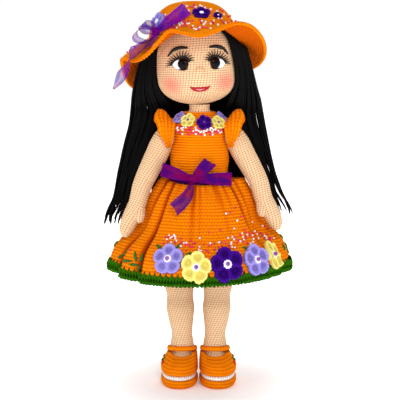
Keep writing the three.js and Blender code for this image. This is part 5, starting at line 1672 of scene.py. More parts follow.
def make_flowers(paints):
    buttons, pearls = Pile(), Pile()
    neck_surface = dress_front(2 * NECK_FLOWER_RADIUS)
    for index, place in enumerate(skirt_flower_shares):
        spot, reach, thick = make_flower(
            f"skirt_flower_{index + 1}", skirt_surface, place, SKIRT_FLOWER_RADIUS, paints, "torso")
        lay_button(buttons, spot, BUTTON_SHARE * reach, BUTTON_SEAT_SHARE * thick, BUTTON_THICKNESS)
        add_pearl(pearls, spot, PEARL_RADIUS, BUTTON_SEAT_SHARE * thick + PEARL_SINK_SHARE * BUTTON_THICKNESS)
    settle(buttons.mesh("skirt_flower_buttons", paints["button"]), "torso", "plain_plastic")
    for index, place in enumerate(neck_flower_shares):
        spot, reach, thick = make_flower(
            f"neck_flower_{index + 1}", neck_surface, place, NECK_FLOWER_RADIUS, paints, "torso")
        add_pearl(pearls, spot, NECK_PEARL_SHARE * PEARL_RADIUS, PEARL_SEAT_SHARE * thick)
    settle(pearls.mesh("dress_pearls", paints["pearl"]), "torso", "plain_plastic")
    centres = Pile()
    for index, place in enumerate(hat_flower_shares):
        spot, reach, thick = make_flower(
            f"hat_flower_{index + 1}", hat_surface, place, HAT_FLOWER_RADIUS, paints, "hat")
        lay_button(centres, spot, BUTTON_SHARE * reach, BUTTON_SEAT_SHARE * thick, BUTTON_THICKNESS)
    settle(centres.mesh("hat_flower_buttons", paints["button"]), "hat", "plain_plastic")


def add_pearl(pile, spot, radius, low):
    centre, base = [spot.lay(np.array(0.0), np.array(0.0), np.array(lift))
                    for lift in (low + PEARL_LIFT_SHARE * radius, low)]
    pile.ball(centre, radius, PEARL_SQUASH_SHARE, centre - base)


# Leaves beside the flowers and at both sides: pixel of the middle, heading in degrees, length share
LEAF_PIXELS = [
    [158.5, 246.7, 150, 0.9], [177.7, 247, 60, 0.85], [188.6, 254, 35, 0.7], [225.9, 249.5, 90, 0.7],
    [246.6, 248.6, 150, 0.9], [115.3, 251.4, 10, 1.1], [121.7, 245, 110, 1.1], [126.8, 252, 105, 1.05],
    [126.8, 261, 8, 1.2], [135.7, 256.5, 118, 1.2], [133.8, 264.8, 2, 1.1], [142, 257.8, 92, 1],
    [139.5, 268, 55, 0.7],
    [121, 256.5, 35, 0.8], [114.7, 243, 75, 0.8], [279, 243.5, 95, 0.8], [281.5, 236, 118, 0.8],
    [283.5, 247, 60, 0.8],
    [286.5, 245.5, 100, 0.9], [281, 252.5, 150, 0.8], [287.5, 251, 120, 0.8], [284, 257.5, 45, 0.7],
    [276.5, 249, 30, 0.7],
]


def make_leaves(green_satin):
    """Satin-stitched leaves: each is long and pointed, with threads slanting to its middle."""
    places = PhotoPlaces(skirt_surface, *LEAF_RANGE)
    pile = Pile()
    around = ring_turns(LEAF_SIDES)[None, :]
    along = np.linspace(-1, 1, LEAF_RINGS)[:, None]
    for x, y, heading, size in LEAF_PIXELS:
        turn, share = places.at(x, y)
        spot = Spot(skirt_surface, turn, min(share, LEAF_LAST_SHARE), math.radians(heading))
        width = LEAF_HALF_WIDTH * np.maximum(1 - np.abs(along) ** 4, 0.2) * (1 - 0.15 * along)
        across = LEAF_HALF_LENGTH * size * along + 0 * around
        lift = LEAF_HALF_WIDTH * 0.25 + width * 0.85 * np.sin(around)
        pile.rings(spot.lay(across, width * np.cos(around), lift), 6.0, 9.0)
    settle(pile.mesh("skirt_leaves", green_satin), "torso", "yarn_green")


# Beads: pixel bands [x, upper y, lower y, beads in every pixel across], and single beads above the flowers
SKIRT_BEAD_PIXELS = [
    [162, 235.5, 244, 0.8], [175, 235, 246, 1.3], [190, 240, 254, 1.2], [200, 246, 256, 1.4],
    [210, 243, 255, 1.2],
    [225, 239, 250, 1.3], [235, 234.5, 249, 1.7], [245, 231, 246, 2], [258, 232, 244, 2],
    [268, 234.5, 243, 2],
    [274, 237, 242, 1.6],
]
SPARE_BEAD_PIXELS = [
    [226, 214], [235.5, 208], [241.5, 217], [230, 212.8], [237, 221], [252, 222], [249, 225.5],
    [262, 226.3],
    [233.7, 228.6], [220.5, 230.5], [209, 232.6], [244.5, 230], [264.5, 226.4], [268.5, 229], [254, 231.4],
    [199.5, 238.2], [130, 250], [117, 258],
]
BODICE_BEAD_PIXELS = [
    [177, 126, 133, 3], [181, 125, 134.5, 4.4], [190, 127, 135, 4.2], [200, 128, 135.5, 4.4],
    [210, 127, 135, 4.4],
    [220, 125, 134.5, 4.4], [225, 126, 133, 3],
]
HAT_BEAD_PIXELS = [
    [163, 10, 13, 0.5], [172, 25, 31, 1.6], [183, 22, 26, 2], [190, 20, 28, 1.5], [197, 19, 31, 1.6],
    [205, 20, 30, 1.6],
    [212, 8, 29, 1.9], [222, 9, 27, 1.9], [230, 13, 24, 1.6], [238, 17, 23, 0.7],
]
HAT_TOP_BEAD_PIXELS = [
    [183, 6, 12, 0.7], [190, 5, 12, 1], [197, 5, 12, 1], [204, 6, 13, 1], [212, 8, 14, 1.2],
]
HAT_EDGE_BEAD_PIXELS = [
    [164.5, 33], [167.5, 30], [170.5, 27.5], [165, 37], [166.5, 41], [164, 45], [161.5, 47.5], [163.5, 39],
    [167, 35],
    [127, 52], [131.5, 48.5], [135, 47], [129.5, 50.5], [124.5, 55.5], [156, 50], [150, 53], [168.5, 31.5],
    [171, 29.5], [158, 49],
]


def band_pixels(rng, band):
    """Bead places in a band, at random but clear of each other."""
    table = np.array(band, float)
    found = []
    for x in np.arange(table[0, 0], table[-1, 0], BEAD_STEP_PIXELS):
        low, high, density = [np.interp(x, table[:, 0], table[:, column]) for column in (1, 2, 3)]
        for _ in range(rng.poisson(density * BEAD_STEP_PIXELS)):
            place = (x + BEAD_STRAY_PIXELS * rng.random(), low + (high - low) * rng.random())
            apart = [abs(place[0] - other[0]) + abs(place[1] - other[1]) for other in found]
            if min(apart, default=IMAGE_PIXELS) > BEAD_APART_PIXELS:
                found.append(place)
    return found


def make_beads(name, pixels, places, rng, paints, body):
    """White and red glass beads sewn down at pixels of the photograph."""
    piles = {"white_bead": Pile(), "red_bead": Pile()}
    for x, y in pixels:
        turn, share = places.at(x, y)
        size = BEAD_RADIUS * (BEAD_LEAST_SHARE + BEAD_UNEVEN_SHARE * rng.random())
        here = (np.array(turn), np.array(min(share, BEAD_LAST_SHARE)))
        lifts = (0.0, BEAD_LIFT_SHARE * size)
        base, centre = [lifted(places.surface, *here, np.array(lift)) for lift in lifts]
        kind = "white_bead" if rng.random() < WHITE_BEAD_SHARE else "red_bead"
        piles[kind].ball(centre, size, BEAD_SQUASH_SHARE, centre - base)
    for kind, pile in piles.items():
        settle(pile.mesh(f"{name}_{kind}s", paints[kind]), body, "plain_plastic")


def make_all_beads(paints):
    rng = np.random.default_rng(BEAD_SEED)
    skirt_places = PhotoPlaces(skirt_surface, *SKIRT_BEAD_RANGE)
    skirt_pixels = band_pixels(rng, SKIRT_BEAD_PIXELS) + SPARE_BEAD_PIXELS
    make_beads("skirt", skirt_pixels, skirt_places, rng, paints, "torso")
    bodice_places = PhotoPlaces(dress_front(NECK_BASE - WAIST), *BODICE_BEAD_RANGE)
    make_beads("bodice", band_pixels(rng, BODICE_BEAD_PIXELS), bodice_places, rng, paints, "torso")
    hat_places = PhotoPlaces(hat_surface, *HAT_BEAD_RANGE)
    hat_pixels = band_pixels(rng, HAT_BEAD_PIXELS)
    hat_pixels = hat_pixels + band_pixels(rng, HAT_TOP_BEAD_PIXELS) + HAT_EDGE_BEAD_PIXELS
    make_beads("hat", hat_pixels, hat_places, rng, paints, "hat")


# Ribbons

def ribbon_grid(points, width_shares, across, beat, steps=RIBBON_STEPS, twists=None):
    """A ribbon along points, with its half width at each as a share, and soft lengthwise creases."""
    points = np.array([tuple(point) for point in points])
    places = np.linspace(0, 1, len(points))
    table = SmoothTable(np.column_stack([places, points, width_shares, twists or [0] * len(points)]))
    share = np.linspace(0, 1, steps)
    x, y, z, width, twist = table(share)
    path = np.stack([x, y, z], axis=-1)
    along = unit(np.gradient(path, axis=0))
    out = unit(np.cross(along, np.asarray(across)[None, :]))
    flat = np.cross(out, along)
    turned = flat * np.cos(twist)[:, None] + out * np.sin(twist)[:, None]
    turned_out = out * np.cos(twist)[:, None] - flat * np.sin(twist)[:, None]
    side = np.linspace(-1, 1, RIBBON_COLUMNS)
    squeeze = 1 - np.clip(width, 0, 1)
    crease = np.sin(side[None, :] * beat * (1 + 0.2 * share[:, None]) + share[:, None] * 4)
    height = RIBBON_RIPPLE * (0.3 + 1.8 * squeeze[:, None]) * crease
    wide = turned[:, None] * (RIBBON_HALF_WIDTH * width[:, None] * side)[..., None]
    return path[:, None] + wide + turned_out[:, None] * height[..., None]


class Sheets:
    """Gathers grids of thin cloth into one piece, with across and along coordinates for its edges."""

    def __init__(self):
        self.points, self.faces, self.corners, self.count, self.area = [], [], [], 0, 0.0

    def add(self, grid, notch=0.0, slant=0.0):
        """Adds a grid; its end is cut with a notch, and slanting so that one corner reaches further."""
        rows, columns, _ = grid.shape
        if notch:
            side = np.linspace(-1, 1, columns)
            pull = np.clip((np.linspace(0, 1, rows) - 1 + notch) / notch, 0, 1)[:, None]
            pull = pull * (1 - np.abs(side) - slant * side)[None, :]
            ahead = np.gradient(grid, axis=0) * rows * notch * 0.8
            grid = grid - ahead * pull[..., None]
        self.faces += (grid_faces(rows, columns, False) + self.count).tolist()
        left, top = np.arange(columns - 1) / (columns - 1), np.arange(rows - 1) / (rows - 1)
        self.corners.append(grid_corners(left, left + 1 / (columns - 1), top, top + 1 / (rows - 1)))
        self.points.append(grid.reshape(-1, 3))
        self.count += rows * columns
        sides = np.linalg.norm(np.diff(grid, axis=0), axis=-1).mean(axis=1)
        widths = np.linalg.norm(np.diff(grid, axis=1), axis=-1).sum(axis=1)
        self.area += float((sides * widths[:-1]).sum())

    def mesh(self, name, material):
        points, corners = np.concatenate(self.points), np.concatenate(self.corners)
        return mesh_object(name, points, self.faces, material, corners)


def from_knot(knot, shares):
    return knot + np.array(shares) * RIBBON_HALF_WIDTH


def loop_points(knot, reach, across, belly):
    """A loop from the knot to its tip and back, its two halves apart by the belly."""
    tip = knot + reach
    apart = unit(np.cross(reach, across)) * belly
    half = knot + LOOP_BELLY_SHARE * reach
    near = LOOP_END_SHARE * apart
    return [knot + near, half + apart, tip + near, tip - near, half - apart, knot - near]


loop_width_shares = [0.35, 0.85, 1, 1, 0.85, 0.35]


def add_loops(sheets, knot, loop_shares, seed):
    rng = np.random.default_rng(seed)
    for x, y, z, across_x, across_y, across_z, belly in loop_shares:
        across = unit(np.array([across_x, across_y, across_z], float))
        reach = np.array([x, y, z]) * RIBBON_HALF_WIDTH
        points = loop_points(knot, reach, across, belly * RIBBON_HALF_WIDTH)
        sheets.add(ribbon_grid(points, loop_width_shares, across, 7 + 2 * rng.random()))


def lay_knot(sheets, knot):
    """A band of gathered ribbon wrapped round the middle of a bow."""
    turn = np.linspace(0, 2 * math.pi, KNOT_ROWS)[:, None]
    side = np.linspace(-1, 1, KNOT_COLUMNS)[None, :]
    belly = 1 - 0.25 * side**2 + 0.07 * np.sin(side * 13 + 2 * turn)
    wide, deep, tall = [share * KNOT_HALF_WIDTH for share in KNOT_SHARES]
    x = wide * side * (1 + 0.06 * np.sin(3 * turn))
    y, z = -deep * belly * np.cos(turn), tall * belly * np.sin(turn)
    sheets.add(knot + stack(x, y, z))


# Loops: reach from the knot, the direction across the ribbon, and how far its halves stand apart
waist_loop_shares = [
    [-4.4, -0.3, 1.4, 0.2, 0, 1, 0.35], [2.5, -0.2, 2.45, 1, 0, -0.45, 0.35], [5.6, 0, 0, 0, 0, 1, 0.25],
]
# Tails: places from the knot, and the half width at each
waist_tail_shares = [[0, 0, -0.3], [-0.6, -2.2, -2.0], [-1.7, -3.2, -3.2], [-2.75, -3.7, -4.1]]
waist_tail_width_shares = [0.3, 0.8, 1, 1]


def make_waist_bow(organza):
    front = WAIST_HALF_DEPTH + 3 * GAP + DRESS_THICKNESS + SASH_THICKNESS + BOW_STAND_OFF
    rise = SASH_KNOT_RISE_SHARE * SASH_HEIGHT
    knot = np.array([WAIST_KNOT_SHARE * RIBBON_HALF_WIDTH, -front, WAIST + rise])
    sheets = Sheets()
    add_loops(sheets, knot, waist_loop_shares, WAIST_BOW_SEED)
    tail = [from_knot(knot, shares) for shares in waist_tail_shares]
    across = unit(np.array(WAIST_TAIL_ACROSS))
    sheets.add(ribbon_grid(tail, waist_tail_width_shares, across, 5), WAIST_TAIL_NOTCH, WAIST_TAIL_SLANT)
    lay_knot(sheets, knot)
    bow = sheets.mesh("waist_bow_ribbon", organza)
    settle(bow, "torso", "organza", "waist_bow")


def make_sash(organza):
    """Organza gathered round the waist, with uneven crumpled edges."""
    turn = np.linspace(0, 2 * math.pi, SASH_COLUMNS)[None, :]
    rise = np.linspace(0, 1, SASH_ROWS)[:, None]
    grow = 2 * GAP + DRESS_THICKNESS + SASH_THICKNESS * SASH_SEAT_SHARE
    short_folds, long_folds, pleats = SASH_FOLDS
    crumple = np.sin(turn * short_folds + rise * 5) * np.sin(rise * 9 + 3 * np.sin(turn * long_folds))
    crumple = SASH_CREASE * (crumple + 0.6 * np.sin(rise * pleats))
    wide_waves, small_waves = SASH_EDGE_WAVES
    edge = np.sin(turn * wide_waves) + 0.6 * np.sin(turn * small_waves + 1)
    edge = SASH_CREASE * edge * (2 * rise - 1)
    x = (WAIST_HALF_WIDTH + grow + crumple) * np.sin(turn)
    y = -(WAIST_HALF_DEPTH + grow + crumple) * np.cos(turn)
    z = WAIST + GAP + SASH_HEIGHT * rise + edge
    sheets = Sheets()
    sheets.add(np.swapaxes(stack(x, y, z), 0, 1))
    sash = sheets.mesh("waist_sash_ribbon", organza)
    settle(sash, "torso", "organza", "waist_sash")


hat_knot_shares = [-0.9, -0.95, 0.95]
hat_loop_shares = [
    [4.3, -1.25, 3.1, -0.9, 0, 1, 0.4], [-2.9, -0.4, -0.7, 0.45, -0.8, 0.35, 1.1],
    [-1.9, -0.2, 1, 0.6, -0.7, 0.5, 0.7],
]
# The long tail: degrees round and share out over the brim, then places from the knot, with twists in radians
over_brim_shares = [[-48, 0.76], [-51, 0.92], [-53, 1.02]]
hanging_shares = [[-4.9, -1.5, -6.2], [-6.2, -1.2, -8.3]]
hat_tail_width_shares = [0.6, 1.45, 1.6, 1.7, 1.4, 0.14]
tail_turns = [0, 0.4, 0.7, 0.6, 0, -0.1]
flap_shares = [[-41, 0.76], [-41, 0.96]]
flap_width_shares = [0.5, 1.1, 1.25]


def above_hat(degrees, out):
    return lifted(hat_surface, np.array(math.radians(degrees)), np.array(out), np.array(BOW_STAND_OFF))


def make_hat_bow(organza):
    knot = from_knot(hat_surface(np.array(HAT_KNOT_TURN), np.array(CROWN_END_SHARE)), hat_knot_shares)
    ahead, behind = [hat_surface(np.array(HAT_KNOT_TURN + step), np.array(0.9)) for step in (0.1, -0.1)]
    along_brim = unit(ahead - behind)
    sheets = Sheets()
    add_loops(sheets, knot, hat_loop_shares, HAT_BOW_SEED)
    tail = [knot, *[above_hat(*place) for place in over_brim_shares]]
    tail = tail + [from_knot(knot, place) for place in hanging_shares]
    sheets.add(ribbon_grid(tail, hat_tail_width_shares, along_brim, 5, LONG_RIBBON_STEPS, tail_turns))
    flap = [knot, *[above_hat(*place) for place in flap_shares]]
    sheets.add(ribbon_grid(flap, flap_width_shares, along_brim, 6, SHORT_RIBBON_STEPS), HAT_FLAP_NOTCH)
    lay_knot(sheets, knot)
    bow = sheets.mesh("hat_bow_ribbon", organza)
    settle(bow, "hat", "organza", "hat_bow")


# Face

def face_point(x, height, lift=0.0):
    """A place on the face across and up from the chin, in the doll's own frame."""
    x, height, lift = [np.asarray(value, float) for value in (x, height, lift)]
    share = height / HEAD_HEIGHT
    wide, deep = head_round(share) * HEAD_HALF_WIDTH, head_round(share) * HEAD_HALF_DEPTH
    depth = deep * np.sqrt(np.clip(1 - (x / wide) ** 2, 0, 1))
    slope = 1.6 * (share - 0.42) / HEAD_HEIGHT
    normal = unit(stack(x / HEAD_HALF_WIDTH**2, -depth / HEAD_HALF_DEPTH**2, slope))
    return transformed(stack(HEAD_SHIFT + x, -depth, height) + normal * lift[..., None], HEAD_PLACE)


def thread(pile, places, radius_shares, radius, lift_share, flat_share=1.0, steps=THREAD_STEPS):
    """A rounded thread through places across and up the face, thinner towards its ends."""
    places = np.array(places, float)
    table = SmoothTable(np.column_stack([np.linspace(0, 1, len(places)), places, radius_shares]))
    x, height, thick = table(np.linspace(0, 1, steps))
    thick = np.maximum(thick, 0.06) * radius
    middle = face_point(x, height, lift_share * thick)
    above = face_point(x, height, lift_share * thick + radius)
    out = unit(above - middle)
    side = unit(np.cross(unit(np.gradient(middle, axis=0)), out))
    around = ring_turns(THREAD_SIDES)[None, :, None]
    ring = side[:, None] * np.cos(around) + out[:, None] * np.sin(around) * flat_share
    pile.rings(middle[:, None] + ring * thick[:, None, None], 2.0, steps)


def eye_frame(side):
    """Turns points across, up and out from the middle of an eye into the doll's frame."""
    x = side * EYE_SPACING / 2
    base, out = face_point(x, EYE_HEIGHT), face_point(x, EYE_HEIGHT, EYE_RADIUS)
    outward = unit(out - base)
    across = unit(np.cross(np.array([0, 0, 1.0]), outward))
    up = np.cross(outward, across)
    return base, across, up, outward


def in_frame(frame_of, x, y, z):
    base, across, up, outward = frame_of
    x, y, z = np.broadcast_arrays(x, y, z)
    return base + across * x[..., None] + up * y[..., None] + outward * z[..., None]


eye_shares = [[0.05, 1], [0.3, 0.97], [0.52, 0.88], [0.7, 0.74], [0.84, 0.55], [0.94, 0.33], [1, 0.12]]


def make_eye(side, side_name, paints):
    seat = eye_frame(side)
    around = ring_turns(40)[None, :]
    shares = np.array(eye_shares)
    reach, rise = EYE_RADIUS * shares[:, :1], EYE_BULGE * shares[:, 1:]
    dome = Pile()
    rings = in_frame(seat, reach * np.cos(around), reach * np.sin(around), rise)
    back = in_frame(seat, reach[-1:] * np.cos(around), reach[-1:] * np.sin(around), 0 * rise[-1:])
    dome.rings(np.concatenate([rings, back]), 1.0, len(shares))
    settle(dome.mesh(f"eye_{side_name}_dome", paints["eye"]), "head", "eye_plastic", f"eye_{side_name}")
    make_eye_white(side, side_name, seat, paints)
    make_lashes(side, side_name, seat, paints)


def make_eye_white(side, side_name, seat, paints):
    """White of the eye: a pointed oval of felt that reaches to the outer corner."""
    around = ring_turns(EYE_WHITE_COLUMNS)[None, :]
    point = np.clip(np.cos(around), 0, 1) ** 3
    reach, rise = np.array(eye_white_shares).T[..., None]
    rise = WHITE_THICKNESS * rise
    longer, narrower = EYE_WHITE_POINT_SHARES
    x = side * (EYE_WHITE_OUT + EYE_WHITE_HALF_WIDTH * reach * (np.cos(around) + longer * point))
    y = EYE_WHITE_UP + EYE_WHITE_HALF_HEIGHT * reach * np.sin(around) * (1 - narrower * point)
    sink = (x - side * EYE_WHITE_OUT) ** 2 / HEAD_HALF_WIDTH
    rings = in_frame(seat, x, y, rise - sink)
    if side < 0:
        rings = rings[:, ::-1]
    white = Pile()
    white.rings(rings, 1.0, 1.0)
    felt = white.mesh(f"eye_white_{side_name}_felt", paints["felt"])
    settle(felt, "head", "felt_white", f"eye_white_{side_name}")


def lid_point(degrees, stretch_share, rise_share=1.0):
    """A place on the line of a lid round the eye, drawn outward by a share."""
    angle = math.radians(degrees)
    stretch = 1 + LID_STRETCH_SHARE * stretch_share
    return np.array([LID_RADIUS * stretch * math.cos(angle), rise_share * LID_RADIUS * math.sin(angle)])


def make_lashes(side, side_name, seat, paints):
    """A thick upper lid, a thin lower one and lashes that fan outward, longest at the outer corner."""
    pile = Pile()
    lid, lower = [], []
    for share, degrees in zip(np.linspace(0, 1, len(LID_DEGREES)), LID_DEGREES):
        lid.append(lid_point(degrees, share**2))
    for share, degrees in zip(np.linspace(1, 0, len(LOWER_LID_DEGREES)), LOWER_LID_DEGREES):
        lower.append(lid_point(degrees, LOWER_LID_SHARE * share**2, LOWER_LID_RISE_SHARE))
    add_face_line(pile, side, lid, [0.3] + [1] * (len(lid) - 2) + [0.5])
    add_face_line(pile, side, lower, [0.5] + [0.45] * (len(lower) - 2) + [0.2])
    for share, degrees in zip(np.linspace(0, 1, len(LASH_DEGREES)), LASH_DEGREES):
        root = lid_point(degrees, share**2)
        heading = math.radians(degrees) + LASH_FAN * (1 - 2 * share)
        reach = LASH_LENGTH * (0.75 + 0.5 * math.sin(math.pi * min(share + 0.2, 1) * 0.9))
        tip = root + reach * np.array([math.cos(heading), math.sin(heading)])
        aside = np.array([math.sin(heading), -math.cos(heading)])
        bend = (root + tip) / 2 + LASH_BEND_SHARE * reach * aside
        lifts = zip((root, bend, tip), LASH_LIFTS)
        add_lash(pile, side, seat, [[*place, lift] for place, lift in lifts])
    lashes = pile.mesh(f"lashes_{side_name}_thread", paints["thread"])
    settle(lashes, "head", "thread_black", f"lashes_{side_name}")


def add_face_line(pile, side, points, radius_shares):
    places = [[side * (EYE_SPACING / 2 + x), EYE_HEIGHT + y] for x, y in points]
    thread(pile, places, radius_shares, LID_THREAD_RADIUS, 0.8)


def add_lash(pile, side, seat, points):
    """One lash through points of the eye's frame, the third value being its stand off in thread radii."""
    table = SmoothTable([[index, x, y, out] for index, (x, y, out) in enumerate(points)])
    x, y, out = table(np.linspace(0, len(points) - 1, LASH_STEPS))
    places = face_point(side * (EYE_SPACING / 2 + x), EYE_HEIGHT + y, out * LID_THREAD_RADIUS)
    along = unit(np.gradient(places, axis=0))
    one = unit(np.cross(along, seat[3][None, :]))
    two = np.cross(along, one)
    thick = LASH_RADIUS * np.linspace(1, 0.3, LASH_STEPS)[:, None, None]
    around = ring_turns(LASH_SIDES)[None, :, None]
    ring = one[:, None] * np.cos(around) + two[:, None] * np.sin(around)
    pile.rings(places[:, None] + ring * thick, 1.0, 1.0)


# Brows, lips and smile: places across and up, then how thick the thread is at each
brow_shares = [[-1, 0.88], [-0.4, 1], [0.1, 0.8], [0.5, 0.35], [1, -1]]
brow_thickness_shares = [1, 1.9, 2.1, 1.8, 0.9]
upper_lip_shares = [
    [-1, 0.62], [-0.55, 0.05], [-0.18, -0.02], [0, -0.14], [0.18, -0.02], [0.55, 0.05], [1, 0.62],
]
upper_lip_thickness_shares = [0.3, 0.75, 0.9, 0.7, 0.9, 0.75, 0.3]
lower_lip_shares = [[-1, 0.62], [-0.6, -0.55], [0, -1.05], [0.6, -0.55], [1, 0.62]]
lower_lip_thickness_shares = [0.3, 0.9, 1, 0.9, 0.3]
smile_shares = [[-0.62, -0.1], [0, -0.5], [0.62, -0.1]]
smile_thickness_shares = [0.2, 1, 0.2]


def make_brow(side, side_name, paints):
    pile = Pile()
    middle = side * BROW_SPACING / 2
    places = [[middle + side * x * BROW_HALF_SPAN, BROW_HEIGHT + y * BROW_ARCH] for x, y in brow_shares]
    thread(pile, places, brow_thickness_shares, THREAD_RADIUS, 0.35, 0.8, 30)
    brow = pile.mesh(f"brow_{side_name}_thread", paints["thread"])
    settle(brow, "head", "thread_black", f"brow_{side_name}")


def make_mouth(paints):
    def mouth_places(shares):
        return [[x * MOUTH_HALF_SPAN, MOUTH_HEIGHT + y * MOUTH_SAG] for x, y in shares]

    lips, inside = Pile(), Pile()
    for shares, thickness_shares in (
            (upper_lip_shares, upper_lip_thickness_shares), (lower_lip_shares, lower_lip_thickness_shares)):
        thread(lips, mouth_places(shares), thickness_shares, OUTER_LIP_SHARE * LIP_RADIUS, 0.5, 0.8,
               LONG_THREAD_STEPS)
    thread(inside, mouth_places(smile_shares), smile_thickness_shares, LIP_RADIUS, 0.1, 0.5, 20)
    settle(lips.mesh("lips_thread", paints["lips"]), "head", "yarn_red", "mouth")
    settle(inside.mesh("smile_thread", paints["smile"]), "head", "felt_white")


# Hair

def strand_tubes(name, paths, radii, sides, material):
    """One mesh of round tubes along paths that have the same number of points, with a radius at each."""
    paths = np.asarray(paths)
    strands, length, _ = paths.shape
    along = unit(np.gradient(paths, axis=1))
    across = unit(np.cross(along, np.array([0.31, 1.0, 0.17])))
    third = np.cross(along, across)
    turns = ring_turns(sides)
    rings = (paths[:, :, None, :]
             + across[:, :, None, :] * (np.cos(turns)[None, None, :, None] * radii[:, :, None, None])
             + third[:, :, None, :] * (np.sin(turns)[None, None, :, None] * radii[:, :, None, None]))
    points = rings.reshape(-1, 3)
    one = grid_faces(length, sides, True)
    starts = np.arange(strands)[:, None, None] * length * sides
    faces = (one[None] + starts).reshape(-1, 4)
    step = np.arange(length - 1)[:, None, None]
    side = np.arange(sides)[None, :, None]
    u = np.array([0, 1, 1, 0])[None, None, :] + side
    v = np.array([0, 0, 1, 1])[None, None, :] + step
    corner = np.stack(np.broadcast_arrays(u / sides, v), axis=-1).reshape(-1, 2)
    corners = np.tile(corner, (strands, 1))
    return mesh_object(name, points, faces, material, corners)


# Side hair by its drop: inner and outer edge, front at each, and depth, as shares of how far it reaches
right_hair_shares = SmoothTable([
    [0, 0.06, 0.22, -0.25, -0.1, 0.22], [0.06, 0.215, 0.37, -0.25, -0.08, 0.22],
    [0.12, 0.29, 0.45, -0.235, -0.07, 0.24],
    [0.21, 0.345, 0.51, -0.2, -0.06, 0.26], [0.28, 0.365, 0.55, -0.16, -0.05, 0.28],
    [0.355, 0.35, 0.59, -0.1, -0.02, 0.28],
    [0.42, 0.3, 0.63, -0.04, 0.02, 0.28], [0.465, 0.27, 0.65, 0.115, 0.13, 0.26],
    [0.55, 0.3, 0.68, 0.15, 0.15, 0.23],
    [0.665, 0.45, 0.73, 0.155, 0.16, 0.18], [0.87, 0.6, 0.86, 0.21, 0.21, 0.13],
    [1, 0.76, 0.98, 0.24, 0.24, 0.1],
])
left_hair_shares = SmoothTable([
    [0, 0.06, 0.22, -0.2, -0.1, 0.22], [0.06, 0.29, 0.38, -0.16, -0.06, 0.22],
    [0.11, 0.375, 0.49, -0.1, -0.04, 0.24],
    [0.2, 0.43, 0.585, -0.04, -0.03, 0.26], [0.27, 0.43, 0.635, -0.05, -0.03, 0.28],
    [0.34, 0.4, 0.665, -0.06, -0.02, 0.28],
    [0.4, 0.33, 0.685, 0, 0.04, 0.28], [0.44, 0.28, 0.7, 0.165, 0.17, 0.21],
    [0.52, 0.34, 0.725, 0.2, 0.2, 0.18],
    [0.635, 0.47, 0.79, 0.16, 0.16, 0.18], [0.83, 0.63, 0.88, 0.21, 0.21, 0.13],
    [1, 0.78, 0.98, 0.24, 0.24, 0.1],
])
SIDE_HAIR_SHARES = {-1: left_hair_shares, 1: right_hair_shares}


def clear_of_head(points, grow):
    """Pushes points out of the head, straight away from its middle line."""
    local = transformed(points, HEAD_PLACE.inverted())
    share = np.clip(local[..., 2] / HEAD_HEIGHT, HEAD_TIP_SHARE, 1 - HEAD_TIP_SHARE)
    wide = head_round(share) * HEAD_HALF_WIDTH + grow
    deep = head_round(share) * HEAD_HALF_DEPTH + grow
    x, y = local[..., 0] - HEAD_SHIFT, local[..., 1]
    inside = np.sqrt((x / wide) ** 2 + (y / deep) ** 2)
    push = np.where((inside < 1) & (local[..., 2] > 0), 1 / np.maximum(inside, 0.2), 1)
    moved = stack(HEAD_SHIFT + x * push, y * push, local[..., 2])
    return transformed(moved, HEAD_PLACE)


def under_hat(points):
    """Lowers points that would come through the hat, so that they lie against its underside."""
    x, y = points[..., 0] - HAT_SHIFT, points[..., 1]
    turn, radius = np.arctan2(x, -y), np.hypot(x, y)
    shares = np.linspace(0, 1, CROWN_STEPS)
    crown_radius, _ = crown_shares(shares)
    on_crown = CROWN_END_SHARE * np.interp(radius / CROWN_RADIUS, crown_radius, shares)
    on_brim = CROWN_END_SHARE + (1 - CROWN_END_SHARE) * (radius - CROWN_RADIUS) / brim_reach(turn)
    out = np.where(radius < CROWN_RADIUS, on_crown, on_brim)
    below = HAT_THICKNESS + HAIR_UNDER_HAT
    ceiling = hat_surface(turn, np.clip(out, 0, 1))[..., 2] - below
    height = points[..., 2]
    return stack(points[..., 0], y, np.where(out < UNDER_HAT_SHARE, np.minimum(height, ceiling), height))


def tapered(down):
    """How thick a strand is along its length: full, and half as thick at its end."""
    return np.clip((1 + HAIR_TIP_SHARE - down) / HAIR_TAPER_SHARE, 0.5, 1)


def hang_hair(name, paths, radii, hair_yarn, *nodes):
    """Hair strands as one mesh left in place, which hides the solids that it stands for."""
    hair = strand_tubes(name, paths, np.array(radii), HAIR_SIDES, hair_yarn)
    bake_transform(hair)
    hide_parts(*nodes)


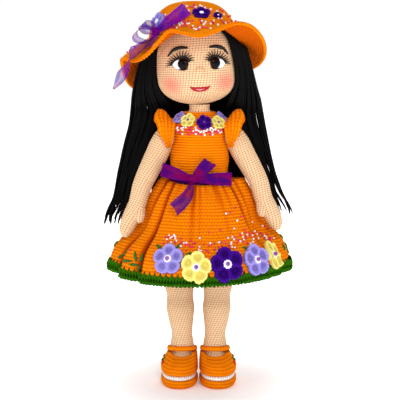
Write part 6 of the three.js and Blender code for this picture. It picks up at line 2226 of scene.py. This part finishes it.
def make_falling_hair(hair_yarn):
    """Yarn strands from under the hat down both sides of the face to loose ends behind the arms."""
    rng = np.random.default_rng(HAIR_SEED)
    down = np.linspace(0, 1, HAIR_STEPS)
    paths, radii = [], []
    gather = np.clip((down - HAIR_PARTING_SHARE) / (1 - HAIR_PARTING_SHARE), 0, 1)
    bunch_ends, bunch_turns, bunch_frays = [rng.random(HAIR_BUNCHES) for _ in range(3)]
    for index in range(HAIR_STRANDS):
        side = -1 if index % 2 == 0 else 1
        across, depth = rng.random() ** HAIR_INWARD_POWER, rng.random()
        if index % HAIR_FRONT_EVERY == 0:
            depth = HAIR_FRONT_DEPTH_SHARE
        if index % HAIR_EDGE_EVERY == 0:
            across = 0.0 if index % 2 else 1.0
        bunch = min(int(across * HAIR_BUNCHES), HAIR_BUNCHES - 1)
        across = lerp(across, (bunch + 0.5) / HAIR_BUNCHES, HAIR_GATHER_SHARE * gather)
        end_share = 1 - HAIR_UNEVEN_SHARE * (bunch_ends[bunch] ** 2 + rng.random() ** 2) / 2
        place = down * end_share
        inner, outer, front_inner, front_outer, thick = SIDE_HAIR_SHARES[side](place)
        reach = (inner + (outer - inner) * across) * HAIR_OUT
        back = (front_inner + (front_outer - front_inner) * across + thick * depth) * HAIR_OUT
        height = HAIR_TOP - place * HAIR_DROP[side]
        sway = np.sin(2 * math.pi * (down * (1.1 + rng.random()) + rng.random()))
        sway = HAIR_SWAY * sway * down * (1 - gather)
        bunch_wave = np.sin(2 * math.pi * (down * (3 + 2 * bunch_ends[bunch]) + bunch_turns[bunch]))
        sway = sway + HAIR_SWAY * bunch_wave * gather
        spread = np.array([bunch_frays[bunch], rng.random()]) - 0.5
        frayed = np.clip((down - HAIR_FRAY_START_SHARE) / (1 - HAIR_FRAY_START_SHARE), 0, 1)
        fray = spread * HAIR_FRAY * frayed[:, None] ** HAIR_FRAY_POWER
        points = stack(side * reach + sway + fray[:, 0], back + 0.6 * sway + fray[:, 1], height)
        grow = HAIR_RADIUS * (HAIR_NEAR_RADII + HAIR_FAR_RADII * rng.random())
        paths.append(under_hat(clear_of_head(points, grow)))
        radii.append(HAIR_RADIUS * (0.85 + 0.3 * rng.random()) * tapered(down))
    hang_hair("hair_strands", paths, radii, hair_yarn, "hair_left", "hair_right", "hair_cap")


def hair_back_front(x, height):
    """How far back the falling hair's front lies: behind the sleeves, then over the skirt."""
    over_sleeves = ARM_ROOT_RADIUS + ARMHOLE_CLEARANCE + 2 * SLEEVE_THICKNESS + SLEEVE_FLARE
    down = np.clip((SKIRT_TOP + SKIRT_PUFF - height) / SKIRT_LENGTH, 0, 1)
    drop_shares, reach_shares, _ = skirt_shares(np.linspace(SKIRT_FALL_SHARE, 1, SKIRT_STEPS))
    on_skirt = np.interp(down, drop_shares, reach_shares)
    standing_off = skirt_shares(np.minimum(lerp(*HAIR_OFF_SKIRT_SHARES, down), 1))[1]
    reach_share = lerp(on_skirt, standing_off, HAIR_STAND_OFF_SHARE)
    half_width = lerp(WAIST_HALF_WIDTH, HEM_HALF_WIDTH, reach_share)
    half_depth = lerp(WAIST_HALF_DEPTH, HEM_HALF_DEPTH, reach_share)
    across = np.minimum(np.abs(x) / (HAIR_OVER_SKIRT_SHARE * half_width), 1)
    over_skirt = np.where(down > 0, half_depth * np.sqrt(1 - across**2), 0)
    return np.maximum(over_sleeves, over_skirt) + HAIR_BACK_GAP


def make_back_hair(hair_yarn):
    """Layers of yarn strands from the crown over the back of the head and down behind the dress."""
    rng = np.random.default_rng(HAIR_SEED + 1)
    down = np.linspace(0, 1, HAIR_BACK_STEPS)
    paths, radii = [], []
    for index in range(HAIR_BACK_STRANDS):
        place, layer = divmod(index, HAIR_BACK_LAYERS)
        spread = 2 * ((place + 0.5 * (layer % 2)) / (HAIR_BACK_STRANDS // HAIR_BACK_LAYERS)) - 1
        spread = np.clip(spread + HAIR_BACK_STRAY_SHARE * (rng.random() - 0.5), -1, 1)
        end = HAIR_BACK_END + HAIR_BACK_UNEVEN * rng.random() ** 2
        height = lerp(HAIR_TOP, end, down)
        share = np.clip((height - CHIN) / HEAD_HEIGHT, HEAD_POLE_SHARE, 1 - HEAD_POLE_SHARE)
        turn = math.pi - spread * HAIR_BACK_TURN
        grow = HAIR_RADIUS * (HAIR_FIRST_LAYER_RADII + HAIR_LAYER_RADII * layer)
        head_x = HEAD_SHIFT + (head_round(share) * HEAD_HALF_WIDTH + grow) * math.sin(turn)
        head_y = -(head_round(share) * HEAD_HALF_DEPTH + grow) * math.cos(turn)
        widen = np.clip((CHIN - height) / HAIR_BACK_LENGTH, 0, 1)
        opened = np.clip((widen - HAIR_OPEN_SHARE) / (1 - HAIR_OPEN_SHARE), 0, 1)
        fall_x = spread * HAIR_BACK_HALF_WIDTH * lerp(HAIR_NECK_SHARE, 1, opened)
        depth = HAIR_BACK_THICKNESS * lerp(1, HAIR_END_THICKNESS_SHARE, widen) * layer / HAIR_BACK_LAYERS
        fall_y = hair_back_front(fall_x, height) + HAIR_RADIUS + depth
        leave = CHIN + HAIR_LEAVE_SHARE * HEAD_HEIGHT
        blend = np.clip((leave - height) / (HAIR_LEAVING_SHARE * HEAD_HEIGHT), 0, 1)
        blend = blend * blend * (3 - 2 * blend)
        waves = down * (1 + rng.random()) + rng.random()
        sway = HAIR_SWAY * HAIR_BACK_SWAY_SHARE * np.sin(2 * math.pi * waves)
        x, y = lerp(head_x, fall_x, blend) + sway, lerp(head_y, fall_y, blend) + 0.3 * np.abs(sway)
        paths.append(under_hat(stack(x, y, height)))
        radii.append(HAIR_RADIUS * (0.95 + 0.25 * rng.random()) * tapered(down))
    hang_hair("hair_back_strands", paths, radii, hair_yarn, "hair_back")


# Shoe details

def strap_surface(side):
    lean = STANCE_SHIFT + side * ANKLE_SPREAD
    middle = COLLAR_HALF_WIDTH - UPPER_THICKNESS / 2

    def surface(turn, rise):
        out = middle + UPPER_THICKNESS / 2 * (1 - STRAP_ROUNDING_SHARE * (2 * rise - 1) ** 2)
        height = UPPER_TOP + GAP + rise * STRAP_HEIGHT - COLLAR_DROP * (1 - np.cos(turn)) / 2
        return stack(lean + out * np.sin(turn), -out * np.cos(turn), height)
    return surface


def make_strap(side, side_name, dress_yarn):
    tube = Tube(strap_surface(side), (1, 0), STRAP_COLUMNS, DRESS_RELIEF, SHOE_STITCH)
    strap = cloth(f"strap_{side_name}_cloth", tube, UPPER_THICKNESS, dress_yarn)
    settle(strap, "torso", "yarn_orange", f"shoe_strap_{side_name}")


# Sprigs on the outer sides of the shoes: turn from the toe in degrees, rise, heading, green or pink
sprig_shares = [
    [74, 0.62, 100, "green"], [84, 0.5, 40, "green"], [68, 0.48, 60, "pink"], [92, 0.66, 120, "green"],
]


def make_sprigs(side, side_name, paints):
    """A few satin stitches on the outer side of a shoe."""
    piles = {"green": Pile(), "pink": Pile()}
    around = ring_turns(10)[None, :]
    along = np.linspace(-1, 1, 7)[:, None]
    surface = upper_surface(side)

    def from_top(turn, share):
        return surface(turn, 1 - np.asarray(share))

    for degrees, rise, heading, kind in sprig_shares:
        spot = Spot(from_top, side * math.radians(degrees), 1 - rise, side * math.radians(heading))
        width = 0.6 * LEAF_HALF_WIDTH * np.maximum(1 - along**2, 0.15)
        lift = 0.3 * LEAF_HALF_WIDTH + width * np.sin(around)
        across = 0.5 * LEAF_HALF_LENGTH * along + 0 * around
        piles[kind].rings(spot.lay(across, width * np.cos(around), lift), 4.0, 5.0)
    settle(piles["green"].mesh(f"shoe_leaves_{side_name}", paints["leaf"]), "torso", "yarn_green")
    settle(piles["pink"].mesh(f"shoe_buds_{side_name}", paints["lips"]), "torso", "yarn_red")


def make_brim_edge(dress_yarn):
    """A plain rolled edge of thicker stitches round the brim."""
    columns = BRIM_EDGE_COLUMNS
    turns = ring_turns(columns)
    half = HAT_THICKNESS / 2
    edge, inner, above = [lifted(hat_surface, turns, np.full(columns, share), lift)
                          for share, lift in ((1.0, -half), (BRIM_EDGE_INNER_SHARE, -half), (1.0, half))]
    out, up = unit(edge - inner), unit(above - edge)
    around = ring_turns(BRIM_EDGE_SIDES)
    radius = BRIM_EDGE_RADIUS * (1 + BRIM_KNOT_SHARE * np.cos(turns * columns / BRIM_KNOT_COLUMNS)[:, None])
    middle = edge - out * BRIM_EDGE_SINK_SHARE * BRIM_EDGE_RADIUS
    rings = [middle + (out * math.cos(angle) + up * math.sin(angle)) * radius for angle in around]
    grid = np.stack(rings + rings[:1])
    faces = grid_faces(len(grid), columns, True)
    wide, tall = 1 / BRIM_KNOT_COLUMNS, 2 / BRIM_EDGE_SIDES
    row, column = np.arange(BRIM_EDGE_SIDES) * tall, np.arange(columns) * wide
    corners = grid_corners(column, column + wide, row, row + tall)
    piece = mesh_object("hat_edge_cloth", grid.reshape(-1, 3), faces, dress_yarn, corners)
    settle(piece, "hat", "yarn_orange")


def make_neckline(dress_yarn):
    """A rolled rim of chain stitches round the neck of the dress."""
    turns = ring_turns(NECK_RIM_COLUMNS)
    height = NECK_BASE - 2 * GAP
    half_width, half_depth = trunk_shares(height)
    around = ring_turns(NECK_RIM_SIDES)
    grow = GAP + DRESS_THICKNESS / 2
    rings = []
    for angle in [*around, around[0]]:
        knots = NECK_RIM_KNOT_SHARE * np.cos(turns * NECK_RIM_STITCHES)
        reach = grow + NECK_RIM_RADIUS * (math.cos(angle) + knots)
        x, y = (half_width + reach) * np.sin(turns), -(half_depth + reach) * np.cos(turns)
        rings.append(stack(x, y, height + NECK_RIM_RADIUS * math.sin(angle)))
    grid = np.stack(rings)
    wide, tall = 1 / NECK_STITCH_COLUMNS, 2 / NECK_RIM_SIDES
    row, column = np.arange(NECK_RIM_SIDES) * tall, np.arange(NECK_RIM_COLUMNS) * wide
    corners = grid_corners(column, column + wide, row, row + tall)
    faces = grid_faces(len(grid), NECK_RIM_COLUMNS, True)
    rim = mesh_object("neckline_rim", grid.reshape(-1, 3), faces, dress_yarn, corners)
    settle(rim, "torso", "yarn_orange")


# Looks

def face_tint(paint, shade):
    """Warm blush on both cheeks, and the black base under the hair at the back and top of the head."""
    x, y, z = paint.split(paint.coordinates("Object"))
    for place in BLUSH_PLACES:
        middle = face_point(*place)
        across, back, up = x - float(middle[0]), y - float(middle[1]), z - float(middle[2])
        away = (across * across + back * back * 0.5 + up * up * 1.5).root()
        share = 1 - away.between(0.05 * BLUSH_RADIUS, BLUSH_RADIUS)
        shade = paint.mix(share * BLUSH_STRENGTH, shade, colour("#EE6E66"))
    covered = (y + z * HAIR_COVER_SLOPE).between(*HAIR_COVER)
    return paint.mix(covered, shade, colour("#0A090A"))


def shadow_tint(paint, shade):
    """Painted shade: deep orange in folds and on undersides, almost red where the painted shade is strongest.
    """
    shadow = paint.shade_place()
    shade = paint.mix(shadow.between(0.05, 0.6) * 0.7, shade, colour("#CC4200"))
    return paint.mix(shadow.between(0.4, 1.0) * 0.8, shade, colour("#6A1600"))


def hair_paint():
    paint = Paint("hair_look", 0.65, Specular_IOR_Level=0.08)
    around, along = paint.stitch_place()
    twist = ((along * HAIR_TWIST + around) * 2 * math.pi).sine() * 0.5 + 0.5
    patch = paint.noise(HAIR_PATCHES, 2.0)
    # Painted sheen: the ply's crests are a little lighter; the patches vary at random
    shade = paint.mix(twist * 0.6 + patch * 0.3, colour("#010101"), colour("#0B0A0B"))
    return paint.finish(base=shade, normal=paint.bump(twist, FINE_BUMP, 0.6))


def organza_paint(name, cover, light, deep):
    """Sheer ribbon: darker woven edges, lengthwise creases with painted shade, and a colour that shifts
    softly along it.
    """
    paint = Paint(name, 0.6, Specular_IOR_Level=0.03)
    across, along = paint.stitch_place()
    edge = (across - 0.5).size().between(0.44, 0.48)
    drift = paint.noise(70, 2.0)
    crease = (across * 9 + drift * 9 + along * 2).sine() * 0.5 + 0.5
    shade = paint.mix(drift.between(0.38, 0.62), colour(deep), colour(light))
    # Painted shade in the creases; the woven edges are darker in their own colour
    shade = paint.mix(crease * 0.5 + edge * 0.5, shade, colour(deep))
    share = (crease * 0.2 + edge * 0.25 + (cover - 0.1)).clamped()
    relief = paint.bump(crease, FINE_BUMP, 0.4)
    return paint.finish(base=shade, alpha=share, normal=relief, roughness=drift * 0.2 + 0.4)


def satin_thread(name, light, deep, roughness=0.5):
    """Embroidery thread that lies in fine parallel strands."""
    paint = Paint(name, roughness, Specular_IOR_Level=0.3)
    around, along = paint.stitch_place()
    turns_along, turns_around = THREAD_TWIST
    strand = ((along * turns_along + around * turns_around) * 2 * math.pi).sine() * 0.5 + 0.5
    fuzz = paint.noise(THREAD_FUZZ, 2.0)
    # Painted highlight on each strand's crest and painted shade between the strands
    shade = paint.mix(strand * 0.7 + fuzz * 0.3, colour(deep), colour(light))
    return paint.finish(base=shade, normal=paint.bump(strand + fuzz * 0.3, FINE_BUMP, 0.7))


def smooth_bead(name, light, deep, roughness, coat=0.0):
    """Polished bead or plastic: slightly clouded, with faint scratches."""
    paint = Paint(name, roughness, Coat_Weight=coat, Coat_Roughness=0.1)
    cloud = paint.noise(BEAD_CLOUDS, 2.0)
    scratch = paint.noise(BEAD_SCRATCHES, 2.0)
    shade = paint.mix(cloud.between(0.3, 0.75), colour(light), colour(deep))
    relief = paint.bump(scratch, POLISH_BUMP, 0.3)
    return paint.finish(base=shade, roughness=scratch * 0.12 + roughness, normal=relief)


def eye_paint():
    """Glossy safety eye: black pupil, dark brown iris with faint rays, black rim."""
    paint = Paint("eye_look", 0.08, Specular_IOR_Level=0.12)
    around, ring = paint.stitch_place()
    share = ring / len(eye_shares)
    rays = (around * IRIS_RAYS).sine() * 0.5 + 0.5
    shade = paint.mix(rays * 0.5, colour("#1C0703"), colour("#3A1408"))
    shade = paint.mix(share.between(0.56, 0.46), shade, colour("#030202"))
    shade = paint.mix(share.between(0.72, 0.86), shade, colour("#0A0403"))
    return paint.finish(base=shade)


def felt_paint():
    paint = Paint("felt_look", 0.9, Specular_IOR_Level=0.2)
    fibre = paint.noise(1300, 4.0)
    shade = paint.mix(fibre, colour("#FFFFFF"), colour("#ECECEF"))
    return paint.finish(base=shade, normal=paint.bump(fibre, FELT_BUMP, 0.4))


def wood_paint():
    """Turned birch with long grain."""
    paint = Paint("dowel_look", 0.55)
    x, y, z = paint.split(paint.coordinates("Object"))
    stretched = paint.joined(x * WOOD_ACROSS_GRAIN, y * WOOD_ACROSS_GRAIN, z * WOOD_ALONG_GRAIN)
    grain = paint.noise(1, 3.0, vector=stretched)
    shade = paint.mix(grain.between(0.3, 0.7), colour("#D9B27C"), colour("#B88750"))
    return paint.finish(base=shade, normal=paint.bump(grain, FELT_BUMP, 0.4))


def cord_paint():
    """Twisted cotton cord, its turns slanting along the doll's width."""
    paint = Paint("cord_look", 0.85, Specular_IOR_Level=0.2)
    x, y, _ = paint.split(paint.coordinates("Object"))
    twist = ((x + y * CORD_SLANT) * CORD_TWISTS).sine() * 0.5 + 0.5
    shade = paint.mix(twist, colour("#C9C2B0"), colour("#F0ECE2"))
    return paint.finish(base=shade, normal=paint.bump(twist, FINE_BUMP, 0.6))


def insole_paint():
    paint = Paint("insole_look", 0.9, Specular_IOR_Level=0.2)
    x, y, _ = paint.split(paint.coordinates("Object"))
    weave = (x * INSOLE_WEAVE).sine() * (y * INSOLE_WEAVE).sine() * 0.5 + 0.5
    fibre = paint.noise(INSOLE_FIBRES, 3.0)
    shade = paint.mix(weave * 0.6 + fibre * 0.3, colour("#B9AFA2"), colour("#E2DACE"))
    return paint.finish(base=shade, normal=paint.bump(weave, FINE_BUMP, 0.5))


def make_paints():
    # Each yarn: light on raised strands, deep where stitches lie low and in patches, and a dark for the
    # holes; the low and hole darkening is painted shade
    skin = ("#FADAB0", "#F0BE8C", "#AC6434")
    orange = ("#FF9008", "#F97000", "#B63C00")
    # The hat's orange is painted lighter than the dress's: a painted light from above
    hat_lit_orange = ("#FF960E", "#FC7A02", "#BE4400")
    return {
        "skin": crochet("yarn_skin_look", skin, 0.3, 0.95, 0.2),
        "leg": crochet("yarn_leg_look", skin, 0.3, 1.0, 0.2, LEG_SLANT),
        "face": crochet("yarn_face_look", skin, 0.3, 1.0, 0.42, tint=face_tint),
        # This copy of the orange gets less painted shade in its holes and rows than the skirt's, so it
        # renders brighter
        "orange": crochet("yarn_orange_look", orange, 0.3, 0.4, 0.3, 0, ROW_STAGGER),
        "hat": crochet("yarn_hat_look", hat_lit_orange, 0.35, 0.65, 0.3, 0, ROW_STAGGER, shadow_tint),
        "skirt": crochet("yarn_skirt_look", orange, 0.35, 0.65, 0.42, 0, ROW_STAGGER, shadow_tint),
        "bodice": crochet("yarn_bodice_look", orange, 0.6, 0.6, 0.3, 0, ROW_STAGGER, ribs=0.85),
        "sleeve": crochet("yarn_sleeve_look", orange, 0.6, 0.5, 0.45),
        "green": crochet("yarn_green_look", ("#35740C", "#1F4C05", "#061A00"), 0.3, 1.0, 0.6),
        "white": crochet("yarn_white_look", ("#FFFDFA", "#F6EEEA", "#D79A7C"), 0.3, 1.0, 0.3),
        "lilac": crochet("yarn_lilac_look", ("#ACA0EE", "#8778D6", "#5240A2"), 0.3, 0.5, 0.5),
        "yellow": crochet("yarn_yellow_look", ("#FFF68E", "#FCE866", "#DDAE34"), 0.3, 0.45, 0.45),
        "purple": crochet("yarn_purple_look", ("#43108F", "#2C0668", "#120228"), 0.3, 0.5, 0.5),
        "organza": organza_paint("organza_look", 0.66, "#A0007C", "#4C00A0"),
        "sash": organza_paint("sash_look", 0.84, "#84004E", "#44006C"),
        "hair": hair_paint(),
        "leaf": satin_thread("leaf_look", "#3F8212", "#1D4A05"),
        "thread": satin_thread("black_thread_look", "#151315", "#060506", 0.45),
        "lips": satin_thread("lips_look", "#D4142E", "#A80A22", 0.4),
        "smile": satin_thread("smile_look", "#F2B8B0", "#E39A94", 0.6),
        "white_bead": smooth_bead("white_bead_look", "#FFFBFA", "#EFE4E6", 0.2, 0.2),
        "red_bead": smooth_bead("red_bead_look", "#F01C56", "#CC0C40", 0.2, 0.2),
        "pearl": smooth_bead("pearl_look", "#8A2AA8", "#6A1490", 0.12, 0.8),
        "button": smooth_bead("button_look", "#FFFFFF", "#F3F0F4", 0.22, 0.3),
        "eye": eye_paint(),
        "felt": felt_paint(),
    }


def dress_solids():
    """Finishes for the solids of the model that stay as they are."""
    plastic = smooth_bead("plain_plastic_look", "#EDEBE8", "#D9D5D0", 0.32)
    looks = {
        "neck_dowel": wood_paint(), "joint_cord": cord_paint(), "joint_disc_left": plastic,
        "joint_disc_right": plastic, "back_button_1": plastic, "back_button_2": plastic,
    }
    looks["leg_rod_left"] = looks["leg_rod_right"] = looks["neck_dowel"]
    looks["insole_left"] = looks["insole_right"] = insole_paint()
    for node, material in looks.items():
        for place in bpy.data.objects[node].material_slots:
            place.material = material


def build():
    make_camera()
    paints = make_paints()
    make_light()
    make_floor()
    dress_solids()
    make_torso(paints["skin"])
    make_pants(paints["orange"])
    make_head(paints["face"])
    make_bodice(paints["bodice"])
    make_neckline(paints["orange"])
    make_skirt(paints["skirt"])
    make_hat(paints["hat"])
    make_brim_edge(paints["orange"])
    make_trim(paints["green"])
    make_falling_hair(paints["hair"])
    make_back_hair(paints["hair"])
    make_flowers(paints)
    make_leaves(paints["leaf"])
    make_all_beads(paints)
    make_sash(paints["sash"])
    make_waist_bow(paints["sash"])
    make_hat_bow(paints["organza"])
    make_mouth(paints)
    for side, side_name in ((-1, "left"), (1, "right")):
        make_leg(side, side_name, paints["leg"])
        make_arm(side, side_name, paints["skin"])
        make_shoe(side, side_name, paints["orange"], paints["white"])
        make_strap(side, side_name, paints["orange"])
        make_sprigs(side, side_name, paints)
        make_sleeve(side, side_name, paints["sleeve"])
        make_eye(side, side_name, paints)
        make_brow(side, side_name, paints)


build()
